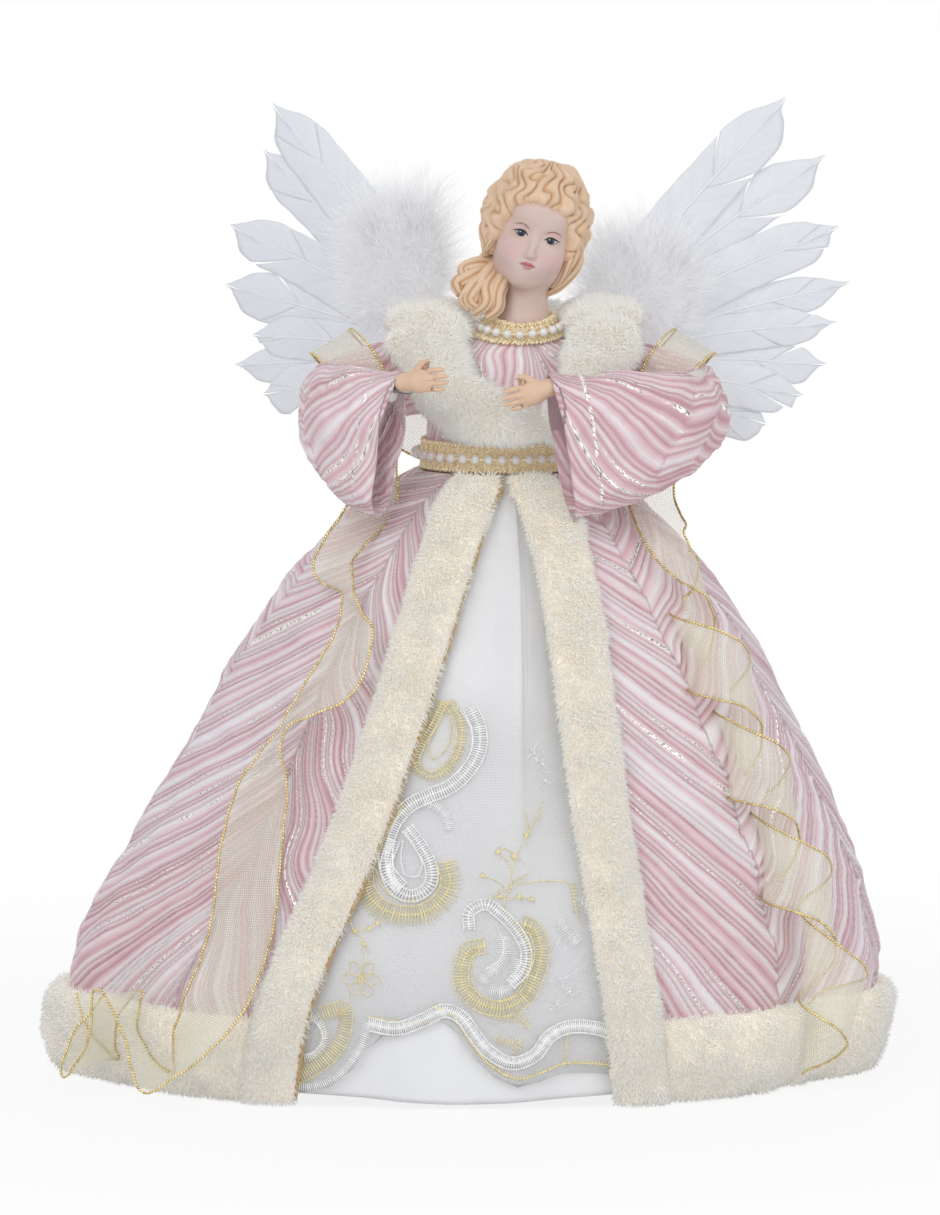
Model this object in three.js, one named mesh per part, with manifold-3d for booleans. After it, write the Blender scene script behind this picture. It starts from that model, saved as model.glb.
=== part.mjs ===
// Angel tree topper: a doll on a hollow cone, in a brocade gown with fur, feathers and ribbon.
// Millimetres, +Z up. The figure faces -Y. The origin is on the floor under the middle of the hem.
// Sides are the figure's own: its right side is towards -X.
import * as THREE from "three";
import Module from "manifold-3d";

// Room left between pieces that touch.
const CLEARANCE = 0.35;
const CLOTH_ROOM = 0.7;

// Whole figure
const LEAN_PER_MM = 0.05;
const TORSO_LEAN_PER_MM = 0.09;
const SKIRT_SWAY = 4;

// Inner cone
const CONE_FOOT_RADIUS = 66;
const CONE_TOP_RADIUS = 18;
const CONE_HEIGHT = 196;
const CONE_WALL = 1.5;
const CONE_RIM_WIDTH = 3;
const CONE_RIM_HEIGHT = 2;

// Torso and neck
const WAIST_ABOVE_CONE = 4;
const WAIST_HEIGHT = CONE_HEIGHT + WAIST_ABOVE_CONE;
const WAIST_HALF_WIDTH = 23.5;
const WAIST_HALF_DEPTH = 17.5;
const CHEST_RISE = 20;
const CHEST_HALF_WIDTH = 25;
const CHEST_HALF_DEPTH = 19;
const SHOULDER_RISE = 38;
const SHOULDER_HALF_WIDTH = 23;
const SHOULDER_HALF_DEPTH = 16;
const NECKLINE_RISE = 47;
const NECKLINE_HALF_WIDTH = 9.6;
const NECKLINE_HALF_DEPTH = 9.6;
const NECK_RISE = 55;
const NECK_RADIUS = 7.4;
const PLUG_DEPTH = 10;

// Head and hair
const HEAD_RISE = 79;
const HEAD_SIDEWAYS = 0.7;
const HEAD_FORWARD = 1.5;
const HEAD_TILT = 12;
const HEAD_HALF_WIDTH = 14.4;
const HEAD_HALF_DEPTH = 15.5;
const HEAD_HALF_HEIGHT = 17.5;
const JAW_HALF_WIDTH = 10.2;
const JAW_DROP = 9;
const HAIR_THICKNESS = 4.6;
const HAIR_WAVE = 0.8;
const FACE_HALF_WIDTH = 12.4;
const FACE_HALF_HEIGHT = 16.5;
const CURL_RADIUS = 6.2;

// Bodice, braids and pearls
const BODICE_ROOM = 0.5;
const BODICE_THICKNESS = 1;
const WAIST_BRAID_HEIGHT = 9.5;
const NECK_BRAID_HEIGHT = 6.5;
const BRAID_THICKNESS = 1.2;
const WAIST_PEARL_RADIUS = 1.9;
const WAIST_PEARL_COUNT = 40;
const NECK_PEARL_RADIUS = 1.6;
const NECK_PEARL_COUNT = 30;
const THREAD_RADIUS = 0.5;

// Skirts
const HEM_HALF_WIDTH = 131;
const HEM_HALF_DEPTH = 103;
const HEM_SHIFT_SIDEWAYS = -1.9;
const HEM_SHIFT_FORWARD = 2.7;
const BROCADE_THICKNESS = 1.2;
const FOLD_COUNT = 9;
const FOLD_DEPTH = 3.4;
const OVERSKIRT_FOOT = 3;
const SATIN_THICKNESS = 0.9;
const SATIN_FOOT = 1.5;
const SATIN_TUCK = 8;
const APRON_THICKNESS = 0.6;
const APRON_FOOT = 17;
const APRON_SCALLOP = 9;
const RIGHT_EDGE_WAIST = -15;
const RIGHT_EDGE_HEM = -30;
const LEFT_EDGE_WAIST = 21;
const LEFT_EDGE_MIDDLE = 13;
const LEFT_EDGE_HEM = 27;

// Fur
const STRIP_HALF_WIDTH = 9.5;
const STRIP_THICKNESS = 8;
const HEM_FUR_HEIGHT = 30;
const HEM_FUR_THICKNESS = 8;
const SHAWL_HALF_WIDTH = 9.5;
const LAPEL_FRONT_HALF_WIDTH = 12.5;
const COLLAR_HALF_HEIGHT = 6;
const SHAWL_HALF_THICKNESS = 4;
const RIGHT_LAPEL_REACH = 7.5;
const LEFT_LAPEL_REACH = 19;
const LEFT_LAPEL_OUT = 1.7;

// Arms, sleeves and hands
const SHOULDER_PIVOT_RISE = 30;
const ARMHOLE_RADIUS = 12;
const SLEEVE_THICKNESS = 0.9;
const ELBOW_REACH = 36;
const ELBOW_HALF_HEIGHT = 17;
const ELBOW_HALF_DEPTH = 9.5;
const MOUTH_HALF_HEIGHT = 25;
const MOUTH_HALF_DEPTH = 8.5;
const MOUTH_RAKE = 0.18;
const MOUTH_FORWARD = 46;
const RIGHT_MOUTH_REACH = 9;
const LEFT_MOUTH_REACH = -13;
const ARM_WIRE_RADIUS = 1;
const ARM_RADIUS = 4;
const ARM_BORE_RADIUS = 2.5;
const WIRE_ROOT = 8;
const WIRE_IN_HAND = 4;
const HAND_LENGTH = 15;
const PALM_HALF_HEIGHT = 4;
const FINGER_RADIUS = 1.35;

// Wings
const WING_SWEEP_LEFT = 14;
const WING_SWEEP_RIGHT = 30;
const CREASE_REACH = 8;
const CARD_THICKNESS = 1;
const CARD_LENGTH = 28;
const CARD_HEIGHT = 22;
const CARD_RISE = 27;
const FEATHERS_LEFT = 8;
const FEATHERS_RIGHT = 7;
const FEATHER_TOP_ANGLE = 48;
const FEATHER_BOTTOM_ANGLE = -22;
const FEATHER_LONGEST_LEFT = 114;
const FEATHER_LONGEST_RIGHT = 110;
const FEATHER_SHORTEST = 68;
const FEATHER_HALF_WIDTH = 8.4;
const VANE_START = 0.16;
const FEATHER_THICKNESS = 0.8;
const FAN_HUB_RISE = 5;
const FAN_HUB_OUT = 8;
const QUILL_START = 17;
const QUILL_HALF_WIDTH = 0.7;
const DOWN_HALF_LENGTH = 17;
const DOWN_HALF_HEIGHT = 23;
const DOWN_THICKNESS = 9;
const DOWN_REACH = 34;

// Ribbon
const RIBBON_HALF_WIDTH = 11;
const RIBBON_THICKNESS = 0.6;
const ARM_RIBBON_HALF_WIDTH = 6.8;
const ARM_RIBBON_OUT = 18.3;
const CURL_TURNS = 4.5;
const RIBBON_CURL_RADIUS = 8;

// Shape of the skirt: share of its height, share of its flare from waist to hem.
const SKIRT_FLARE = [[0, 0.95], [0.15, 1], [0.25, 0.965], [0.5, 0.75], [0.77, 0.47], [0.94, 0.2], [1, 0]];
const SKIRT_ROWS = 8;
const ROW_CROWDING = 1.5;

const wasm = await Module();
wasm.setup();

const radians = THREE.MathUtils.degToRad;
const mix = THREE.MathUtils.lerp;
const smooth = THREE.MathUtils.smoothstep;

// Smooth curve through [position, value] pairs.
function profileAt(points, position) {
  const last = points.length - 1;
  let i = 0;
  while (i < last - 1 && position > points[i + 1][0]) {
    i += 1;
  }
  const slopeAt = (k) => {
    const a = points[Math.max(k - 1, 0)];
    const b = points[Math.min(k + 1, last)];
    return (b[1] - a[1]) / (b[0] - a[0]);
  };
  const [x0, y0] = points[i];
  const [x1, y1] = points[i + 1];
  const step = x1 - x0;
  const t = THREE.MathUtils.clamp((position - x0) / step, 0, 1);
  const rest = 1 - t;
  const ends = y0 * rest * rest * (1 + 2 * t) + y1 * t * t * (3 - 2 * t);
  return ends + step * t * rest * (slopeAt(i) * rest - slopeAt(i + 1) * t);
}

// Sideways lean of the middle line, which is stronger above the waist.
function leanAt(height) {
  return LEAN_PER_MM * height + TORSO_LEAN_PER_MM * Math.max(0, height - WAIST_HEIGHT);
}

// Geometry from points and triangles, turned so that its faces look outwards.
function closedGeometry(points, triangles) {
  let volume = 0;
  for (let i = 0; i < triangles.length; i += 3) {
    const [a, b, c] = triangles.slice(i, i + 3).map((k) => points[k]);
    volume += a.dot(new THREE.Vector3().crossVectors(b, c));
  }
  const ordered = volume < 0 ? triangles.slice().reverse() : triangles;
  const geometry = new THREE.BufferGeometry().setFromPoints(points);
  geometry.setIndex(ordered);
  return geometry;
}

// A sheet with thickness: pointAt(across, along, side) is its inner face at side 0, its outer at side 1.
function sheetSolid(pointAt, across, along, closed = false) {
  const columns = closed ? across : across + 1;
  const rows = along + 1;
  const points = [];
  for (const side of [0, 1]) {
    for (let row = 0; row < rows; row += 1) {
      for (let column = 0; column < columns; column += 1) {
        points.push(pointAt(column / across, row / along, side));
      }
    }
  }
  const inner = (row, column) => row * columns + (column % columns);
  const outer = (row, column) => rows * columns + inner(row, column);
  const triangles = [];
  const quad = (a, b, c, d) => triangles.push(a, b, c, a, c, d);
  for (let column = 0; column < across; column += 1) {
    const next = column + 1;
    for (let row = 0; row < along; row += 1) {
      quad(outer(row, column), outer(row, next), outer(row + 1, next), outer(row + 1, column));
      quad(inner(row, column), inner(row + 1, column), inner(row + 1, next), inner(row, next));
    }
    quad(inner(0, column), inner(0, next), outer(0, next), outer(0, column));
    quad(outer(along, column), outer(along, next), inner(along, next), inner(along, column));
  }
  for (let row = 0; row < along && !closed; row += 1) {
    const next = row + 1;
    quad(inner(row, 0), outer(row, 0), outer(next, 0), inner(next, 0));
    quad(outer(row, across), inner(row, across), inner(next, across), outer(next, across));
  }
  return closedGeometry(points, triangles);
}

// A solid lofted through rings: pointAt(turn, length), with a flat cap at each end.
function loftSolid(pointAt, around, along) {
  const points = [];
  for (let row = 0; row <= along; row += 1) {
    for (let column = 0; column < around; column += 1) {
      points.push(pointAt(column / around, row / along));
    }
  }
  const at = (row, column) => row * around + (column % around);
  const triangles = [];
  for (let column = 0; column < around; column += 1) {
    for (let row = 0; row < along; row += 1) {
      triangles.push(at(row, column), at(row, column + 1), at(row + 1, column + 1));
      triangles.push(at(row, column), at(row + 1, column + 1), at(row + 1, column));
    }
  }
  for (const row of [0, along]) {
    const middle = new THREE.Vector3();
    for (let column = 0; column < around; column += 1) {
      middle.addScaledVector(points[at(row, column)], 1 / around);
    }
    points.push(middle);
    for (let column = 0; column < around; column += 1) {
      const [a, b] = row === 0 ? [column + 1, column] : [column, column + 1];
      triangles.push(points.length - 1, at(row, a), at(row, b));
    }
  }
  return closedGeometry(points, triangles);
}

function toManifold(geometry) {
  const flat = geometry.index ? geometry.toNonIndexed() : geometry;
  const position = flat.getAttribute("position");
  const mesh = new wasm.Mesh({
    numProp: 3,
    vertProperties: Float32Array.from(position.array),
    triVerts: Uint32Array.from({ length: position.count }, (_, i) => i),
  });
  mesh.merge();
  return new wasm.Manifold(mesh);
}

function fromManifold(solid) {
  const mesh = solid.getMesh();
  const geometry = new THREE.BufferGeometry();
  geometry.setAttribute("position", new THREE.BufferAttribute(mesh.vertProperties, 3));
  geometry.setIndex(new THREE.BufferAttribute(mesh.triVerts, 1));
  return geometry;
}

function joined(geometries) {
  return wasm.Manifold.union(geometries.map(toManifold));
}

const finish = (color, roughness, metalness = 0) =>
  new THREE.MeshStandardMaterial({ color, roughness, metalness });
const whitePlastic = finish(0xe4e2e8, 0.5);
const foam = finish(0xf1eee6, 0.9);
const bisque = finish(0xf0cdb8, 0.55);
const handBisque = finish(0xd9a887, 0.55);
const blond = finish(0xd3a374, 0.7);
const brocade = finish(0xe7b3bb, 0.8);
const satin = finish(0xf4f1ee, 0.4);
const lace = finish(0xf3ecdc, 0.8);
const fur = finish(0xf5efe2, 0.95);
const goldBraid = finish(0xc09a4e, 0.5, 0.6);
const pearl = finish(0xf3ead9, 0.25);
const feather = finish(0xf7f6f3, 0.85);
const card = finish(0xf0efec, 0.9);
const wire = finish(0x9a9a9c, 0.35, 1);
const goldRibbon = finish(0xd8b877, 0.6, 0.2);

const angel = new THREE.Group();
angel.name = "angel_tree_topper";

function add(name, geometry, material, parent = angel) {
  const clean = geometry.index ? geometry.toNonIndexed() : geometry;
  clean.computeVertexNormals();
  const mesh = new THREE.Mesh(clean, material);
  mesh.name = name;
  parent.add(mesh);
  return mesh;
}

// Body surface: half width and half depth by height, from the waist up to the neck.
const BODY_WIDTHS = [
  [WAIST_HEIGHT - CLEARANCE, WAIST_HALF_WIDTH],
  [WAIST_HEIGHT + CHEST_RISE, CHEST_HALF_WIDTH],
  [WAIST_HEIGHT + SHOULDER_RISE, SHOULDER_HALF_WIDTH],
  [WAIST_HEIGHT + NECKLINE_RISE, NECKLINE_HALF_WIDTH],
  [WAIST_HEIGHT + NECK_RISE, NECK_RADIUS],
];
const BODY_DEPTHS = [
  [WAIST_HEIGHT - CLEARANCE, WAIST_HALF_DEPTH],
  [WAIST_HEIGHT + CHEST_RISE, CHEST_HALF_DEPTH],
  [WAIST_HEIGHT + SHOULDER_RISE, SHOULDER_HALF_DEPTH],
  [WAIST_HEIGHT + NECKLINE_RISE, NECKLINE_HALF_DEPTH],
  [WAIST_HEIGHT + NECK_RISE, NECK_RADIUS],
];
const BODY_SIDES = 24;

// Heights of the rings that all body layers share, from the waist up into the head.
const BODY_ROWS = [
  WAIST_HEIGHT + CLEARANCE,
  WAIST_HEIGHT + CHEST_RISE / 2,
  WAIST_HEIGHT + CHEST_RISE,
  WAIST_HEIGHT + (CHEST_RISE + SHOULDER_RISE) / 2,
  WAIST_HEIGHT + SHOULDER_RISE,
  WAIST_HEIGHT + (SHOULDER_RISE + NECKLINE_RISE) / 2,
  WAIST_HEIGHT + NECKLINE_RISE - 1,
  WAIST_HEIGHT + (NECKLINE_RISE + NECK_RISE) / 2,
  WAIST_HEIGHT + NECK_RISE,
  WAIST_HEIGHT + HEAD_RISE - JAW_DROP,
];
const SHOULDER_ROW = 4;
const NECKLINE_ROW = 6;

function bodyPoint(angle, height, offset) {
  const halfWidth = profileAt(BODY_WIDTHS, height) + offset;
  const halfDepth = profileAt(BODY_DEPTHS, height) + offset;
  const x = leanAt(height) + halfWidth * Math.sin(angle);
  return new THREE.Vector3(x, -halfDepth * Math.cos(angle), height);
}

const turnAngle = (share) => share * 2 * Math.PI;

// Skirt surface
const SKIRT_TOP = WAIST_HEIGHT - CLEARANCE;
const BODICE_FACE = BODICE_ROOM + BODICE_THICKNESS;
const SKIRT_WAIST_HALF_WIDTH = WAIST_HALF_WIDTH + BODICE_FACE + CLEARANCE;
const SKIRT_WAIST_HALF_DEPTH = WAIST_HALF_DEPTH + BODICE_FACE + CLEARANCE;

function foldDepth(angle, share) {
  const away = smooth(Math.abs(angle), radians(35), radians(60));
  const wave = Math.cos(FOLD_COUNT * angle) + 0.45 * Math.sin((FOLD_COUNT - 4) * angle + 1);
  return FOLD_DEPTH * away * (1 - share) * wave;
}

// Angle 0 is the middle of the front, and positive angles go to the figure's left.
function skirtPoint(angle, height, offset) {
  const share = THREE.MathUtils.clamp(height / SKIRT_TOP, 0, 1);
  const turn = Math.atan2(Math.sin(angle), Math.cos(angle));
  const flare = profileAt(SKIRT_FLARE, share);
  const grown = foldDepth(turn, share) + offset;
  const halfWidth = mix(SKIRT_WAIST_HALF_WIDTH, HEM_HALF_WIDTH, flare) + grown;
  const halfDepth = mix(SKIRT_WAIST_HALF_DEPTH, HEM_HALF_DEPTH, flare) + grown;
  const sway = SKIRT_SWAY * Math.sin(Math.PI * share) * smooth(share, 0, 0.4);
  const middle = leanAt(height) + sway + HEM_SHIFT_SIDEWAYS * (1 - share);
  const forward = HEM_SHIFT_FORWARD * (1 - share) + halfDepth * Math.cos(turn);
  return new THREE.Vector3(middle + halfWidth * Math.sin(turn), -forward, height);
}

function rowHeight(along, foot) {
  return mix(SKIRT_TOP, foot, along ** ROW_CROWDING);
}

// Edges of the front opening, as angles by height.
function rightEdge(height) {
  return radians(mix(RIGHT_EDGE_HEM, RIGHT_EDGE_WAIST, height / SKIRT_TOP));
}

function leftEdge(height) {
  const share = height / SKIRT_TOP;
  const rest = 1 - share;
  const ends = LEFT_EDGE_HEM * rest * rest + LEFT_EDGE_WAIST * share * share;
  return radians(ends + 2 * LEFT_EDGE_MIDDLE * share * rest);
}

function makeCone() {
  const outside = CONE_FOOT_RADIUS + CONE_RIM_WIDTH;
  const profile = [
    [CONE_FOOT_RADIUS - CONE_WALL, 0],
    [outside, 0],
    [outside, CONE_RIM_HEIGHT],
    [mix(CONE_FOOT_RADIUS, CONE_TOP_RADIUS, CONE_RIM_HEIGHT / CONE_HEIGHT), CONE_RIM_HEIGHT],
    [CONE_TOP_RADIUS, CONE_HEIGHT],
    [CONE_TOP_RADIUS - CONE_WALL, CONE_HEIGHT],
  ];
  const sides = 36;
  const points = [];
  const triangles = [];
  for (const [radius, height] of profile) {
    for (let i = 0; i < sides; i += 1) {
      const angle = turnAngle(i / sides);
      const x = leanAt(height) + radius * Math.sin(angle);
      points.push(new THREE.Vector3(x, -radius * Math.cos(angle), height));
    }
  }
  profile.forEach((_, k) => {
    const next = (k + 1) % profile.length;
    for (let i = 0; i < sides; i += 1) {
      const j = (i + 1) % sides;
      triangles.push(k * sides + i, k * sides + j, next * sides + j);
      triangles.push(k * sides + i, next * sides + j, next * sides + i);
    }
  });
  add("inner_cone", closedGeometry(points, triangles), whitePlastic);
}

const PIVOT_HEIGHT = WAIST_HEIGHT + SHOULDER_PIVOT_RISE;
const TORSO_FOOT = CONE_HEIGHT + CLEARANCE;

function makeTorso() {
  const plugRadius = CONE_TOP_RADIUS - CONE_WALL - CLEARANCE - PLUG_DEPTH * CONE_TOP_RADIUS / CONE_HEIGHT / 4;
  const body = loftSolid(
    (turn, length) => {
      const row = Math.round(length * (SHOULDER_ROW + 1)) - 1;
      return bodyPoint(turnAngle(turn), row < 0 ? TORSO_FOOT : BODY_ROWS[row], 0);
    },
    BODY_SIDES,
    SHOULDER_ROW + 1,
  );
  const plug = new THREE.CylinderGeometry(plugRadius, plugRadius, PLUG_DEPTH + 2, BODY_SIDES);
  plug.rotateX(Math.PI / 2);
  plug.translate(leanAt(CONE_HEIGHT), 0, TORSO_FOOT - PLUG_DEPTH / 2 + 1);
  const holeRadius = ARM_WIRE_RADIUS + CLOTH_ROOM;
  const holeLength = 2 * (CHEST_HALF_WIDTH + BODICE_FACE + BODICE_THICKNESS);
  const hole = new THREE.CylinderGeometry(holeRadius, holeRadius, holeLength, 12);
  hole.rotateZ(Math.PI / 2);
  hole.translate(leanAt(PIVOT_HEIGHT), 0, PIVOT_HEIGHT);
  add("torso_core", fromManifold(joined([body, plug]).subtract(toManifold(hole))), foam);

  const cloth = sheetSolid(
    (turn, length, side) => {
      const height = BODY_ROWS[Math.round(length * NECKLINE_ROW)];
      return bodyPoint(turnAngle(turn), height, mix(BODICE_ROOM, BODICE_FACE, side));
    },
    BODY_SIDES,
    NECKLINE_ROW,
    true,
  );
  add("bodice", fromManifold(toManifold(cloth).subtract(toManifold(hole))), brocade);
}

// The head's own frame: its middle, tilted to the figure's left.
const headFrame = new THREE.Group();
headFrame.name = "head_frame";
const HEAD_HEIGHT = WAIST_HEIGHT + HEAD_RISE;
headFrame.position.set(leanAt(HEAD_HEIGHT) + HEAD_SIDEWAYS, -HEAD_FORWARD, HEAD_HEIGHT);
headFrame.rotation.set(0, radians(HEAD_TILT), 0);
headFrame.updateMatrix();
angel.add(headFrame);

function ellipsoid(halfWidth, halfDepth, halfHeight, x, y, z, around = 20, down = 12) {
  const ball = new THREE.SphereGeometry(1, around, down);
  ball.rotateX(Math.PI / 2);
  ball.scale(halfWidth, halfDepth, halfHeight);
  ball.translate(x, y, z);
  return ball;
}

function headShapes(grow) {
  const halves = [HEAD_HALF_WIDTH, HEAD_HALF_DEPTH, HEAD_HALF_HEIGHT].map((half) => half + grow);
  const skull = ellipsoid(...halves, 0, 0, 2, 18, 10);
  const jaw = ellipsoid(JAW_HALF_WIDTH + grow, 11 + grow, 11.5 + grow, 0, -3.6, -JAW_DROP + 2, 14, 8);
  return [skull, jaw];
}

function makeBust() {
  const rings = BODY_ROWS.length - 1 - SHOULDER_ROW;
  const shoulders = loftSolid(
    (turn, length) => {
      const row = Math.round(length * rings);
      const lift = row === 0 ? CLEARANCE : 0;
      return bodyPoint(turnAngle(turn), BODY_ROWS[SHOULDER_ROW + row] + lift, 0);
    },
    BODY_SIDES,
    rings,
  );
  const nose = ellipsoid(1.7, 2.6, 2.6, 0, -15.4, -3.2, 8, 6);
  const head = [...headShapes(0), nose].map((shape) => shape.applyMatrix4(headFrame.matrix));
  add("bust", fromManifold(joined([shoulders, ...head])), bisque);
}

function makeHair() {
  const outer = new THREE.SphereGeometry(1, 22, 12);
  outer.rotateX(Math.PI / 2);
  const position = outer.getAttribute("position");
  const point = new THREE.Vector3();
  for (let i = 0; i < position.count; i += 1) {
    point.fromBufferAttribute(position, i);
    const around = Math.atan2(point.x, -point.y);
    const rim = Math.hypot(point.x, point.y);
    const wave = HAIR_WAVE * rim * Math.cos(9 * around + 3 * point.z);
    const grow = HAIR_THICKNESS + wave;
    point.x *= HEAD_HALF_WIDTH + grow;
    point.y *= HEAD_HALF_DEPTH + grow;
    point.z *= HEAD_HALF_HEIGHT + grow;
    position.setXYZ(i, point.x, point.y + 1, point.z + 3);
  }
  const room = headShapes(CLEARANCE);
  const face = ellipsoid(FACE_HALF_WIDTH, 40, FACE_HALF_HEIGHT, 0.5, -40, -6, 18, 10);
  const jawRoom = new THREE.BoxGeometry(60, 50, 30);
  jawRoom.translate(0, -29, -HEAD_HALF_HEIGHT - 9);
  const neckRadius = NECK_RADIUS + 3;
  const napeTop = HEAD_HEIGHT - CURL_RADIUS / 2;
  const nape = new THREE.CylinderGeometry(neckRadius, neckRadius, 2 * NECK_RISE, 16);
  nape.rotateX(Math.PI / 2);
  nape.translate(leanAt(napeTop - JAW_DROP), 0, napeTop - NECK_RISE);
  nape.applyMatrix4(headFrame.matrix.clone().invert());
  const cap = toManifold(outer).subtract(joined([...room, face, jawRoom, nape]));
  const bunch = [
    ellipsoid(CURL_RADIUS, CURL_RADIUS, CURL_RADIUS, -15.5, -3, -10, 9, 6),
    ellipsoid(CURL_RADIUS * 0.9, CURL_RADIUS * 0.9, CURL_RADIUS * 0.9, -18, -6, -16.5, 9, 6),
    ellipsoid(CURL_RADIUS * 0.7, CURL_RADIUS * 0.7, CURL_RADIUS * 0.7, -13.5, -9, -15.5, 9, 6),
  ];
  const hair = wasm.Manifold.union([cap, ...bunch.map(toManifold)]).subtract(joined(headShapes(CLEARANCE)));
  const pieces = hair.decompose();
  pieces.sort((a, b) => b.volume() - a.volume());
  add("hair", fromManifold(pieces[0]), blond, headFrame);
}

// A flat band round the body between two heights, at an offset from the body surface.
function bodyBand(foot, top, offset, thickness, sides, rows = 1) {
  const pointAt = (turn, length, side) =>
    bodyPoint(turnAngle(turn), mix(foot, top, length), offset + side * thickness);
  return sheetSolid(pointAt, sides, rows, true);
}

// Beads on a thread round the body, all in one string: a ring that swells at each bead.
function pearlString(height, offset, radius, count) {
  const ring = Array.from({ length: 96 }, (_, i) => bodyPoint(turnAngle(i / 96), height, offset));
  const path = new THREE.CatmullRomCurve3(ring, true);
  const swell = [THREAD_RADIUS, radius, radius];
  const stations = count * swell.length;
  const sides = 5;
  const points = [];
  const triangles = [];
  for (let i = 0; i < stations; i += 1) {
    const step = i % swell.length;
    const bead = Math.floor(i / swell.length);
    const share = (bead + [0, 0.28, 0.72][step]) / count;
    const centre = path.getPointAt(share);
    const ahead = path.getTangentAt(share);
    const out = new THREE.Vector3(ahead.y, -ahead.x, 0).normalize();
    for (let k = 0; k < sides; k += 1) {
      const angle = turnAngle(k / sides);
      const point = centre.clone().addScaledVector(out, swell[step] * Math.cos(angle));
      point.z += swell[step] * Math.sin(angle);
      points.push(point);
      const a = i * sides + k;
      const b = i * sides + ((k + 1) % sides);
      const c = ((i + 1) % stations) * sides + ((k + 1) % sides);
      const d = ((i + 1) % stations) * sides + k;
      triangles.push(a, b, c, a, c, d);
    }
  }
  return closedGeometry(points, triangles);
}

function makeBraids() {
  const face = BODICE_FACE + CLEARANCE;
  const waistFoot = WAIST_HEIGHT + CLEARANCE;
  const waistTop = waistFoot + WAIST_BRAID_HEIGHT;
  add("waist_braid", bodyBand(waistFoot, waistTop, face, BRAID_THICKNESS, BODY_SIDES), goldBraid);
  const waistPearls = face + BRAID_THICKNESS + CLEARANCE + WAIST_PEARL_RADIUS;
  const waistMiddle = waistFoot + WAIST_BRAID_HEIGHT / 2;
  add("waist_pearls", pearlString(waistMiddle, waistPearls, WAIST_PEARL_RADIUS, WAIST_PEARL_COUNT), pearl);
  const neckMiddle = WAIST_HEIGHT + NECKLINE_RISE;
  const neckFoot = neckMiddle - NECK_BRAID_HEIGHT / 2;
  const neckTop = neckMiddle + NECK_BRAID_HEIGHT / 2;
  add("neck_braid", bodyBand(neckFoot, neckTop, face + CLEARANCE, BRAID_THICKNESS, BODY_SIDES, 2), goldBraid);
  const slope = Math.SQRT2;
  const neckPearls = face + CLEARANCE + BRAID_THICKNESS + slope * (2 * CLEARANCE + NECK_PEARL_RADIUS);
  add("neck_pearls", pearlString(neckMiddle, neckPearls, NECK_PEARL_RADIUS, NECK_PEARL_COUNT), pearl);
}

function makeSkirts() {
  const overskirt = sheetSolid(
    (across, along, side) => {
      const height = rowHeight(along, OVERSKIRT_FOOT);
      const angle = mix(leftEdge(height), 2 * Math.PI + rightEdge(height), across);
      return skirtPoint(angle, height, side * BROCADE_THICKNESS);
    },
    44,
    SKIRT_ROWS,
  );
  add("overskirt", overskirt, brocade);

  const tuck = radians(SATIN_TUCK);
  const underskirt = sheetSolid(
    (across, along, side) => {
      const height = rowHeight(along, SATIN_FOOT);
      const angle = mix(rightEdge(height) - tuck, leftEdge(height) + tuck, across);
      return skirtPoint(angle, height, -CLOTH_ROOM - (1 - side) * SATIN_THICKNESS);
    },
    12,
    SKIRT_ROWS,
  );
  add("satin_underskirt", underskirt, satin);

  const apron = sheetSolid(
    (across, along, side) => {
      const hem = APRON_FOOT - APRON_SCALLOP * Math.cos(3 * Math.PI * across);
      const height = along < 1 ? rowHeight(along, OVERSKIRT_FOOT) : hem;
      const edgeRoom = 2 * CLEARANCE / (SKIRT_WAIST_HALF_WIDTH + (HEM_HALF_WIDTH / 2) * along);
      const angle = mix(rightEdge(height) + edgeRoom, leftEdge(height) - edgeRoom, across);
      return skirtPoint(angle, height, side * APRON_THICKNESS);
    },
    16,
    SKIRT_ROWS,
  );
  add("lace_apron", apron, lace);
}

// A rounded pad: full thickness in the middle, a soft edge at each side.
function padSwell(across, edge) {
  return edge + (1 - edge) * Math.sqrt(Math.max(0, 1 - (2 * across - 1) ** 2));
}

function makeSkirtFur() {
  const face = BROCADE_THICKNESS + CLOTH_ROOM;
  const strip = (edgeAt) => sheetSolid(
    (across, along, side) => {
      const height = rowHeight(along, CLEARANCE);
      const flare = profileAt(SKIRT_FLARE, height / SKIRT_TOP);
      const reach = STRIP_HALF_WIDTH / mix(SKIRT_WAIST_HALF_WIDTH, HEM_HALF_WIDTH, flare);
      const angle = edgeAt(height) + (2 * across - 1) * Math.min(reach, radians(15));
      const swell = padSwell(across, 0.25) * Math.min(1, 0.45 + 3 * along);
      return skirtPoint(angle, height, face + side * STRIP_THICKNESS * swell);
    },
    5,
    SKIRT_ROWS,
  );
  add("fur_strip_right", strip(rightEdge), fur);
  add("fur_strip_left", strip(leftEdge), fur);

  const room = (STRIP_HALF_WIDTH + 2 * CLOTH_ROOM) / HEM_HALF_WIDTH;
  const hem = sheetSolid(
    (across, along, side) => {
      const height = HEM_FUR_HEIGHT * along;
      const from = leftEdge(height) + room;
      const to = 2 * Math.PI + rightEdge(height) - room;
      const swell = padSwell(along, 0.35);
      return skirtPoint(mix(from, to, across), height, face + side * HEM_FUR_THICKNESS * swell);
    },
    44,
    3,
  );
  add("fur_hem", hem, fur);
}

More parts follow.
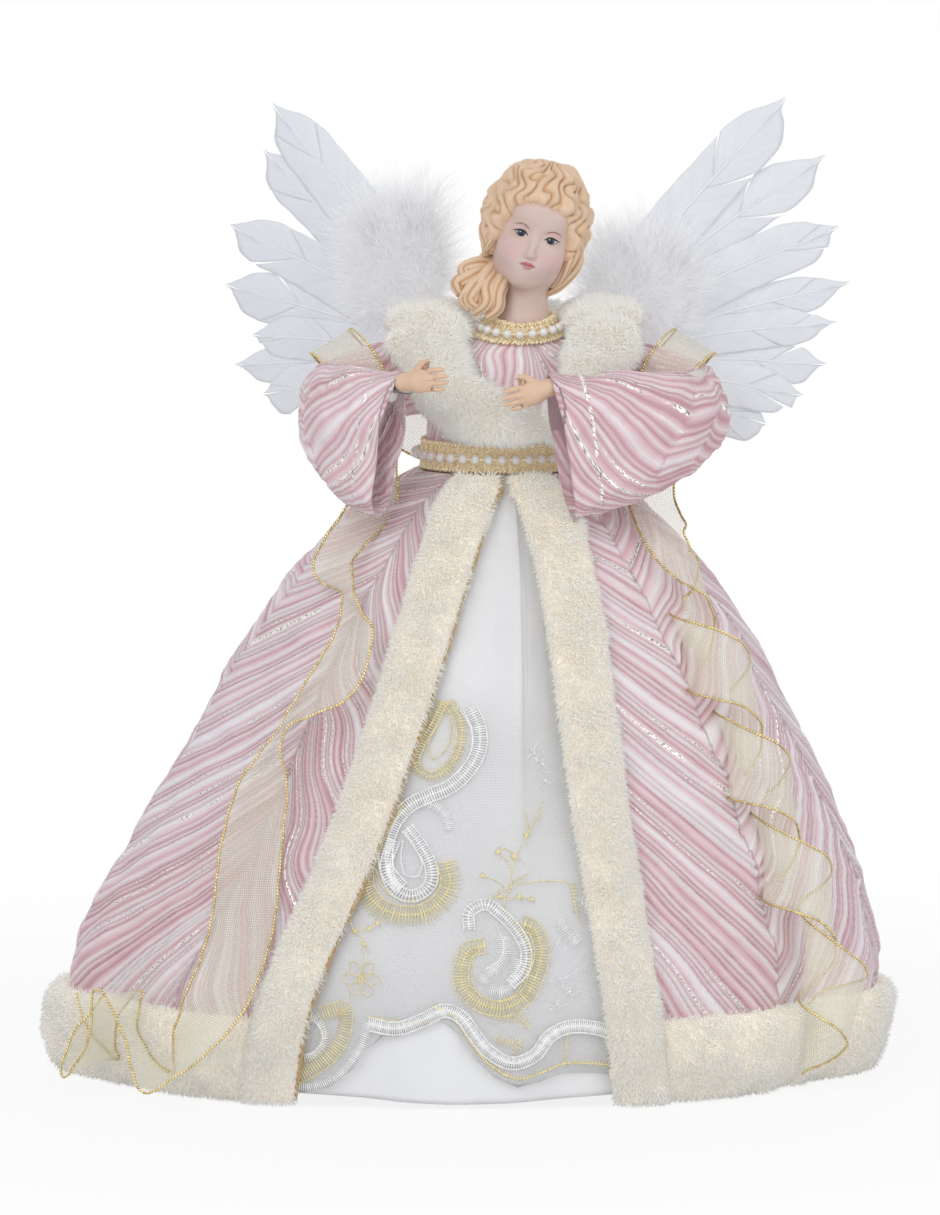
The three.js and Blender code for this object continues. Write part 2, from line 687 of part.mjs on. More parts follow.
// A soft roll swept along a path: an oval section, wide along the path's own width direction.
function roll(path, widthAt, halfWidthAt, halfThickness, sides, stations) {
  return loftSolid(
    (turn, length) => {
      const centre = path.getPoint(length);
      const ahead = path.getTangent(length);
      const width = widthAt(length).clone();
      width.addScaledVector(ahead, -width.dot(ahead)).normalize();
      const out = new THREE.Vector3().crossVectors(ahead, width);
      const angle = turnAngle(turn);
      const taper = Math.min(1, 0.55 + 6 * length, 0.7 + 6 * (1 - length));
      centre.addScaledVector(width, halfWidthAt(length) * taper * Math.cos(angle));
      return centre.addScaledVector(out, halfThickness * taper * Math.sin(angle));
    },
    sides,
    stations,
  );
}

const MIRROR = { left: 1, right: -1 };
const ARMHOLE_REACH = CHEST_HALF_WIDTH + BODICE_FACE + CLEARANCE + ARMHOLE_RADIUS * TORSO_LEAN_PER_MM;

// A point beside the shoulder pivot: reach out from the middle, forward, and rise above the pivot.
function besidePivot(side, reach, forward, rise) {
  return new THREE.Vector3(leanAt(PIVOT_HEIGHT) + MIRROR[side] * reach, -forward, PIVOT_HEIGHT + rise);
}

function makeShawl() {
  const ride = ARMHOLE_RADIUS + CLOTH_ROOM + SHAWL_HALF_THICKNESS;
  const lapel = (side) => {
    const waistReach = side === "right" ? RIGHT_LAPEL_REACH : LEFT_LAPEL_REACH;
    const frontHalfWidth = side === "right" ? LAPEL_FRONT_HALF_WIDTH : SHAWL_HALF_WIDTH;
    const waistRise = WAIST_BRAID_HEIGHT + 3 - SHOULDER_PIVOT_RISE;
    const front = CHEST_HALF_DEPTH + BODICE_FACE + SHAWL_HALF_THICKNESS + CLEARANCE;
    const onShoulder = (turn) => besidePivot(
      side,
      ARMHOLE_REACH + (side === "left" ? LEFT_LAPEL_OUT : 0),
      ride * Math.sin(radians(turn)),
      ride * Math.cos(radians(turn)),
    );
    const path = new THREE.CatmullRomCurve3([
      onShoulder(-38),
      onShoulder(-8),
      onShoulder(25),
      onShoulder(58),
      besidePivot(side, mix(ARMHOLE_REACH, waistReach, 0.3), front - 0.7, 0),
      besidePivot(side, mix(ARMHOLE_REACH, waistReach, 0.7), front + 2, -8),
      besidePivot(side, waistReach, front + 3, waistRise),
    ]);
    const widthAt = (length) => new THREE.Vector3(MIRROR[side], 0.5 * smooth(length, 0.45, 0.75), 0);
    const halfWidthAt = (length) => mix(SHAWL_HALF_WIDTH, frontHalfWidth, smooth(length, 0.5, 0.85));
    return roll(path, widthAt, halfWidthAt, SHAWL_HALF_THICKNESS, 10, 12);
  };
  add("fur_lapel_right", lapel("right"), fur);
  add("fur_lapel_left", lapel("left"), fur);

  const pearlRoom = BRAID_THICKNESS + 4 * NECK_PEARL_RADIUS - CLEARANCE;
  const nape = NECKLINE_HALF_DEPTH + BODICE_FACE + pearlRoom + SHAWL_HALF_THICKNESS;
  const collarRise = NECKLINE_RISE - SHOULDER_PIVOT_RISE;
  const collarHalf = (side) => [
    besidePivot(side, 18, -nape + 5.5, collarRise - 3),
    besidePivot(side, 10, -nape + 1.5, collarRise - 0.5),
  ];
  const collarPath = new THREE.CatmullRomCurve3([
    ...collarHalf("right"),
    besidePivot("right", 0, -nape, collarRise),
    ...collarHalf("left").reverse(),
  ]);
  const upward = () => new THREE.Vector3(0, 0, 1);
  add("fur_collar", roll(collarPath, upward, () => COLLAR_HALF_HEIGHT, SHAWL_HALF_THICKNESS, 10, 8), fur);
}

// Sleeve and arm of one side follow the same bent path out to the elbow and forward to the mouth.
function armPath(side, drop) {
  const mouth = side === "right" ? RIGHT_MOUTH_REACH : LEFT_MOUTH_REACH;
  const reach = (share) => ARMHOLE_REACH + CLEARANCE + share * ELBOW_REACH;
  return new THREE.CatmullRomCurve3([
    besidePivot(side, reach(0), 0, 0),
    besidePivot(side, reach(0.12), 0, 0),
    besidePivot(side, reach(0.45), 0, -drop * 0.06),
    besidePivot(side, reach(0.86), MOUTH_FORWARD * 0.1, -drop * 0.2),
    besidePivot(side, reach(0.98), MOUTH_FORWARD * 0.4, -drop * 0.45),
    besidePivot(side, reach(0.7) + mouth * 0.25, MOUTH_FORWARD * 0.75, -drop * 0.75),
    besidePivot(side, ARMHOLE_REACH + mouth, MOUTH_FORWARD, -drop),
  ]);
}

const SLEEVE_DROP = 18;
const ARM_DROP = -1;

function makeSleeve(side) {
  const path = armPath(side, SLEEVE_DROP);
  const heights = [
    [0, ARMHOLE_RADIUS],
    [0.45, ELBOW_HALF_HEIGHT - 2],
    [0.65, ELBOW_HALF_HEIGHT + 3],
    [1, MOUTH_HALF_HEIGHT],
  ];
  const depths = [
    [0, ARMHOLE_RADIUS],
    [0.3, ELBOW_HALF_DEPTH + 1],
    [0.55, ELBOW_HALF_DEPTH],
    [1, MOUTH_HALF_DEPTH],
  ];
  const shell = sheetSolid(
    (turn, length, face) => {
      const centre = path.getPointAt(length);
      const ahead = path.getTangentAt(length).setZ(0).normalize();
      if (length === 0) {
        ahead.set(MIRROR[side], 0, 0);
      }
      const across = new THREE.Vector3(-ahead.y, ahead.x, 0);
      const inset = (1 - face) * SLEEVE_THICKNESS;
      const angle = turnAngle(turn);
      const rise = (profileAt(heights, length) - inset) * Math.cos(angle);
      const pleat = 1 + 0.1 * smooth(length, 0.5, 0.9) * Math.cos(5 * angle);
      const wide = (profileAt(depths, length) * pleat - inset) * Math.sin(angle);
      const rake = MOUTH_RAKE * smooth(length, 0.6, 1) * (rise - MOUTH_HALF_HEIGHT);
      centre.addScaledVector(across, wide);
      centre.addScaledVector(ahead, rake);
      centre.z += rise;
      return centre;
    },
    16,
    9,
    true,
  );
  add(`sleeve_${side}`, shell, brocade);
}

function makeArm(side) {
  const path = armPath(side, ARM_DROP);
  const root = besidePivot(side, ARMHOLE_REACH - BODICE_FACE - WIRE_ROOT, 0, 0);
  const start = path.getPoint(0);
  const bent = path.getSpacedPoints(14);
  const end = bent[bent.length - 1];
  const reachDirection = path.getTangent(1).setZ(0).normalize();
  const tip = end.clone().addScaledVector(reachDirection, WIRE_IN_HAND);
  const route = [root, start, ...bent.slice(1), tip];
  const wireCurve = new THREE.CatmullRomCurve3(route);
  const section = new THREE.Shape().absarc(0, 0, ARM_WIRE_RADIUS, 0, 2 * Math.PI);
  const wireGeometry = new THREE.ExtrudeGeometry(section, {
    extrudePath: wireCurve,
    steps: 18,
    curveSegments: 3,
    bevelEnabled: false,
  });
  const padding = sheetSolid(
    (turn, length, face) => {
      const share = mix(0.04, 0.97, length);
      const centre = path.getPointAt(share);
      const ahead = path.getTangentAt(share);
      const across = new THREE.Vector3(-ahead.y, ahead.x, 0).normalize();
      const up = new THREE.Vector3().crossVectors(ahead, across);
      const radius = face ? ARM_RADIUS : ARM_BORE_RADIUS;
      const angle = turnAngle(turn);
      centre.addScaledVector(across, radius * Math.cos(angle));
      return centre.addScaledVector(up, radius * Math.sin(angle));
    },
    6,
    9,
    true,
  );
  add(`arm_wire_${side}`, fromManifold(toManifold(wireGeometry)), wire);
  add(`arm_padding_${side}`, padding, card);
  makeHand(side, end, reachDirection, toManifold(wireGeometry), wireCurve);
}

// A hand along +X from the wrist, thumb up, then turned to lie along the forearm's end.
function makeHand(side, wrist, direction, wireSolid, wireCurve) {
  const capsule = (radius, length, x, y, z, pitch, yaw) => {
    const finger = new THREE.CapsuleGeometry(radius, length, 1, 6);
    finger.rotateZ(-Math.PI / 2);
    finger.rotateY(radians(-pitch));
    finger.rotateZ(radians(yaw));
    finger.translate(x, y, z);
    return finger;
  };
  const palm = ellipsoid(HAND_LENGTH * 0.32, 2.6, PALM_HALF_HEIGHT, HAND_LENGTH * 0.36, 0, 0, 10, 6);
  const cuff = new THREE.CylinderGeometry(2.9, 3.2, HAND_LENGTH * 0.36, 10);
  cuff.rotateZ(-Math.PI / 2);
  cuff.translate(HAND_LENGTH * 0.16, 0, 0);
  const knuckle = HAND_LENGTH * 0.74;
  const fingers = [2.7, 0.9, -0.9, -2.6].map((rise, i) =>
    capsule(FINGER_RADIUS, HAND_LENGTH * (0.36 - 0.03 * i), knuckle, -0.5, rise, rise * 3, 0));
  const thumbRise = PALM_HALF_HEIGHT + 0.6;
  const thumb = capsule(FINGER_RADIUS, HAND_LENGTH * 0.26, HAND_LENGTH * 0.46, -0.6, thumbRise, 42, 0);
  const place = new THREE.Matrix4().makeRotationZ(Math.atan2(direction.y, direction.x));
  place.setPosition(wrist);
  const shapes = [palm, cuff, ...fingers, thumb].map((shape) => shape.applyMatrix4(place));
  const socketRadius = ARM_WIRE_RADIUS + CLEARANCE;
  const socket = new THREE.CylinderGeometry(socketRadius, socketRadius, 2 * (WIRE_IN_HAND + CLEARANCE), 8);
  socket.rotateZ(-Math.PI / 2);
  socket.applyMatrix4(place);
  add(`hand_${side}`, fromManifold(joined(shapes).subtract(toManifold(socket))), handBisque);
}

// Wings fold on a crease beside the card that is glued to the back.
const WING_BACK = CHEST_HALF_DEPTH + BODICE_FACE + CLEARANCE;
const CARD_MIDDLE = WAIST_HEIGHT + CARD_RISE;

function plate(length, height, corner) {
  const shape = new THREE.Shape();
  shape.moveTo(0, -height / 2);
  shape.lineTo(length - corner, -height / 2);
  shape.quadraticCurveTo(length, -height / 2, length, -height / 2 + corner);
  shape.lineTo(length, height / 2 - corner);
  shape.quadraticCurveTo(length, height / 2, length - corner, height / 2);
  shape.lineTo(0, height / 2);
  const cut = { depth: CARD_THICKNESS, bevelEnabled: false, curveSegments: 4 };
  const geometry = new THREE.ExtrudeGeometry(shape, cut);
  geometry.rotateX(Math.PI / 2);
  return geometry;
}

// Feather in the wing's plane: out along X, up along Z, with the layers stacked along Y.
function featherSolid(angle, length, halfWidth, layer) {
  const along = new THREE.Vector3(Math.cos(angle), 0, Math.sin(angle));
  const across = new THREE.Vector3(-Math.sin(angle), 0, Math.cos(angle));
  return sheetSolid(
    (u, v, face) => {
      const distance = mix(QUILL_START, length, v);
      const reach = Math.max(0, (v - VANE_START) / (1 - VANE_START));
      const vane = Math.max(0, Math.sin(Math.PI * reach ** 0.75)) ** 0.5;
      const wide = QUILL_HALF_WIDTH + (halfWidth - QUILL_HALF_WIDTH) * vane;
      const spread = 2 * u - 1;
      const thick = FEATHER_THICKNESS * (1 - 0.45 * Math.abs(spread));
      const point = along.clone().multiplyScalar(distance);
      point.addScaledVector(across, spread * wide);
      point.y += layer + (face - 0.5) * thick;
      point.x += FAN_HUB_OUT;
      point.z += FAN_HUB_RISE;
      return point;
    },
    2,
    6,
  );
}

function makeWing(side, sweep, count, longest) {
  const frame = new THREE.Group();
  frame.name = `wing_frame_${side}`;
  const crease = leanAt(CARD_MIDDLE) + MIRROR[side] * CREASE_REACH;
  frame.position.set(crease, WING_BACK + CARD_THICKNESS, CARD_MIDDLE);
  frame.rotation.set(0, 0, radians(sweep) * MIRROR[side]);
  angel.add(frame);
  const placed = (geometry) => {
    geometry.translate(CLEARANCE, 0, 0);
    return side === "left" ? geometry : mirrored(geometry);
  };
  add(`wing_card_${side}`, placed(plate(CARD_LENGTH, CARD_HEIGHT, 8)), card, frame);
  const firstLayer = CLEARANCE + FEATHER_THICKNESS / 2;
  for (let i = 0; i < count; i += 1) {
    const share = i / (count - 1);
    const angle = radians(mix(FEATHER_TOP_ANGLE, FEATHER_BOTTOM_ANGLE, share));
    const length = mix(longest, FEATHER_SHORTEST, share ** 1.8);
    const halfWidth = FEATHER_HALF_WIDTH * (1 - 0.2 * share);
    const layer = firstLayer + (i % 2) * (FEATHER_THICKNESS + CLEARANCE);
    const vane = featherSolid(angle, length, halfWidth, layer);
    add(`feather_${side}_${i + 1}`, placed(vane), feather, frame);
  }
  const puff = ellipsoid(
    DOWN_HALF_LENGTH,
    DOWN_THICKNESS,
    DOWN_HALF_HEIGHT,
    DOWN_REACH,
    0,
    CARD_HEIGHT / 2 + CLEARANCE + DOWN_HALF_HEIGHT,
    14,
    8,
  );
  const down = fromManifold(toManifold(puff).trimByPlane([0, -1, 0], 0));
  add(`down_${side}`, placed(down), feather, frame);
}

function mirrored(geometry) {
  const flipped = geometry.index ? geometry.toNonIndexed() : geometry.clone();
  flipped.scale(-1, 1, 1);
  const position = flipped.getAttribute("position");
  const a = new THREE.Vector3();
  const b = new THREE.Vector3();
  for (let i = 0; i < position.count; i += 3) {
    a.fromBufferAttribute(position, i + 1);
    b.fromBufferAttribute(position, i + 2);
    position.setXYZ(i + 1, b.x, b.y, b.z);
    position.setXYZ(i + 2, a.x, a.y, a.z);
  }
  return flipped;
}

function makeWings() {
  const back = new THREE.BoxGeometry(2 * CREASE_REACH, CARD_THICKNESS, CARD_HEIGHT);
  back.translate(leanAt(CARD_MIDDLE), WING_BACK + CARD_THICKNESS / 2, CARD_MIDDLE);
  add("wing_mount_card", back, card);
  makeWing("left", WING_SWEEP_LEFT, FEATHERS_LEFT, FEATHER_LONGEST_LEFT);
  makeWing("right", WING_SWEEP_RIGHT, FEATHERS_RIGHT, FEATHER_LONGEST_RIGHT);
}

// Ribbon through stations, each a middle point and a direction across its width.
function ribbonSolid(stations, startHalfWidth, fullHalfWidth, steps) {
  const middle = new THREE.CatmullRomCurve3(stations.map((s) => s.point));
  const across = new THREE.CatmullRomCurve3(stations.map((s) => s.width));
  return sheetSolid(
    (u, v, face) => {
      const width = across.getPoint(v).normalize();
      const out = new THREE.Vector3().crossVectors(middle.getTangent(v), width).normalize();
      const halfWidth = mix(startHalfWidth, fullHalfWidth, smooth(v, 0, 0.2));
      const point = middle.getPoint(v).addScaledVector(width, (2 * u - 1) * halfWidth);
      return point.addScaledVector(out, (face - 0.5) * RIBBON_THICKNESS);
    },
    1,
    steps,
  );
}

// Directions on the skirt: round it, up it and out of it.
function skirtFrame(angle, height, offset) {
  const point = skirtPoint(angle, height, offset);
  const round = skirtPoint(angle + 0.02, height, offset).sub(point).normalize();
  const up = skirtPoint(angle, height + 1, offset).sub(point).normalize();
  const out = new THREE.Vector3().crossVectors(round, up).normalize();
  return { point, round, up, out };
}

// A station on the skirt: angle, height, stand-off, slant of the width in the cloth, twist out of it.
function skirtStation([angle, height, standOff, slant, twist]) {
  const clear = BROCADE_THICKNESS + CLOTH_ROOM + standOff;
  const { point, round, up, out } = skirtFrame(radians(angle), height, clear);
  const width = round.multiplyScalar(Math.cos(radians(slant)));
  width.addScaledVector(up, Math.sin(radians(slant)));
  width.multiplyScalar(Math.cos(radians(twist)));
  width.addScaledVector(out, Math.sin(radians(twist)));
  return { point, width };
}

// Ribbon over one arm, from behind the shoulder down into the crook of the arm.
const ARM_RIBBON_REACH = ARMHOLE_REACH + ARM_RIBBON_OUT;

function armRibbonStations(side) {
  const over = ARMHOLE_RADIUS + 3;
  const width = new THREE.Vector3(1, 0, 0);
  return [
    [-over, -8],
    [-over, 1],
    [-over * 0.8, 9],
    [0, over],
    [over * 0.8, 10.5],
    [over * 1.1, 1],
    [over * 1.15, -14],
    [over * 1.2, -28],
    [over * 1.45, -SLEEVE_DROP - MOUTH_HALF_HEIGHT + 4],
  ].map(([forward, rise]) => ({ point: besidePivot(side, ARM_RIBBON_REACH, forward, rise), width }));
}

// Where a fall takes over from the ribbon on the arm: just under its end.
function fallStart(side) {
  const stations = armRibbonStations(side);
  const { point, width } = stations[stations.length - 1];
  const below = point.clone();
  below.z -= 2 * CLEARANCE;
  return { point: below, width };
}

function makeRibbons() {
  for (const side of ["left", "right"]) {
    const stations = armRibbonStations(side);
    const crook = ribbonSolid(stations, ARM_RIBBON_HALF_WIDTH, ARM_RIBBON_HALF_WIDTH, 18);
    add(`ribbon_arm_${side}`, crook, goldRibbon);
  }
  const behind = ARMHOLE_RADIUS + 3 + RIBBON_THICKNESS + CLEARANCE;
  const level = new THREE.Vector3(1, 0, 0);
  const backHalf = (side) => [
    { point: besidePivot(side, ARM_RIBBON_REACH, -behind, -4), width: level },
    { point: besidePivot(side, ARM_RIBBON_REACH - 3, -behind - 2, -12), width: level },
    {
      point: besidePivot(side, ARM_RIBBON_REACH * 0.6, -behind - 7, -23),
      width: new THREE.Vector3(0.6, 0, -0.8 * MIRROR[side]),
    },
  ];
  const overPearls = BRAID_THICKNESS + 2 * WAIST_PEARL_RADIUS + 4 * CLEARANCE;
  const backMiddle = WAIST_HALF_DEPTH + BODICE_FACE + overPearls;
  const back = [
    ...backHalf("left"),
    { point: besidePivot("left", 0, -backMiddle - 1, -25), width: new THREE.Vector3(0, 0, -1) },
    ...backHalf("right").reverse().map(({ point, width }) => ({ point, width: width.clone().negate() })),
  ];
  add("ribbon_back", ribbonSolid(back, ARM_RIBBON_HALF_WIDTH, ARM_RIBBON_HALF_WIDTH, 18), goldRibbon);

  const rightFall = [
    fallStart("right"),
    ...[
      [-54, 172, 9, -10, 0],
      [-41, 157, 8, -45, 10],
      [-42, 141, 8, -55, 10],
      [-48, 122, 12, -35, 45],
      [-47, 100, 8, 0, 10],
      [-45, 80, 4, 0, 0],
      [-41, 58, 2.4, 0, 0],
      [-38, 40, 9, 0, 0],
      [-38.5, 22, HEM_FUR_THICKNESS + 6, 0, 25],
      [-42, 8, HEM_FUR_THICKNESS + 12.5, 0, 75],
      [-47, 20, HEM_FUR_THICKNESS + 10, 0, 55],
      [-50, 36, HEM_FUR_THICKNESS + 11, 0, 75],
      [-54, 22, HEM_FUR_THICKNESS + 10, 0, 55],
      [-57, 8, HEM_FUR_THICKNESS + 12.5, 0, 75],
      [-61, 14, HEM_FUR_THICKNESS + 10, 0, 50],
    ].map(skirtStation),
  ];
  add("ribbon_fall_right", ribbonSolid(rightFall, ARM_RIBBON_HALF_WIDTH, RIBBON_HALF_WIDTH, 48), goldRibbon);

  const leftFall = [fallStart("left")];
  const steps = 54;
  for (let i = 0; i <= steps; i += 1) {
    const share = i / steps;
    const height = mix(168, 16, share);
    const angle = radians(mix(49, 54, share));
    const standOff = RIBBON_CURL_RADIUS + 1.2 + HEM_FUR_THICKNESS * smooth(share, 0.6, 0.85);
    const clear = BROCADE_THICKNESS + CLOTH_ROOM + standOff;
    const { point, round, up, out } = skirtFrame(angle, height, clear);
    const turn = turnAngle(CURL_TURNS * share);
    point.addScaledVector(round, RIBBON_CURL_RADIUS * Math.sin(turn));
    point.addScaledVector(out, RIBBON_CURL_RADIUS * Math.cos(turn));
    leftFall.push({ point, width: up.clone().addScaledVector(round, 0.3) });
  }
  add("ribbon_fall_left", ribbonSolid(leftFall, ARM_RIBBON_HALF_WIDTH, RIBBON_HALF_WIDTH, steps), goldRibbon);
}

makeCone();
makeTorso();
makeBust();
makeHair();
makeBraids();
makeSkirts();
makeSkirtFur();
makeShawl();
for (const side of ["left", "right"]) {
  makeSleeve(side);
  makeArm(side);
}
makeWings();
makeRibbons();

export default angel;
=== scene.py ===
"""Finished looks of an angel tree topper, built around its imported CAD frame.

Lengths are in millimetres unless a property says otherwise. The figure faces -Y,
+X is the figure's left, and each mesh is turned into metres when it is made.
"""

import math

import bmesh
import bpy
import numpy as np
from bpy.props import FloatProperty, FloatVectorProperty, IntProperty, PointerProperty
from bpy.types import Operator, Panel, PropertyGroup
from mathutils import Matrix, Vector


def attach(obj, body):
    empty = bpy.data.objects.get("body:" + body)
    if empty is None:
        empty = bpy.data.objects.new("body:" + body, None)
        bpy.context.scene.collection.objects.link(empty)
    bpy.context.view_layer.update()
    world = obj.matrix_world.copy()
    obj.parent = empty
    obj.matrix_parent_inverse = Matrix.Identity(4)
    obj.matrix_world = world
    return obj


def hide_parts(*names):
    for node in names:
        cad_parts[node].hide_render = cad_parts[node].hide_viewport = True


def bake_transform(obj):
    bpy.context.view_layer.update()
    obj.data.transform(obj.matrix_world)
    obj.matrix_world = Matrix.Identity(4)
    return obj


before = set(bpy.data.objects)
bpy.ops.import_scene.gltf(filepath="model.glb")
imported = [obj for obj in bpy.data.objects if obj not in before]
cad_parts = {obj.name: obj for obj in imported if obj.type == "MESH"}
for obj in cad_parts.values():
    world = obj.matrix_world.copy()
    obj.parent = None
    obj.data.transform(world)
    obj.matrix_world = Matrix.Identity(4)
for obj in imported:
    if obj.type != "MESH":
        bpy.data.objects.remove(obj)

bl_info = {
    "name": "Angel Tree Topper",
    "version": (1, 0, 0),
    "blender": (4, 5, 0),
    "location": "3D View > Sidebar > Angel",
    "description": "Builds the cloth, plush, feathers, head and trim of an angel tree topper",
    "category": "Add Mesh",
}

MM = 0.001
TURN = 2 * np.pi
SIDES = {"right": -1, "left": 1}
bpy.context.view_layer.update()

# Sizes that the CAD source also uses; pairs are (half width, half depth)
WAIST = 199.65
WAIST_HALF = (25.35, 19.35)
HEM_HALF = (131, 103)
HEM_ASIDE = 1.9
HEM_FORWARD = 2.7
SKIRT_SWAY = 4
SKIRT_FLARE = [[0, 0.95], [0.15, 1], [0.25, 0.965], [0.5, 0.75], [0.77, 0.47], [0.94, 0.2], [1, 0]]
FOLD_DEPTH = 3.4
RIGHT_EDGE = (-30, -15)
LEFT_EDGE = (27, 13, 21)
PIVOT_HEIGHT = 230
ARMHOLE_REACH = 27.93
# Height, half width and half depth of the torso
TORSO = [(199.65, 23.5, 17.5), (220, 25, 19), (238, 23, 16), (247, 9.6, 9.6), (255, 7.4, 7.4)]
HEAD_PLACE = (21.76, -1.5, 279)
HEAD_TILT = math.radians(16)
WING_BACK = 21.85
WING_HEIGHT = 227
WING_SWEEP = {"left": 14, "right": 30}


def mix(a, b, share):
    """The value a share of the way from a to b."""
    return a + (b - a) * share


def smooth(value, low, high):
    """Smoothstep from 0 at low to 1 at high."""
    share = np.clip((value - low) / (high - low), 0, 1)
    return share * share * (3 - 2 * share)


def profile_at(points, position):
    """A cubic through points of (position, value), with central slopes, as in the CAD source."""
    xs, ys = np.array(points, float).T
    steps = np.diff(xs)
    secants = np.diff(ys) / steps
    slopes = np.concatenate([secants[:1], (ys[2:] - ys[:-2]) / (xs[2:] - xs[:-2]), secants[-1:]])
    position = np.clip(np.asarray(position, float), xs[0], xs[-1])
    i = np.clip(np.searchsorted(xs, position, side="right") - 1, 0, len(steps) - 1)
    t = (position - xs[i]) / steps[i]
    r = 1 - t
    ends = ys[i] * r * r * (1 + 2 * t) + ys[i + 1] * t * t * (3 - 2 * t)
    return ends + steps[i] * t * r * (slopes[i] * r - slopes[i + 1] * t)


def lean_at(z):
    """Sideways lean of the figure's middle line, stronger above the waist."""
    return 0.05 * z + 0.09 * np.maximum(0, z - 200)


def stacked(x, y, z):
    """Points from three arrays of coordinates."""
    return np.stack(np.broadcast_arrays(x, y, z), -1).astype(float)


def body_point(angle, z, offset):
    """A point on the torso, grown by offset; angle 0 is the middle of the front."""
    wide = profile_at([(row[0], row[1]) for row in TORSO], z) + offset
    deep = profile_at([(row[0], row[2]) for row in TORSO], z) + offset
    return stacked(lean_at(z) + wide * np.sin(angle), -deep * np.cos(angle), z)


def skirt_shape(z):
    """Half width, half depth, middle and forward shift of the skirt at a height."""
    share = np.clip(z / WAIST, 0, 1)
    flare = profile_at(SKIRT_FLARE, share)
    wide, deep = (mix(a, b, flare) for a, b in zip(WAIST_HALF, HEM_HALF))
    sway = SKIRT_SWAY * np.sin(np.pi * share) * smooth(share, 0, 0.4)
    return wide, deep, lean_at(z) + sway - HEM_ASIDE * (1 - share), HEM_FORWARD * (1 - share)


def skirt_point(angle, z, offset=0.0):
    """A point on the skirt's surface, grown by offset; its folds stay clear of the front."""
    turn = np.arctan2(np.sin(angle), np.cos(angle))
    share = np.clip(z / WAIST, 0, 1)
    away = smooth(np.abs(turn), math.radians(35), math.radians(60))
    fold = FOLD_DEPTH * away * (1 - share) * (np.cos(9 * turn) + 0.45 * np.sin(5 * turn + 1))
    wide, deep, middle, forward = skirt_shape(z)
    grown = fold + offset
    return stacked(middle + (wide + grown) * np.sin(turn), -(forward + (deep + grown) * np.cos(turn)), z)


def row_height(along, foot):
    """Height of a row of the skirt, closer together at the waist."""
    return mix(WAIST, foot, along**1.5)


def right_edge(z):
    """Angle of the front opening's edge on the figure's right."""
    return np.radians(mix(*RIGHT_EDGE, z / WAIST))


def left_edge(z):
    """Angle of the front opening's edge on the figure's left, which bows."""
    s = z / WAIST
    foot, bow, waist = LEFT_EDGE
    return np.radians(foot * (1 - s) ** 2 + 2 * bow * s * (1 - s) + waist * s * s)


def half_angles(side, height, share, seam, room=0.0):
    """Angles of one half of the skirt, from its front edge, or to it, and the seam at the back."""
    if side == "left":
        return mix(left_edge(height) + room, np.pi - seam, share)
    return mix(np.pi + seam, TURN + right_edge(height) - room, share)


def pad_swell(across, edge):
    """Section of a pad: edge at both rims and 1 in the middle."""
    return edge + (1 - edge) * np.sqrt(np.maximum(0, 1 - (2 * across - 1) ** 2))


def beside_pivot(side, reach, forward, rise):
    """A point beside the shoulder pivot of one side."""
    return [lean_at(PIVOT_HEIGHT) + SIDES[side] * reach, -forward, PIVOT_HEIGHT + rise]


def spline(points, shares):
    """Points at shares of a centripetal Catmull-Rom curve, as in the CAD source."""
    points = np.asarray(points, float)
    ends = np.vstack([2 * points[0] - points[1], points, 2 * points[-1] - points[-2]])
    position = np.clip(np.asarray(shares, float), 0, 1) * (len(points) - 1)
    i = np.minimum(position.astype(int), len(points) - 2)
    t = (position - i)[:, None]
    p0, p1, p2, p3 = (ends[i + k] for k in range(4))

    def knot(a, b):
        return np.maximum(np.linalg.norm(a - b, axis=1) ** 0.5, 1e-4)[:, None]

    d0, d1, d2 = knot(p0, p1), knot(p1, p2), knot(p2, p3)
    m1 = d1 * ((p1 - p0) / d0 - (p2 - p0) / (d0 + d1) + (p2 - p1) / d1)
    m2 = d1 * ((p2 - p1) / d1 - (p3 - p1) / (d1 + d2) + (p3 - p2) / d2)
    return p1 + m1 * t + (3 * p2 - 3 * p1 - 2 * m1 - m2) * t**2 + (2 * p1 - 2 * p2 + m1 + m2) * t**3


def flat_spline(places, shares):
    """Places at shares of a curve through flat places."""
    places = np.asarray(places, float)
    return spline(np.column_stack([places, np.zeros(len(places))]), shares)[:, :2]


def run_length(path):
    """Distance along a path at each of its points."""
    return np.concatenate([[0], np.cumsum(np.linalg.norm(np.diff(path, axis=0), axis=1))])


def even_shares(points, shares):
    """Curve shares at equal steps of arc length."""
    fine = np.linspace(0, 1, 801)
    run = run_length(spline(points, fine))
    return np.interp(np.asarray(shares, float) * run[-1], run, fine)


def even_spline(points, count):
    """A number of points spaced evenly along a curve."""
    return spline(points, even_shares(points, np.linspace(0, 1, count)))


def spline_ahead(points, shares, step=1e-3):
    """Steps along a curve at its shares."""
    return spline(points, np.minimum(shares + step, 1)) - spline(points, np.maximum(shares - step, 0))


def unit(vectors):
    """Vectors of length 1."""
    return vectors / np.maximum(np.linalg.norm(vectors, axis=-1, keepdims=True), 1e-9)


def tangents(path):
    """Directions along a path, or down the rows of a grid."""
    return unit(np.gradient(path, axis=0))


def turns_of(count, start=0.0):
    """Angles all the way round, without the last one."""
    return np.linspace(start, start + TURN, count, endpoint=False)


def frames_along(path, first):
    """Side and up directions along a path that turn as little as possible."""
    ahead = tangents(path)
    side = np.zeros_like(path)
    last = np.asarray(first, float)
    for k, direction in enumerate(ahead):
        last = last - direction * last.dot(direction)
        last = last / max(np.linalg.norm(last), 1e-9)
        side[k] = last
    return side, np.cross(ahead, side)


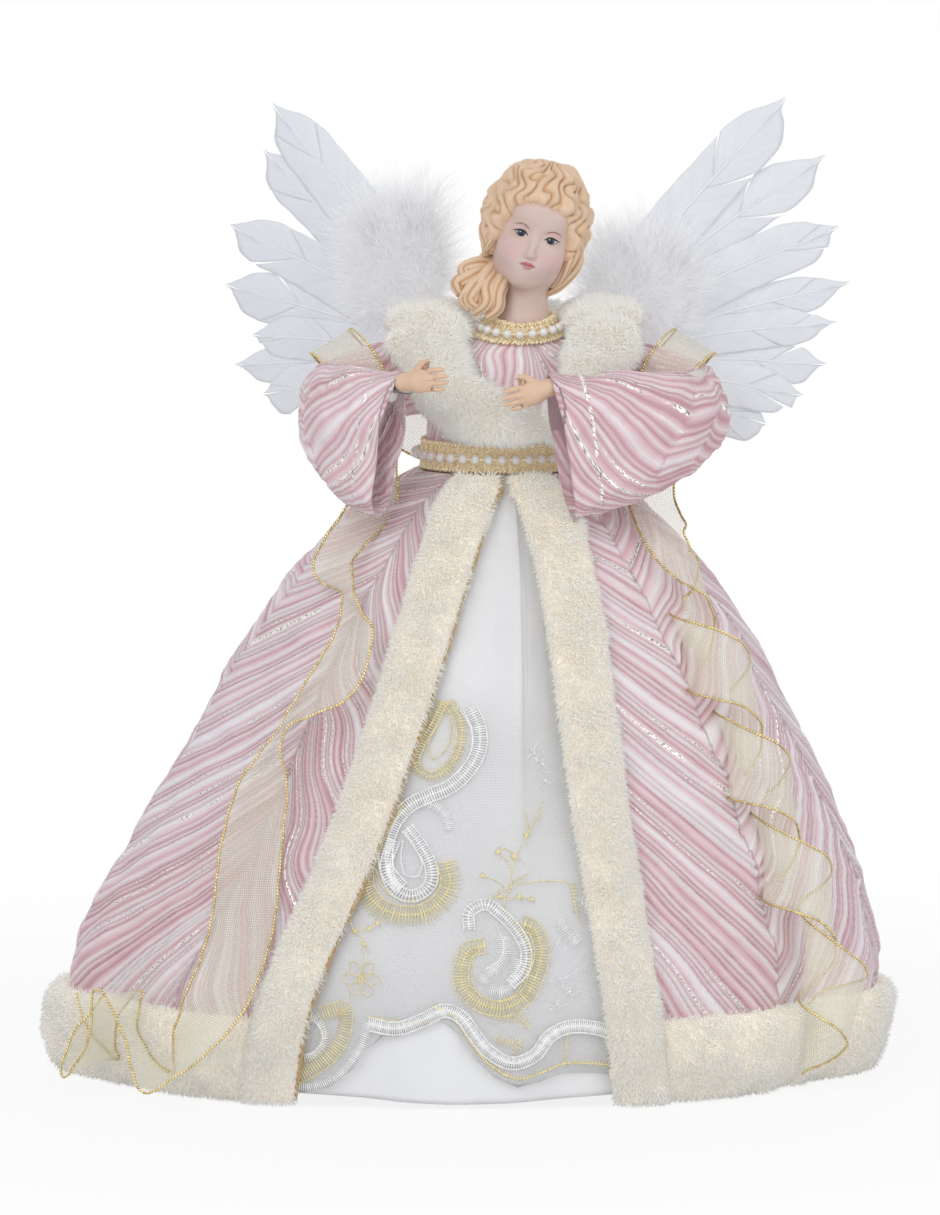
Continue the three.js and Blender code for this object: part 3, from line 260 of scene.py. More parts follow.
def hashed(values, salt):
    """A fixed random number from 0 to 1 for each whole value."""
    return np.modf(np.abs(np.sin(np.asarray(values, float) * 127.1 + salt * 311.7) * 43758.5453))[0]


def lumps(points, size, seed):
    """Smooth noise from -1 to 1 at points, from a few turned waves."""
    draw = np.random.default_rng(seed)
    total = np.zeros(points.shape[:-1])
    for _ in range(9):
        direction = unit(draw.normal(size=3)) * draw.uniform(0.6, 1.7) * 2 * np.pi / size
        total += np.sin(points @ direction + draw.uniform(0, 2 * np.pi))
    return total / 4.2


def store(mesh, key, values):
    """Keeps a value or a vector for each point of a mesh."""
    wide = np.ndim(values) == 2 and np.shape(values)[1] == 3
    layer = mesh.attributes.new(key, "FLOAT_VECTOR" if wide else "FLOAT", "POINT")
    layer.data.foreach_set("vector" if wide else "value", np.asarray(values, np.float32).ravel())


def points_of(mesh):
    """A mesh's points, in its own unit."""
    points = np.zeros(len(mesh.vertices) * 3, np.float32)
    mesh.vertices.foreach_get("co", points)
    return points.reshape(-1, 3)


def set_points(mesh, points):
    """Moves a mesh's points."""
    mesh.vertices.foreach_set("co", np.asarray(points, np.float32).ravel())
    mesh.update()


class Shape:
    """Collects points, faces and per-point values of one mesh, in millimetres."""

    def __init__(self):
        self.points, self.faces, self.values = [], [], []
        self.count = 0

    def add(self, points, faces, **values):
        """Adds a part; faces is a list of index arrays, one for each number of corners."""
        points = np.asarray(points, float).reshape(-1, 3)
        self.points.append(points)
        self.faces += [np.asarray(f, int) + self.count for f in faces if len(f)]
        self.values.append((len(points), values))
        self.count += len(points)
        return self

    def parts(self):
        """Points, faces and values of a shape of one part, to add to another shape."""
        return np.concatenate(self.points), self.faces, self.values[0][1]

    def mesh(self, name):
        """The mesh, in metres."""
        points = np.concatenate(self.points) * MM
        loops = np.concatenate([f.ravel() for f in self.faces])
        totals = np.concatenate([np.full(len(f), f.shape[1]) for f in self.faces])
        made = bpy.data.meshes.new(name)
        made.vertices.add(len(points))
        made.vertices.foreach_set("co", points.astype(np.float32).ravel())
        made.loops.add(len(loops))
        made.loops.foreach_set("vertex_index", loops.astype(np.int32))
        made.polygons.add(len(totals))
        starts = np.concatenate([[0], np.cumsum(totals)[:-1]])
        made.polygons.foreach_set("loop_start", starts.astype(np.int32))
        made.polygons.foreach_set("use_smooth", np.full(len(totals), True))
        made.update(calc_edges=True)
        for key in sorted({key for _, values in self.values for key in values}):
            parts = []
            for count, values in self.values:
                value = np.asarray(values.get(key, 0.0), float)
                parts.append(np.full((count, 1), value) if value.ndim == 0 else value.reshape(count, -1))
            wide = max(part.shape[1] for part in parts)
            store(made, key, np.concatenate([np.broadcast_to(p, (len(p), wide)) for p in parts]))
        made.validate()
        return made

    def closed(self, name):
        """The mesh with its faces turned outwards."""
        made = self.mesh(name)
        work = bmesh.new()
        work.from_mesh(made)
        bmesh.ops.recalc_face_normals(work, faces=work.faces)
        work.to_mesh(made)
        work.free()
        return made


def grid_faces(rows, columns, wrap=False):
    """Quads of a grid of points in rows; wrap joins the last column to the first."""
    index = np.arange(rows * columns).reshape(rows, columns)
    right = np.roll(index, -1, axis=1)
    if not wrap:
        index, right = index[:, :-1], right[:, :-1]
    return np.stack([index[:-1], right[:-1], right[1:], index[1:]], -1).reshape(-1, 4)


def slab(outer, inner, wrap=False, inside=None, **values):
    """A closed sheet from a fine outer grid and a coarser inner one.

    The outer grid's rows and columns are whole multiples of the inner one's. Columns run left to
    right seen from outside while rows run down. A value in inside is what the inner grid gets.
    """
    rows, columns = outer.shape[:2]
    low_rows, low_columns = inner.shape[:2]
    row_step = (rows - 1) // (low_rows - 1)
    column_step = columns // low_columns if wrap else (columns - 1) // (low_columns - 1)
    top = np.arange(rows * columns).reshape(rows, columns)
    base = rows * columns + np.arange(low_rows * low_columns).reshape(low_rows, low_columns)
    sheet = grid_faces(rows, columns, wrap)[:, ::-1]
    back = grid_faces(low_rows, low_columns, wrap) + rows * columns

    def rim(fine, coarse, step, closed):
        made = []
        for k in range(len(coarse) if closed else len(coarse) - 1):
            edge = [fine[(k * step + j) % len(fine)] for j in range(step + 1)]
            made.append(edge + [coarse[(k + 1) % len(coarse)], coarse[k]])
        return np.array(made)

    rims = [rim(top[0], base[0], column_step, wrap), rim(top[-1], base[-1], column_step, wrap)[:, ::-1]]
    if not wrap:
        rims.append(rim(top[:, 0], base[:, 0], row_step, False)[:, ::-1])
        rims.append(rim(top[:, -1], base[:, -1], row_step, False))
    filled = {}
    for key, value in values.items():
        if np.shape(value)[:2] != (rows, columns):
            value = np.broadcast_to(value, (rows, columns))
        coarse = value[::row_step, ::column_step][:low_rows, :low_columns]
        if inside and key in inside:
            coarse = np.full_like(coarse, inside[key])
        width = value.shape[2] if value.ndim == 3 else 1
        filled[key] = np.concatenate([value.reshape(-1, width), coarse.reshape(-1, width)])
    points = np.concatenate([outer.reshape(-1, 3), inner.reshape(-1, 3)])
    return Shape().add(points, [sheet, back, *rims], **filled)


def capped_rings(ring, ends):
    """Points and faces of a closed tube from its rings and its two end points."""
    count, sides = ring.shape[:2]
    points = np.concatenate([ring.reshape(-1, 3), ends])
    index = np.arange(count * sides).reshape(count, sides)
    start = np.stack([np.full(sides, count * sides), np.roll(index[0], -1), index[0]], -1)
    end = np.stack([np.full(sides, count * sides + 1), index[-1], np.roll(index[-1], -1)], -1)
    return points, [grid_faces(count, sides, True), start, end]


def tube(path, radii, sides=6, flatten=1.0, first=(0, 0, 1), twist=0.0):
    """Points and faces of a closed tube along a path; radii and twist may change along it."""
    path = np.asarray(path, float)
    side, up = frames_along(path, first)
    radii, twist = (np.broadcast_to(np.asarray(v, float), len(path))[:, None] for v in (radii, twist))
    turns = turns_of(sides)[None, :] + twist
    ring = path[:, None] + side[:, None] * (np.cos(turns) * radii)[..., None]
    ring = ring + up[:, None] * (np.sin(turns) * radii * flatten)[..., None]
    return capped_rings(ring, path[[0, -1]])


def ring_tube(path, radius, sides):
    """Points and faces of a tube along a closed path."""
    ahead = unit(np.roll(path, -1, axis=0) - np.roll(path, 1, axis=0))
    out = unit(path - path.mean(axis=0))
    out = unit(out - ahead * (out * ahead).sum(1, keepdims=True))
    up = np.cross(ahead, out)
    turns = turns_of(sides)[None, :, None]
    ring = path[:, None] + radius * (out[:, None] * np.cos(turns) + up[:, None] * np.sin(turns))
    faces = grid_faces(len(path) + 1, sides, True) % (len(path) * sides)
    return ring.reshape(-1, 3), [faces]


def put(name, mesh, material, body, nodes=(), slot=None):
    """A finished object from a mesh: its material, body and replaced nodes; slot is not used."""
    made = bpy.data.objects.new(name, mesh)
    bpy.context.scene.collection.objects.link(made)
    if material is not None:
        mesh.materials.clear()
        mesh.materials.append(material)
    if body is not None:
        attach(made, body)
    if nodes:
        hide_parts(*nodes)
    return made


def evaluated(name, mesh, kind, prepare):
    """The plain mesh that one modifier makes of a mesh; prepare sets the modifier up."""
    holder = bpy.data.objects.new(name + "_base", mesh)
    bpy.context.scene.collection.objects.link(holder)
    modifier = holder.modifiers.new(kind, kind)
    prepare(modifier)
    graph = bpy.context.evaluated_depsgraph_get()
    made = bpy.data.meshes.new_from_object(holder.evaluated_get(graph), depsgraph=graph)
    made.name = name
    holder.modifiers.remove(modifier)
    bpy.data.objects.remove(holder)
    bpy.data.meshes.remove(mesh)
    if len(made.polygons) == 0:
        raise RuntimeError(f"{name} came out empty")
    made.polygons.foreach_set("use_smooth", np.full(len(made.polygons), True))
    return made


def colour(name, text, value):
    """A colour property with its default."""
    settings = {"subtype": "COLOR", "size": 3, "min": 0, "max": 1}
    return FloatVectorProperty(name=name, description=text, default=value, **settings)


def measure(name, text, value, low):
    """A length property with its default and its least value, in metres."""
    return FloatProperty(name=name, description=text, default=value, min=low, unit="LENGTH")


def amount(name, text, value):
    """A property that counts pieces, at least three."""
    return IntProperty(name=name, description=text, default=value, min=3)


class AngelColours(PropertyGroup):
    """Colours of the angel's finishes, as linear values."""

    brocade_pink: colour("Brocade pink", "Main colour of the brocade's ridges", (0.79, 0.55, 0.59))
    brocade_pale: colour("Brocade pale", "Palest colour of the brocade's ridges", (0.91, 0.86, 0.89))
    # The deep colour comes up at random and in the valleys, where it is painted shade
    brocade_deep: colour("Brocade deep", "Colour in the brocade's valleys", (0.6, 0.35, 0.38))
    silver: colour("Silver thread", "Broken silver lines in the brocade", (0.92, 0.9, 0.88))
    plush: colour("Plush", "Tips of the plush pile", (0.91, 0.9, 0.86))
    # Colour at the roots of the pile: painted shade
    plush_deep: colour("Plush depth", "Roots of the plush pile", (0.87, 0.8, 0.69))
    satin: colour("Satin", "White satin of the underskirt", (0.94, 0.94, 0.95))
    organza: colour("Organza", "Sheer cloth of the apron", (0.85, 0.845, 0.84))
    gold: colour("Gold", "Metal thread of the trim", (0.75, 0.6, 0.28))
    gold_silk: colour("Gold silk", "Embroidery thread", (0.8, 0.7, 0.38))
    ribbon: colour("Ribbon", "Sheer mesh of the ribbon", (0.96, 0.93, 0.76))
    pearl: colour("Pearl", "Beads of both strings", (0.82, 0.81, 0.79))
    skin: colour("Face", "Painted bisque of the face", (0.71, 0.56, 0.51))
    blush: colour("Blush", "Pink on the cheeks", (0.72, 0.4, 0.43))
    lips: colour("Lips", "Painted lips", (0.6, 0.17, 0.17))
    hand: colour("Hands", "Painted bisque of the hands", (0.78, 0.55, 0.39))
    hair: colour("Hair", "Moulded blond hair", (0.76, 0.54, 0.345))
    # Painted shade in the hair's hollows
    hair_deep: colour("Hair depth", "Paint in the hair's grooves", (0.6, 0.34, 0.18))
    feather: colour("Feather", "Vanes of the wings", (0.715, 0.735, 0.765))
    plastic: colour("Plastic", "Inner cone", (0.74, 0.74, 0.79))


class AngelSizes(PropertyGroup):
    """Sizes of the angel's finishes."""

    ridge_pitch: measure("Ridge pitch", "Distance between the brocade's ridges", 0.0046, 0.001)
    ridge_height: measure("Ridge height", "Height of the brocade's ridges", 0.0012, 0)
    pile_length: measure("Pile length", "Length of the plush pile", 0.003, 0.001)
    pile_radius: measure("Pile radius", "Radius of one tuft of the pile at its root", 0.00031, 0.0001)
    down_length: measure("Down length", "Length of the strands of down", 0.016, 0.002)
    ribbon_wire: measure("Ribbon wire", "Radius of the ribbon's wired edge", 0.00042, 0.0001)
    stitch_radius: measure("Stitch radius", "Radius of an embroidery stitch", 0.0002, 0.00005)
    waist_pearls: amount("Waist pearls", "Pearls round the waist", 40)
    neck_pearls: amount("Neck pearls", "Pearls round the neck", 24)


def colours():
    """The scene's colours."""
    return bpy.context.scene.angel_colours


def sizes():
    """The scene's sizes."""
    return bpy.context.scene.angel_sizes


class Value:
    """A node's output; arithmetic on it adds Math nodes to the same tree."""

    def __init__(self, socket):
        self.socket = socket
        self.tree = socket.id_data

    def at(self, key):
        """Another output of the same node."""
        return Value(self.socket.node.outputs[key])

    def __add__(self, other):
        return calc("ADD", self, other)

    def __sub__(self, other):
        return calc("SUBTRACT", self, other)

    def __rsub__(self, other):
        return calc("SUBTRACT", other, self)

    def __mul__(self, other):
        return calc("MULTIPLY", self, other)

    def __truediv__(self, other):
        return calc("DIVIDE", self, other)

    def __pow__(self, other):
        return calc("POWER", self, other)

    def __abs__(self):
        return calc("ABSOLUTE", self)


def wire(tree, kind, inputs=None, out=0, **settings):
    """A new node's output, with its settings made and its inputs set or linked to other values."""
    made = tree.nodes.new(kind)
    for key, value in settings.items():
        setattr(made, key, value)
    for key, value in (inputs or {}).items():
        connect(value, made.inputs[key])
    return Value(made.outputs[out]) if len(made.outputs) else None


def connect(value, socket):
    """Links a node's output to an input socket, or sets a plain value on it."""
    if isinstance(value, Value):
        value.tree.links.new(value.socket, socket)
    else:
        socket.default_value = value


def tree_of(*values):
    """The node tree of the first of some values that has one."""
    return next(value.tree for value in values if isinstance(value, Value))


def calc(operation, a, b=0.0, clamp=False):
    """A Math node's result."""
    return wire(tree_of(a, b), "ShaderNodeMath", {0: a, 1: b}, operation=operation, use_clamp=clamp)


def fade(value, low, high, from_low=0.0, from_high=1.0):
    """A value carried smoothly from low..high to another range, clamped."""
    inputs = {0: value, 1: low, 2: high, 3: from_low, 4: from_high}
    return wire(value.tree, "ShaderNodeMapRange", inputs, interpolation_type="SMOOTHSTEP")


def ramp(factor, *stops):
    """A colour ramp's colour; stops are (position, colour)."""
    made = wire(factor.tree, "ShaderNodeValToRGB", {0: factor})
    band = made.socket.node.color_ramp.elements
    while len(band) < len(stops):
        band.new(0.5)
    for element, (position, tone) in zip(band, stops):
        element.position = position
        element.color = tone
    return made


def blend(factor, a, b):
    """A mix of two colours."""
    return wire(factor.tree, "ShaderNodeMix", {0: factor, 6: a, 7: b}, 2, data_type="RGBA")


def noise(vector, scale=1.0, detail=2.0, roughness=0.5):
    """A noise texture's value."""
    inputs = {"Vector": vector, "Scale": scale, "Detail": detail, "Roughness": roughness}
    return wire(vector.tree, "ShaderNodeTexNoise", inputs, "Fac")


def picked(vector):
    """A random number from 0 to 1 for each pair of whole values."""
    return wire(vector.tree, "ShaderNodeTexWhiteNoise", {"Vector": vector}, noise_dimensions="2D")


def attributes(tree, *names):
    """Values of point attributes."""
    return [wire(tree, "ShaderNodeAttribute", out="Fac", attribute_name=name) for name in names]


def object_place(tree):
    """Object coordinates, in metres."""
    return wire(tree, "ShaderNodeTexCoord", out="Object")


def vector_of(x, y, z=0.0):
    """A vector from three values."""
    return wire(tree_of(x, y, z), "ShaderNodeCombineXYZ", {0: x, 1: y, 2: z})


def bump(height, distance, strength):
    """A bumped normal; distance in millimetres."""
    inputs = {"Strength": strength, "Distance": distance * MM, "Height": height}
    return wire(height.tree, "ShaderNodeBump", inputs)


def grouped(tree, name, build, places, outputs, **inputs):
    """Outputs of a shader node group that build makes once, placed in a tree with its inputs."""
    group = bpy.data.node_groups.get(name)
    if group is None:
        group = bpy.data.node_groups.new(name, "ShaderNodeTree")
        for label in inputs:
            kind = "NodeSocketVector" if label in places else "NodeSocketFloat"
            group.interface.new_socket(name=label, in_out="INPUT", socket_type=kind)
        for label in outputs:
            group.interface.new_socket(name=label, in_out="OUTPUT", socket_type="NodeSocketFloat")
        entry = group.nodes.new("NodeGroupInput")
        leave = group.nodes.new("NodeGroupOutput")
        results = build(*(Value(entry.outputs[label]) for label in inputs))
        for label, result in zip(outputs, results):
            connect(result, leave.inputs[label])
    placed = wire(tree, "ShaderNodeGroup", node_tree=group)
    for label, value in inputs.items():
        connect(value, placed.socket.node.inputs[label])
    return [placed.at(label) for label in outputs]


def mottle(tree, scale):
    """Broad cloud for colour and fine grain over a surface."""

    def build(place, scale):
        broad = noise(place, scale, 3.0, 0.55)
        return fade(broad, 0.3, 0.7), noise(place, scale * 11.0, 2.0, 0.6)

    inputs = {"Place": object_place(tree), "Scale": scale}
    return grouped(tree, "mottle", build, ["Place"], ["Cloud", "Grain"], **inputs)


def weave(tree, pitch):
    """Height and cover of a plain weave of threads over and under each other; reads u and v."""

    def build(place, pitch):
        split = wire(place.tree, "ShaderNodeSeparateXYZ", {0: place})
        warp, weft = (calc("COSINE", split.at(k) / pitch * TURN) for k in range(2))
        height = calc("MAXIMUM", warp, weft)
        return height + warp * weft * 0.4, fade(height, -0.4, 0.5)

    place = vector_of(*attributes(tree, "u", "v"))
    return grouped(tree, "weave", build, ["Place"], ["Height", "Thread"], Place=place, Pitch=pitch)


def twine(tree, along, around, pitch):
    """Height and sparkle of twisted thread: slanting plies with a low furrow between them; the gold thread
    paints shade into the furrow and glints onto the plies.
    """

    def build(along, around, pitch):
        slant = along / pitch + around
        peak = abs(calc("FRACT", slant) * 2.0 - 1.0)
        return 1.0 - peak**2.0, picked(vector_of(calc("FLOOR", slant), calc("FLOOR", around)))

    inputs = {"Along": along, "Around": around, "Pitch": pitch}
    return grouped(tree, "twine", build, [], ["Height", "Sparkle"], **inputs)


def shade(tone, tint=1.0, most=1.0):
    """A colour property, or a plain colour, times a tint and at most a level, with full alpha."""
    tone = getattr(colours(), tone) if isinstance(tone, str) else tone
    return (*np.minimum(np.array(tone)[:3] * tint, most), 1.0)


def between(a, b, share):
    """A colour a share of the way from one colour to another."""
    return shade(mix(np.array(shade(a)), np.array(shade(b)), share))


def rough_grain(grain, low, high):
    """A roughness that follows the fine grain."""
    return fade(grain, 0.2, 0.8, low, high)


def finish(build):
    """Turns a builder of shader inputs into a function that gives its material, made once.

    The material has the builder's own name, or the name that is given first. The builder gives
    each input of the shader by its name, as a node's output to link or as a plain value.
    """

    def material(name=build.__name__, *settings):
        found = bpy.data.materials.get(name + "_finish")
        if found is not None:
            return found
        made = bpy.data.materials.new(name + "_finish")
        made.use_nodes = True
        tree = made.node_tree
        tree.nodes.clear()
        shader = wire(tree, "ShaderNodeBsdfPrincipled")
        wire(tree, "ShaderNodeOutputMaterial", {0: shader})
        base, rough, more = build(tree, *settings)
        for key, value in {"Base Color": base, "Roughness": rough, **more}.items():
            connect(value, shader.socket.node.inputs[key])
        return made

    return material


@finish
def brocade(tree):
    """Ridged pink brocade with broken silver lines; reads ridge, along, band, tone and trim. Its valleys get
    painted shade, and tone adds painted shade to the sleeves.
    """
    ridge, along, band, tone, trim = attributes(tree, "ridge", "along", "band", "tone", "trim")
    number = calc("FLOOR", ridge)
    crest = abs(calc("FRACT", ridge) * 2.0 - 1.0)
    chance = picked(vector_of(number, band))
    second = calc("FRACT", chance * 7.31)
    thread = noise(vector_of(ridge * 2.6, along * 0.045, band), 1.0, 3.0, 0.6)
    # crest is 1 in the valleys, so its term paints shade there
    level = thread * 0.55 - 0.44 + chance * 0.6 + crest * 0.6 + tone
    pale, pink, deep = shade("brocade_pale"), shade("brocade_pink"), shade("brocade_deep")
    base = ramp(level, (0.05, pale), (0.32, between(pale, pink, 0.42)), (0.62, pink), (0.95, deep))
    broken = noise(vector_of(number * 5.7, along * 0.03, band), 1.0, 1.0)
    ragged = noise(vector_of(ridge * 9.0, along, band), 0.9, 1.0)
    narrow = fade(crest + ragged * 0.5, 0.48, 0.62, 1.0, 0.0)
    lines = calc("GREATER_THAN", second, 0.77) * fade(broken, 0.46, 0.52) * narrow
    dashes = fade(noise(object_place(tree), 330.0, 1.0), 0.43, 0.5)
    metal = calc("MAXIMUM", lines, fade(trim, 0.35, 0.6) * dashes)
    flakes = noise(vector_of(ridge * 8.0, along * 0.9, band), 1.0, 1.0)
    foil = blend(fade(flakes, 0.43, 0.52), (0.34, 0.29, 0.27, 1), shade("silver"))
    crinkle = noise(vector_of(ridge * 1.6, along * 0.85, band), 1.0, 3.0, 0.65)
    yarn = calc("SINE", ridge * (8 * math.pi))
    height = crinkle * 1.1 + yarn * 0.12 - crest * 0.7
    more = {"Metallic": metal, "Normal": bump(height, 0.42, 0.8)}
    more |= {"Sheen Weight": 0.25, "Sheen Roughness": 0.4, "Specular IOR Level": 0.35}
    return blend(metal, base, foil), fade(metal, 0.0, 1.0, 0.62, 0.3), more


@finish
def plush(tree):
    """Cream plush pile: painted shade darkens it towards the roots, it is pale at the tips, and it glows
    faintly as painted light; reads tip and tuft.
    """
    tip, tuft = attributes(tree, "tip", "tuft")
    cloud, grain = mottle(tree, 55.0)
    # Towards the roots the pile is painted darker: painted shade
    level = tip * 0.75 + tuft * 0.25 + (cloud * 0.12 - 0.04)
    pale, deep = shade("plush"), shade("plush_deep")
    base = ramp(level, (0.0, deep), (0.4, between(deep, pale, 0.72)), (0.85, pale))
    # The glow is painted light that lifts the shade in the pile
    more = {"Emission Color": base, "Emission Strength": 0.2}
    more |= {"Sheen Weight": 0.35, "Sheen Roughness": 0.6, "Specular IOR Level": 0.1}
    return base, rough_grain(grain, 0.82, 0.98), more


@finish
def satin(tree):
    """White satin with fine warp lines; reads u and v, in millimetres, and edge, which greys the tucked-under
    panel as painted shade.
    """
    cloud, grain = mottle(tree, 30.0)
    height, _ = weave(tree, 0.45)
    base = blend(cloud, shade("satin", (0.95, 0.95, 0.96)), shade("satin"))
    # Grey on the panel tucked under: painted shade
    base = blend(attributes(tree, "edge")[0], base, (0.76, 0.75, 0.74, 1))
    more = {"Normal": bump(height * 0.15 + grain * 0.4, 0.08, 0.5)}
    more |= {"Sheen Weight": 0.3, "Sheen Roughness": 0.3, "Specular IOR Level": 0.5}
    return base, rough_grain(grain, 0.3, 0.42), more


@finish
def organza(tree):
    """Sheer white organza: threads with small gaps; reads u and v, in millimetres, and edge."""
    cloud, grain = mottle(tree, 34.0)
    height, thread = weave(tree, 0.55)
    base = blend(cloud, shade("organza", (0.93, 0.93, 0.95)), shade("organza"))
    cover = thread * 0.06 + 0.22 + cloud * 0.06
    cover = calc("ADD", cover, attributes(tree, "edge")[0] * 0.5, clamp=True)
    more = {"Alpha": cover, "Normal": bump(height, 0.03, 0.5)}
    more |= {"Sheen Weight": 0.2, "Specular IOR Level": 0.4}
    return base, rough_grain(grain, 0.45, 0.6), more


@finish
def ribbon_mesh(tree):
    """Sheer gold ribbon with a fine open mesh; reads u and v, in millimetres."""
    cloud, grain = mottle(tree, 40.0)
    height, thread = weave(tree, 0.8)
    base = blend(cloud, shade("ribbon"), between("ribbon", (0.95, 0.93, 0.8), 0.55))
    more = {"Alpha": thread * 0.22 + 0.08, "Normal": bump(height, 0.06, 0.8)}
    more |= {"Sheen Weight": 0.2, "Specular IOR Level": 0.6}
    return base, rough_grain(grain, 0.32, 0.5), more


@finish
def metal_thread(tree, pitch, paler=0.0):
    """Twisted gold thread with painted shade between its plies, painted glints on some ply crests and a faint
    glow of painted light; reads along, in millimetres, and around, in turns.
    """
    height, spark = twine(tree, *attributes(tree, "along", "around"), pitch)
    gold = between("gold", (0.95, 0.78, 0.57), paler)
    # Painted shade in the furrows between plies, and painted glints where sparkle is high on a crest
    dark, pale = shade(gold, mix(0.42, 0.85, paler)), shade(gold, 1.22, 0.95)
    base = ramp(height * (spark * 0.7 + 0.3), (0.0, dark), (0.45, gold), (1.0, pale))
    metal = fade(height, 0.0, 0.6, mix(0.55, 0.05, paler), mix(0.8, 0.2, paler))
    more = {"Metallic": metal, "Normal": bump(height, 0.2, 0.9)}
    # With paler above 0 the thread glows faintly: painted light
    more |= {"Emission Color": base, "Emission Strength": 0.16 * paler}
    return base, fade(spark, 0.0, 1.0, 0.42, 0.2), more


@finish
def silk_thread(tree, tone, metal):
    """Embroidery thread with fine plies, glowing faintly as painted light; reads along and tuft."""
    along, tuft = attributes(tree, "along", "tuft")
    height, spark = twine(tree, along, tuft, 0.35)
    base = ramp(tuft, (0.0, shade(tone, 0.82)), (1.0, shade(tone, 1.12, 0.95)))
    more = {"Metallic": metal, "Normal": bump(height, 0.06, 0.6)}
    # Emission is painted light that brightens the stitches' shade
    more |= {"Emission Color": base, "Emission Strength": 0.12}
    more |= {"Sheen Weight": 0.2, "Specular IOR Level": 0.5}
    return base, fade(spark, 0.0, 1.0, 0.5, 0.32), more


@finish
def pearl(tree):
    """Pearl beads: cream with a soft pink cloud and a glossy coat."""
    cloud, grain = mottle(tree, 260.0)
    base = blend(cloud, shade("pearl"), (0.78, 0.74, 0.7, 1))
    more = {"Coat Weight": 1.0, "Coat Roughness": 0.04, "Specular IOR Level": 0.6}
    return base, rough_grain(grain, 0.08, 0.16), more


@finish
def bisque(tree, tone, blush=None):
    """Painted bisque: matte, faintly mottled, with painted shade in its creases; the face also reads blush.
    """
    cloud, grain = mottle(tree, 90.0)
    base = blend(cloud, shade(tone, (0.93, 0.9, 0.88)), shade(tone))
    if blush is not None:
        base = blend(attributes(tree, "blush")[0], base, shade(blush))
    # Painted shade darkens the creases and the gaps between fingers
    base = blend(attributes(tree, "groove")[0], base, shade(tone, (0.68, 0.5, 0.45)))
    more = {"Normal": bump(grain, 0.05, 0.35), "Specular IOR Level": 0.35}
    return base, rough_grain(grain, 0.48, 0.62), more


@finish
def paint(tree, tone, gloss):
    """Brushed paint for eyes, brows and lips."""
    cloud, grain = mottle(tree, 420.0)
    return blend(cloud, shade(tone, 0.8), shade(tone)), rough_grain(grain, gloss, gloss + 0.12), {}


@finish
def moulded_hair(tree):
    """Moulded blond hair with painted shade in its hollows and a painted highlight on the lock crests; reads
    groove, around, along and tuft.
    """
    cloud, grain = mottle(tree, 120.0)
    groove, around, along, tuft = attributes(tree, "groove", "around", "along", "tuft")
    strands = noise(vector_of(around * 16.0, along * 0.12, tuft))
    level = groove + (strands * 0.5 - 0.25) + (cloud * 0.16 - 0.08)
    # The paler lock crests are a painted highlight, and the deep colour in the hollows is painted shade
    pale = shade("hair", (1.08, 1.12, 1.25), 0.9)
    base = ramp(level, (0.0, pale), (0.35, shade("hair")), (0.95, shade("hair_deep")))
    more = {"Normal": bump(strands + grain * 0.15, 0.3, 0.6), "Specular IOR Level": 0.35}
    return base, rough_grain(grain, 0.5, 0.66), more


@finish
def feather(tree):
    """Goose feather: pale vane with slanting barbs, glowing faintly as painted light that softens its
    shadows; reads barb, edge, tip and quill.
    """
    barb, edge, tip, quill = attributes(tree, "barb", "edge", "tip", "quill")
    cloud, grain = mottle(tree, 60.0)
    streak = noise(vector_of(barb * 0.35, edge, tip))
    level = streak * 0.9 + cloud * 0.25
    base = ramp(level, (0.2, shade("feather", (0.92, 0.93, 0.94))), (0.8, shade("feather")))
    base = blend(quill, base, (0.74, 0.75, 0.77, 1))
    height = calc("SINE", barb * TURN) * 0.5 + streak * 0.8
    # Emission here is painted light that softens the shadows between feathers
    more = {"Normal": bump(height, 0.04, 0.6), "Emission Color": base, "Emission Strength": 0.15}
    more |= {"Sheen Weight": 0.3, "Sheen Roughness": 0.4, "Specular IOR Level": 0.3}
    return base, rough_grain(grain, 0.5, 0.66), more


@finish
def down(tree):
    """White down: painted shade greys the strands towards their roots, and they glow faintly as painted
    light; reads tip and tuft.
    """
    tip, tuft = attributes(tree, "tip", "tuft")
    cloud, grain = mottle(tree, 45.0)
    # The grey at the roots is painted shade
    root_shade_grey, soft, white = (0.7, 0.69, 0.7, 1), (0.79, 0.79, 0.81, 1), (0.86, 0.86, 0.86, 1)
    base = ramp(tip * 0.6 + tuft * 0.3 + cloud * 0.2, (0.0, root_shade_grey), (0.6, soft), (1.0, white))
    # The glow is painted light that lifts the shade among the strands
    more = {"Emission Color": base, "Emission Strength": 0.3}
    more |= {"Sheen Weight": 0.4, "Sheen Roughness": 0.5, "Specular IOR Level": 0.1}
    return base, rough_grain(grain, 0.8, 0.95), more


@finish
def plain_body(tree, tone, rough, scale, depth, metal=0.0):
    """Moulded plastic, foam, felt or bare wire: a cloudy colour with a fine grain."""
    cloud, grain = mottle(tree, scale)
    more = {"Normal": bump(grain, depth, 0.6), "Metallic": metal}
    return blend(cloud, shade(tone, 0.88), shade(tone)), rough_grain(grain, *rough), more


SOCKETS = {float: "NodeSocketFloat", int: "NodeSocketInt", None: "NodeSocketMaterial"}


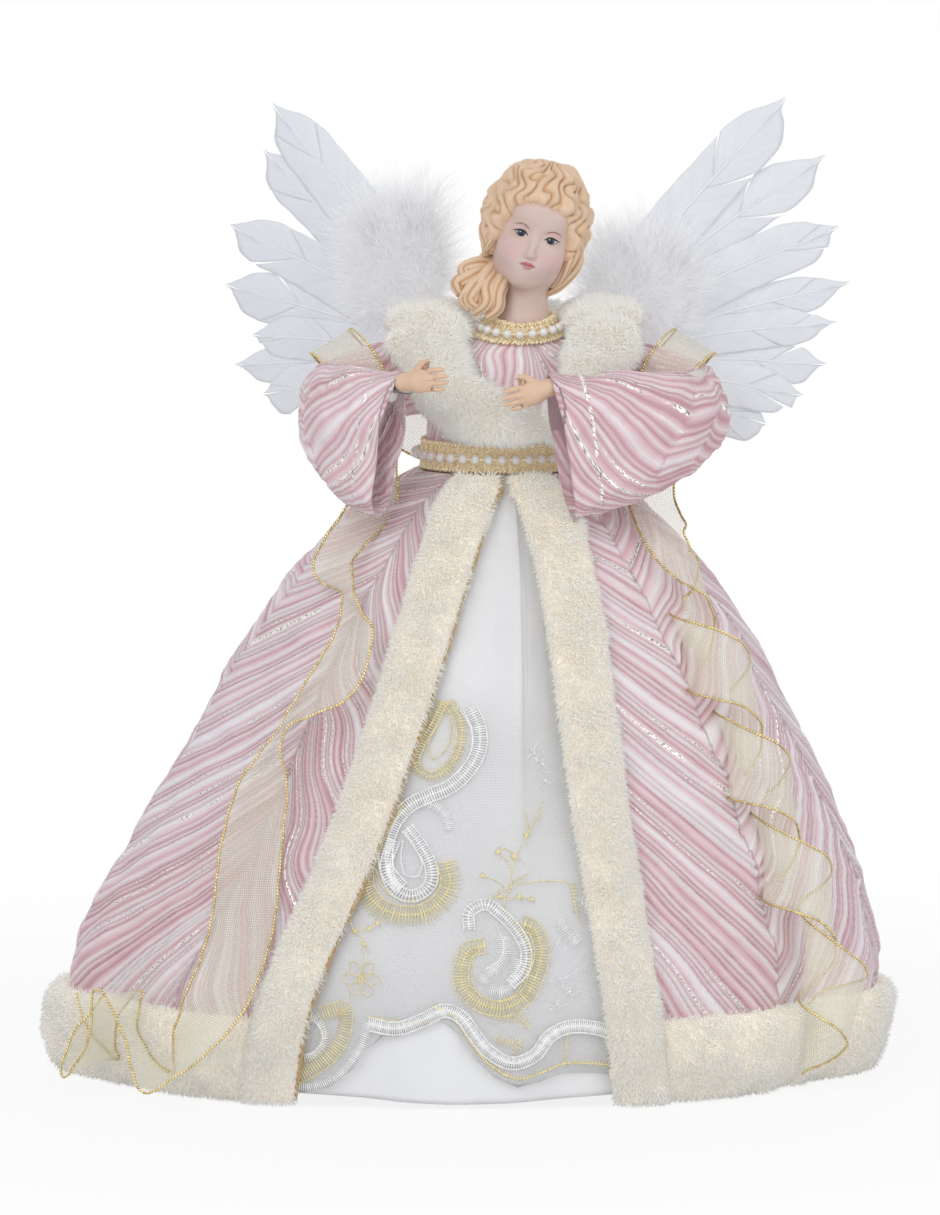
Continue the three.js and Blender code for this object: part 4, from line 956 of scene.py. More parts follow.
def grown_tree(build):
    """Turns a builder of instances into a function that gives its Geometry Nodes tree, made once.

    The builder's own arguments after the tree and the geometry are the tree's named inputs, with
    their defaults. The tree ends in Realize Instances and Set Material.
    """

    def made_once():
        tree = bpy.data.node_groups.get(build.__name__)
        if tree is not None:
            return tree
        tree = bpy.data.node_groups.new(build.__name__, "GeometryNodeTree")
        for way in ("INPUT", "OUTPUT"):
            tree.interface.new_socket(name="Geometry", in_out=way, socket_type="NodeSocketGeometry")
        defaults = {**build.__kwdefaults__, "material": None}
        for label, value in defaults.items():
            kind = SOCKETS[value if value is None else type(value)]
            socket = tree.interface.new_socket(name=label, in_out="INPUT", socket_type=kind)
            if value is not None:
                socket.default_value = value
        entry = tree.nodes.new("NodeGroupInput")
        leave = tree.nodes.new("NodeGroupOutput")
        ins = {label: Value(entry.outputs[label]) for label in build.__kwdefaults__}
        geometry = build(tree, Value(entry.outputs["Geometry"]), **ins)
        real = wire(tree, "GeometryNodeRealizeInstances", {"Geometry": geometry})
        inputs = {"Geometry": real, "Material": Value(entry.outputs["material"])}
        connect(wire(tree, "GeometryNodeSetMaterial", inputs), leave.inputs[0])
        return tree

    return made_once


def stored(geometry, name, value):
    """Geometry with a named value stored on its points."""
    inputs = {"Geometry": geometry, "Name": name, "Value": value}
    return wire(geometry.tree, "GeometryNodeStoreNamedAttribute", inputs, data_type="FLOAT", domain="POINT")


def named(tree, name, kind="FLOAT"):
    """A named attribute's value."""
    return wire(tree, "GeometryNodeInputNamedAttribute", {"Name": name}, data_type=kind)


def random_value(low, high, seed):
    """A random number for each point, from a fixed seed."""
    inputs = {2: low, 3: high, "Seed": seed}
    return wire(seed.tree, "FunctionNodeRandomValue", inputs, 1, data_type="FLOAT")


def random_way(seed):
    """A random vector in a cube for each point, from a fixed seed."""
    inputs = {0: (-1, -1, -1), 1: (1, 1, 1), "Seed": seed}
    return wire(seed.tree, "FunctionNodeRandomValue", inputs, 0, data_type="FLOAT_VECTOR")


def vectors(operation, a, *more, scale=1.0):
    """A Vector Math node's vector."""
    inputs = {0: a, **{k + 1: value for k, value in enumerate(more)}, 3: scale}
    return wire(a.tree, "ShaderNodeVectorMath", inputs, operation=operation)


def aimed(way, roll):
    """A rotation whose Z points along a way, and whose X follows roll."""
    kind = "FunctionNodeAlignRotationToVector"
    first = wire(way.tree, kind, {"Vector": way}, axis="Z")
    return wire(way.tree, kind, {"Rotation": first, "Vector": roll}, axis="X", pivot_axis="Z")


def position(tree):
    """The place of each point."""
    return wire(tree, "GeometryNodeInputPosition")


def split_place(tree):
    """X, Y and Z of each point's place."""
    split = wire(tree, "ShaderNodeSeparateXYZ", {0: position(tree)})
    return [split.at(k) for k in range(3)]


def cone(tree, **inputs):
    """An upright cone or rod of length 1."""
    inputs = {key.replace("_", " ").title(): value for key, value in inputs.items()}
    return wire(tree, "GeometryNodeMeshCone", {**inputs, "Depth": 1.0}, fill_type="NGON")


def planted(points, instance, size, **rotation):
    """A copy of an instance on each point."""
    inputs = {"Points": points, "Instance": instance, "Scale": size, **rotation}
    return wire(points.tree, "GeometryNodeInstanceOnPoints", inputs)


@grown_tree
def pile(
    tree, base, *, density=1e6, length=0.004, radius=0.0004, lean=0.6, spread=0.4, bend=0.0, segments=1,
    clump_scale=90.0, seed=1,
):
    """Tufts of pile or strands of down over a closed base body.

    The base carries comb, the way that the tufts lie, cover, their share of the density, and grow,
    their share of the length.
    """
    inputs = {"Mesh": base, "Density": density * named(tree, "cover"), "Seed": seed}
    scatter = wire(tree, "GeometryNodeDistributePointsOnFaces", inputs)
    inputs = {"Vector": position(tree), "Scale": clump_scale, "Detail": 1.0}
    clump = wire(tree, "ShaderNodeTexNoise", inputs, "Fac")
    swirl = vectors("SUBTRACT", clump.at("Color"), (0.5, 0.5, 0.5))
    swirl = vectors("SCALE", swirl, scale=spread * 4.0)
    loose = vectors("SCALE", random_way(seed + 1.0), scale=spread)
    way = vectors("SCALE", named(tree, "comb", "FLOAT_VECTOR"), scale=lean)
    way = vectors("ADD", vectors("ADD", way, scatter.at("Normal")), vectors("ADD", swirl, loose))
    chance = random_value(0.0, 1.0, seed + 2.0)
    tuftiness = fade(clump, 0.3, 0.7, 0.8, 1.15)
    size = length * (chance * 0.5 + 0.65) * tuftiness * named(tree, "grow")
    points = stored(scatter, "tuft", chance)
    height = split_place(tree)[2]
    strand = cone(tree, vertices=3, side_segments=segments, radius_top=0.0, radius_bottom=radius / length)
    inputs = {"Geometry": stored(strand, "tip", height), "Offset": vector_of(height**2.0 * bend, 0.0)}
    bent = wire(tree, "GeometryNodeSetPosition", inputs)
    turned = aimed(vectors("NORMALIZE", way), random_way(seed + 3.0))
    tufts = planted(points, bent, vector_of(size, size, size), Rotation=turned)
    joined = wire(tree, "GeometryNodeJoinGeometry", {0: tufts})
    connect(base, joined.socket.node.inputs[0])
    return joined


@grown_tree
def bars(tree, base, *, radius=0.0002, seed=1):
    """Short thread bars on points; each point carries way, face, long, thick and tuft."""
    points = wire(tree, "GeometryNodeMeshToPoints", {"Mesh": base})
    rod = cone(tree, vertices=4, side_segments=2, radius_top=0.45, radius_bottom=0.45)
    x, y, z = split_place(tree)
    fuller = (0.5 - abs(z - 0.5)) * 2.4 + 1.0
    shifted = vector_of(x * fuller, y * fuller, z - 0.5)
    inputs = {"Geometry": stored(rod, "along", z), "Position": shifted}
    bar = wire(tree, "GeometryNodeSetPosition", inputs)
    thick = radius * named(tree, "thick") * random_value(0.85, 1.15, seed)
    turned = aimed(named(tree, "way", "FLOAT_VECTOR"), named(tree, "face", "FLOAT_VECTOR"))
    return planted(points, bar, vector_of(thick, thick, named(tree, "long")), Rotation=turned)


@grown_tree
def beads(tree, base, *, segments=14, rings=9):
    """Beads on points; each point carries its radius as thick."""
    points = wire(tree, "GeometryNodeMeshToPoints", {"Mesh": base})
    bead = wire(tree, "GeometryNodeMeshUVSphere", {"Segments": segments, "Rings": rings, "Radius": 1.0})
    soft = wire(tree, "GeometryNodeSetShadeSmooth", {"Geometry": bead})
    size = named(tree, "thick")
    return planted(points, soft, vector_of(size, size, size))


def grown_mesh(name, mesh, tree, **settings):
    """The plain mesh that a tree makes from a base mesh."""

    def prepare(modifier):
        modifier.node_group = tree
        for item in tree.interface.items_tree:
            if item.item_type == "SOCKET" and item.in_out == "INPUT" and item.name in settings:
                modifier[item.identifier] = settings[item.name]

    return evaluated(name, mesh, "NODES", prepare)


def point_mesh(name, points, **values):
    """A mesh of loose points with values, in millimetres, for a tree to grow on."""
    made = bpy.data.meshes.new(name)
    made.vertices.add(len(points))
    set_points(made, np.asarray(points, float) * MM)
    for key, value in values.items():
        store(made, key, value)
    return made


FLOOR_GAP = 0.2


def pile_piece(name, shape, body, nodes, material, slot, tufts, length, seed, **settings):
    """A plush or downy piece: a base body and about that many tufts on it, all above the floor."""
    base = shape.closed(name + "_body")
    area = sum(face.area for face in base.polygons)
    settings = {"radius": sizes().pile_radius, **settings}
    settings |= {"density": tufts / area, "length": length, "seed": seed, "material": material}
    mesh = grown_mesh(name, base, pile(), **settings)
    points = points_of(mesh)
    points[:, 2] = np.maximum(points[:, 2], FLOOR_GAP * MM)
    set_points(mesh, points)
    return put(name, mesh, None, body, nodes, slot)


def chevron(position, bounds):
    """Leaf fields between bounds of (position, level): ridges bunch where a level is high."""
    level = np.zeros_like(position)
    field = np.zeros_like(position)
    soft, power = 0.03, 0.6
    low = soft**power
    high = (1 + soft) ** power - low
    for k, ((start, a), (end, b)) in enumerate(zip(bounds[:-1], bounds[1:])):
        inside = (position >= start) & (position <= end)
        share = np.clip((position - start) / (end - start), 0, 1)
        if a < b:
            share = 1 - share
        eased = ((share + soft) ** power - low) / high
        level = np.where(inside, max(a, b) - abs(a - b) * eased, level)
        field = np.where(inside, k, field)
    return level, field


def ridge_relief(points, ridge, height):
    """Height of the ridges at grid points, lower where they crowd together."""
    steps = (np.linalg.norm(np.gradient(points, axis=k), axis=-1) for k in range(2))
    slopes = (np.gradient(ridge, axis=k) / np.maximum(step, 1e-6) for k, step in enumerate(steps))
    pitch = 1 / np.maximum(np.hypot(*slopes), 1e-6)
    crest = np.abs(2 * np.modf(np.abs(ridge))[0] - 1)
    size = np.clip(pitch / 2.6, 0.1, 1) * (0.55 + 0.8 * hashed(np.floor(ridge), 3))
    return height * size * (1 - crest**2)


# Degrees from the middle of the front, and how far the ridges have climbed there
SKIRT_FIELDS = {
    "right": [(10, 0), (41, 2.2), (79, 1.1), (110, 2.0), (140, 1.0), (168, 2.0), (200, 1.2)],
    "left": [(-10, 0.2), (14, 1.4), (45, 0), (74, 1.3), (98, 0.3), (126, 1.3), (152, 0.3), (200, 1.3)],
}
SKIRT_FOOT = 3
SKIRT_CLIMB = 72
BACK_SEAM = math.radians(0.03)
# Numbers that give each cloth its own stripes
LEFT_BAND, BODICE_BAND, SLEEVE_BANDS = 20, 40, (60, 70)


def skirt_fall(z):
    """Distance from the waist along the skirt's side."""
    heights = np.linspace(WAIST, 0, 400)
    run = run_length(skirt_point(np.full(400, np.pi / 2), heights))
    return np.interp(-np.asarray(z), -heights, run)


def overskirt_panel(side):
    """One half of the overskirt, from the front edge to the seam at the middle of the back."""
    rows, columns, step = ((261, 301, 10))
    height = row_height(np.linspace(0, 1, rows), SKIRT_FOOT)[:, None]
    share = np.linspace(0, 1, columns)[None, :]
    angle = half_angles(side, height, share, BACK_SEAM)
    height = np.broadcast_to(height, angle.shape)
    around = np.degrees(np.where(angle > np.pi, TURN - angle, angle))
    fall = skirt_fall(height)
    wide = skirt_shape(height)[0]
    plain = skirt_point(angle, height, 1.2)
    wave = 2.4 * lumps(plain, 46, 11)
    fields = SKIRT_FIELDS[side]
    level, field = chevron(around - 0.05 * (fall - 110) + 0.5 * wave, fields)
    pitch = sizes().ridge_pitch / MM
    ridge = (fall + wave + SKIRT_CLIMB * wide / HEM_HALF[0] * level) / pitch + 40
    ridge = ridge + 0.32 * np.sin(1.7 * ridge) + 0.2 * np.sin(0.63 * ridge + 1)
    outward_down = np.where((field % 2 == 1) == (fields[1][1] > 0.5), 1.0, -1.0)
    along = fall + outward_down * 0.6 * wide * np.radians(around)
    relief = ridge_relief(plain, ridge, sizes().ridge_height / MM)
    crumple = 0.5 * lumps(plain, 19, 12) * smooth(fall, 6, 60)
    inland = smooth(share if side == "left" else 1 - share, 0.06, 0.16) * smooth(height, 26, 50)
    puff = 1.2 * inland * smooth(lumps(plain, 34, 13), -0.5, 0.5)
    outer = skirt_point(angle, height, 1.0 + relief + crumple + puff)
    inner = skirt_point(angle[::step, ::step], height[::step, ::step], 0.05)
    band = field + (LEFT_BAND if side == "left" else 0)
    mesh = slab(outer, inner, ridge=ridge, along=along, band=band).mesh(f"overskirt_{side}")
    made = put(f"overskirt_{side}", mesh, brocade(), "gown", ["overskirt"], "brocade")


def bodice_piece():
    """Close-fitting bodice with ridges that meet at the middle of the front."""
    rows, columns, step = 61, 240, 6
    height = np.linspace(246, 200.35, rows)[:, None]
    height, angle = np.broadcast_arrays(height, turns_of(columns, -np.pi)[None, :])
    plain = body_point(angle, height, 1.4)
    slant = 0.75 * (height - 223) * smooth(np.degrees(angle), 4, 30)
    ridge = (19 * angle + slant + 1.4 * lumps(plain, 16, 5)) / 2.6 + 40
    field = 1.0 * (np.degrees(angle) > 14)
    outer = body_point(angle, height, 1.15 + ridge_relief(plain, ridge, 0.4))
    inner = body_point(angle[::step, ::step], height[::step, ::step], 0.5)
    shape = slab(outer, inner, wrap=True, ridge=ridge, along=height, band=field + BODICE_BAND)
    made = put("bodice_cloth", shape.mesh("bodice_cloth"), brocade(), "gown", ["bodice"], "brocade")


ARM_MOUTH = {"right": 9, "left": -16.5}
ARM_REACH = 36
SLEEVE_DROP = 18
WIRE_DROP = -1


def arm_path(side, drop):
    """Points of the bent line that a sleeve or an arm follows."""
    mouth = ARM_MOUTH[side]

    def reach(share):
        return ARMHOLE_REACH + 0.35 + ARM_REACH * share

    # Reach, forward, and share of the drop
    places = [
        (reach(0), 0, 0), (reach(0.12), 0, 0), (reach(0.45), 0, 0.1), (reach(0.82), 4.6, 0.38),
        (reach(0.92), 18.4, 0.58), (reach(0.7) + 0.25 * mouth, 34.5, 0.75), (ARMHOLE_REACH + mouth, 46, 1),
    ]
    return [beside_pivot(side, out, forward, -share * drop) for out, forward, share in places]


SLEEVE_HEIGHTS = [(0, 12), (0.45, 15), (0.65, 20), (1, 25)]
SLEEVE_DEPTHS = [(0, 12), (0.3, 10.5), (0.55, 9.5), (1, 8.5)]
SLEEVE_FIELDS = [(-0.1, 0.9), (0.26, 0), (0.5, 0.5), (0.62, 0.2), (1.04, 1.9)]
# How much darker each sleeve's brocade is painted: painted shade, stronger on the left sleeve
SLEEVE_SHADE = {"right": 0.13, "left": 0.25}
SILVER_LINE = 0.9


def sleeve_point(side, turn, length, inset):
    """A point on the bell sleeve: turn 0 is its top, length 1 its mouth."""
    points = arm_path(side, SLEEVE_DROP)
    shares = even_shares(points, length)
    centre = spline(points, shares)
    ahead = spline_ahead(points, shares)
    ahead[:, 2] = 0
    ahead[length <= 0] = (SIDES[side], 0, 0)
    ahead = unit(ahead)
    across = np.stack([-ahead[:, 1], ahead[:, 0], np.zeros(len(length))], -1)
    rise = (profile_at(SLEEVE_HEIGHTS, length) - inset) * np.cos(turn)
    pleat = 1 + 0.1 * smooth(length, 0.5, 0.9) * np.cos(5 * turn)
    wide = (profile_at(SLEEVE_DEPTHS, length) * pleat - inset) * np.sin(turn)
    rake = 0.18 * smooth(length, 0.6, 1) * (rise - 25)
    centre = centre + across * wide[:, None] + ahead * rake[:, None]
    centre[:, 2] += rise
    return centre


def sleeve_piece(side):
    """Bell sleeve: ridges fan along it to the mouth, where a silver line follows the edge."""
    rows, columns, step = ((131, 160, 5))
    length, turn = np.broadcast_arrays(np.linspace(0, 1, rows)[:, None], turns_of(columns)[None, :])
    length, turn = length.ravel(), turn.ravel()

    def grid(values):
        return values.reshape(rows, columns, *values.shape[1:])

    plain = sleeve_point(side, turn, length, 0.15)
    half = np.where(turn > np.pi, TURN - turn, turn)
    girth = half * (0.65 * profile_at(SLEEVE_HEIGHTS, length) + 4)
    level, field = chevron(length + 0.06 * np.sin(2 * half), SLEEVE_FIELDS)
    outer_side = np.where(turn > np.pi, 1.0, -1.0) * SIDES[side]
    ridge = (girth + 17 * level + 0.9 * lumps(plain, 24, 21)) / 3.4 + 20
    ridge = ridge + 0.3 * np.sin(1.7 * ridge)
    relief = ridge_relief(grid(plain), grid(ridge), 0.55).ravel()
    crumple = (0.8 * lumps(plain, 19, 22) + 0.35 * lumps(plain, 8, 23)) * smooth(length, 0.1, 0.4)
    outer = sleeve_point(side, turn, length, 0.3 - relief - crumple)
    inner = sleeve_point(side, turn, length, 0.95 - crumple)
    values = {
        "ridge": ridge,
        "along": length * 90,
        "band": field + np.where(outer_side > 0, *SLEEVE_BANDS),
        # Paints the sleeve's brocade darker, as painted shade
        "tone": np.full(length.shape, SLEEVE_SHADE[side]),
        "trim": np.exp(-((length - SILVER_LINE) * 140) ** 2),
    }
    values = {key: grid(value) for key, value in values.items()}
    name = f"sleeve_cloth_{side}"
    mesh = slab(grid(outer), grid(inner)[::step, ::step], wrap=True, **values).closed(name)
    made = put(name, mesh, brocade(), f"arm_{side}", [f"sleeve_{side}"], "brocade")


class ANGEL_OT_brocade(Operator):
    """Makes the pink brocade: two skirt panels, the bodice and two bell sleeves."""

    bl_idname = "angel.brocade"
    bl_label = "Brocade gown"

    def execute(self, context):
        for side in SIDES:
            overskirt_panel(side)
            sleeve_piece(side)
        bodice_piece()
        return {"FINISHED"}


FRONT_GRID = (151, 101, 5)


def front_grid(foot, tuck):
    """Shares across, heights and angles of a cloth in the front opening, down to its foot."""
    rows, columns, _ = FRONT_GRID
    across = np.linspace(0, 1, columns)[None, :]
    height = row_height(np.linspace(0, 1, rows)[:, None], foot(across))
    return across, height, mix(right_edge(height) - tuck, left_edge(height) + tuck, across)


def front_sheet(height, angle, offset, thick, edge):
    """A closed cloth in the front opening; it carries u, v and edge."""
    step = FRONT_GRID[2]
    outer = skirt_point(angle, height, offset)
    coarse = (values[::step, ::step] for values in (angle, height, offset - thick))
    wide = skirt_shape(height)[0]
    return slab(outer, skirt_point(*coarse), u=wide * angle, v=skirt_fall(height), edge=edge)


def satin_piece():
    """White satin underskirt in the front opening, with soft upright folds and a wavy foot."""
    across, height, angle = front_grid(lambda s: 1.5 + 1.2 * np.sin(9 * s) + 1.2, math.radians(8))
    share = height / WAIST
    fold = 0.9 * np.sin(17 * across + 3 * share) + 0.7 * np.sin(31 * across + 1 - 2 * share)
    fold = fold * np.sin(np.pi * across) * (0.35 + 0.65 * (1 - share))
    under = smooth(across - 0.66 + 0.06 * share, -0.012, 0.012) * smooth(share, 0.3, 0.62)
    inset = -1.2 + np.minimum(fold, 0.4) - 3.0 * under
    # The tucked-under panel also gets the edge value, which paints shade on it
    shape = front_sheet(height, angle, inset, 0.5, 0.8 * under)
    made = put("satin_skirt", shape.mesh("satin_skirt"), satin(), "gown", ["satin_underskirt"], "satin")


def apron_foot(across):
    """Height of the apron's scalloped edge."""
    return np.interp(across, *apron_edge())


def apron_piece():
    """Sheer organza apron with a denser border along its scallops."""
    across, height, angle = front_grid(apron_foot, 0)
    share = height / WAIST
    ripple = 0.5 + 0.4 * np.sin(13 * across + 4 * share) * (1 - share)
    border = smooth(height - apron_foot(across), 2.2, 1.2) - 0.4 * smooth(height, 112, 138)
    shape = front_sheet(height, angle, ripple, 0.2, border * 0.6)
    made = put("organza_apron", shape.mesh("organza_apron"), organza(), "gown", ["lace_apron"], "lace")


# The photo's foot of the figure and its pixels in a millimetre, and the camera's slope
PHOTO_FOOT = (470, 1062)
PHOTO_SCALE = 3
VIEW_SINE, VIEW_COSINE = 0.1305, 0.9914


def apron_place(places):
    """Angle and height on the apron of places in the photo's own pixels."""
    places = np.asarray(places, float)
    x = (places[:, 0] - PHOTO_FOOT[0]) / PHOTO_SCALE
    up = (PHOTO_FOOT[1] - places[:, 1]) / PHOTO_SCALE
    y = np.full(len(places), -80.0)
    for _ in range(12):
        z = np.clip((up - VIEW_SINE * y) / VIEW_COSINE, 2, 190)
        wide, deep, middle, forward = skirt_shape(z)
        angle = np.arcsin(np.clip((x - middle) / wide, -0.75, 0.75))
        y = -(forward + deep * np.cos(angle))
    return angle, z


def apron_edge():
    """Shares across the front opening and heights of the apron's lower edge."""
    angle, height = apron_place(drawn(*APRON_EDGE))
    start, end = right_edge(height), left_edge(height)
    across = (angle - start) / (end - start)
    order = np.argsort(across)
    return across[order], height[order]


STITCH_LIFT = 1.05


def on_apron(places):
    """Points on the apron and its outward directions for places in the photo's own pixels."""
    angle, z = apron_place(places)
    step, drop = 0.01, 0.5
    round_way = skirt_point(angle + step, z, STITCH_LIFT) - skirt_point(angle - step, z, STITCH_LIFT)
    down_way = skirt_point(angle, z - drop, STITCH_LIFT) - skirt_point(angle, z + drop, STITCH_LIFT)
    return skirt_point(angle, z, STITCH_LIFT), unit(np.cross(down_way, round_way))


class Stitching:
    """Collects embroidery stitches on the apron from lines drawn on its enlarged picture."""

    def __init__(self):
        self.rows = []

    def _line(self, places, spacing):
        fine = flat_spline(drawn(*places), np.linspace(0, 1, 60 * len(places)))
        run = run_length(on_apron(fine)[0])
        count = max(3, int(run[-1] / spacing))
        at = np.interp(np.linspace(0, run[-1], count), run, np.arange(len(run)))
        flat = np.column_stack([np.interp(at, np.arange(len(run)), fine[:, k]) for k in range(2)])
        point, face = on_apron(flat)
        return point, face, tangents(point)

    def chain(self, thick, *places):
        """Stitches end to end along a line."""
        point, face, way = self._line(places, 0.9)
        self._keep(point, way, face, 1.25, thick)

    def fan(self, inner, outer, thick, spacing, rails, *places):
        """Stitches across a line, from inner to outer millimetres to its left, and rails along it."""
        point, face, ahead = self._line(places, spacing)
        way = np.cross(face, ahead)
        middle = point + way * (np.asarray(inner) + outer) / 2
        wobble = 0.9 + 0.2 * hashed(np.arange(len(point)), len(self.rows) + 1)
        self._keep(middle, way, face, np.abs(outer - inner) * wobble, thick)
        for offset in rails:
            self._keep(point + way * offset + face * 0.1, ahead, face, spacing * 1.5, thick)

    def dot(self, size, *places):
        """A small knot of crossed stitches at each place."""
        point, face = on_apron(drawn(*places))
        side = unit(np.cross(face, np.array((0.0, 0.0, 1.0))))
        up = np.cross(side, face)
        for turn in np.arange(4) * np.pi / 4:
            self._keep(point, side * math.cos(turn) + up * math.sin(turn), face, size, 1.1)

    def _keep(self, point, way, face, length, thick):
        lengths, thick = (np.broadcast_to(value, len(point)) for value in (length, thick))
        self.rows.append((point + face * 0.12, way, face, lengths, thick))

    def piece(self, name, material, seed):
        """All stitches as one piece."""
        points, ways, faces, lengths, thick = (np.concatenate(rows) for rows in zip(*self.rows))
        tuft = hashed(np.arange(len(points)), seed)
        mesh = point_mesh(name, points, way=ways, face=faces, long=lengths * MM, thick=thick, tuft=tuft)
        settings = {"radius": sizes().stitch_radius, "seed": seed, "material": material}
        return put(name, grown_mesh(name, mesh, bars(), **settings), None, "gown", (), "lace")


CROP_CORNER = np.array((270.0, 690.0))
CROP_SCALE = 3.647
APRON_EDGE = [
    (0, 1405), (60, 1415), (140, 1440), (230, 1420), (310, 1355), (360, 1275), (395, 1232), (470, 1238),
    (560, 1208), (610, 1168), (660, 1190), (700, 1240), (745, 1310), (810, 1378), (900, 1420), (985, 1398),
    (1060, 1368), (1180, 1368), (1300, 1385),
]


def drawn(*places):
    """Photo pixels of places drawn on the enlarged picture of the apron."""
    return CROP_CORNER + np.array(places, float) / CROP_SCALE


def gold_stitching():
    """Gold paisley fans, sprigs, the blossom and the border's outer line."""
    work = Stitching()
    chain, fan, dot = work.chain, work.fan, work.dot
    fan(
        -2.6, 1.2, 1.25, 0.95, (-0.8, 1.1), (640, 40), (600, 120), (555, 200), (540, 260), (585, 300),
        (650, 270), (688, 200), (690, 110), (650, 40),
    )
    chain(1.2, (640, 60), (610, 130), (580, 200), (600, 240), (650, 200), (662, 120), (640, 60))
    fan(-3.4, 3.2, 1.25, 0.95, (0.4, 3.1), (470, 390), (430, 450), (395, 520), (370, 590), (345, 650))
    fan(
        -3.4, 3.6, 1.25, 1.05, (0.6, 3.5), (350, 640), (355, 710), (400, 775), (480, 805), (560, 800),
        (630, 755), (665, 690), (650, 610),
    )
    chain(1.2, (395, 640), (420, 700), (480, 745), (550, 745), (610, 700), (620, 640))
    fan(
        -2.6, 2.6, 1.25, 0.95, (-2.5, 0.2, 2.5), (780, 910), (725, 925), (700, 985), (705, 1060),
        (760, 1115), (850, 1135), (925, 1095), (965, 1020), (985, 940), (960, 850), (915, 830),
    )
    chain(
        1.2, (780, 905), (745, 950), (735, 1010), (750, 1070), (810, 1105), (880, 1090), (930, 1010),
        (945, 930), (915, 850),
    )
    fan(-1.6, 1.6, 1.0, 0.95, (), (800, 1150), (850, 1170), (905, 1165), (940, 1205))
    fan(-1.5, 1.5, 1.0, 0.95, (), (820, 1240), (860, 1260), (905, 1255), (890, 1295))
    chain(
        1.0, (990, 400), (950, 470), (930, 520), (900, 580), (878, 640), (875, 700), (852, 745), (865, 800),
        (890, 835),
    )
    leaves = (
        ((930, 520), (985, 440)), ((930, 520), (925, 430)), ((890, 590), (835, 560)),
        ((890, 595), (915, 615)), ((878, 640), (838, 590)), ((875, 700), (940, 650)),
        ((870, 715), (775, 660)), ((860, 735), (790, 745)), ((855, 745), (945, 745)),
        ((870, 700), (820, 725)), ((875, 690), (910, 665)),
    )
    for start, end in leaves:
        middle = ((start[0] + end[0]) / 2 + 6, (start[1] + end[1]) / 2 - 6)
        chain(1.0, start, middle, end)
    dot(2.4, (932, 515), (885, 590), (830, 575), (775, 660), (905, 735), (835, 735), (950, 745))
    chain(1.0, (910, 690), (990, 680), (1085, 690), (1100, 750), (1120, 825))
    fan(-1.2, 1.2, 1.0, 0.95, (), (1095, 690), (1102, 740), (1108, 790))
    chain(1.0, (300, 800), (315, 850), (350, 890), (365, 930))
    chain(1.0, (315, 860), (370, 850), (410, 830))
    dot(2.2, (320, 860), (370, 850), (350, 905), (400, 830))
    for turn in turns_of(6):
        centre = np.array((342, 1030))
        way = np.array((math.cos(turn), math.sin(turn)))
        cross = np.array((-way[1], way[0]))
        petal = [centre + way * r + cross * s for r, s in ((8, 0), (38, 20), (70, 4), (40, -20), (8, 0))]
        chain(1.0, *petal)
    chain(1.0, (345, 930), (355, 980), (345, 1030))
    fan(
        -3.2, 1.8, 1.25, 0.95, (1.7,), (205, 1150), (285, 1130), (290, 1210), (255, 1290), (195, 1345),
        (115, 1385), (55, 1355),
    )
    chain(1.1, (190, 1155), (215, 1210), (205, 1270), (165, 1320), (100, 1330), (50, 1345))
    rim = [
        (600, 1128), (660, 1150), (700, 1205), (745, 1275), (810, 1345), (900, 1388), (985, 1365),
        (1060, 1335), (1180, 1335), (1300, 1350),
    ]
    chain(1.7, *rim)
    fan(-0.7, 0.9, 1.0, 1.1, (), *rim)
    chain(1.2, (375, 1165), (440, 1175), (520, 1190), (600, 1180))
    chain(1.6, (1065, 1330), (1072, 1270), (1080, 1210))
    chain(1.5, (1295, 1350), (1310, 1300), (1280, 1250))
    chain(1.0, (1110, 1195), (1160, 1210), (1200, 1215))
    fan(-1.3, 1.3, 1.0, 0.95, (), (1225, 1200), (1240, 1170), (1270, 1150))
    return work


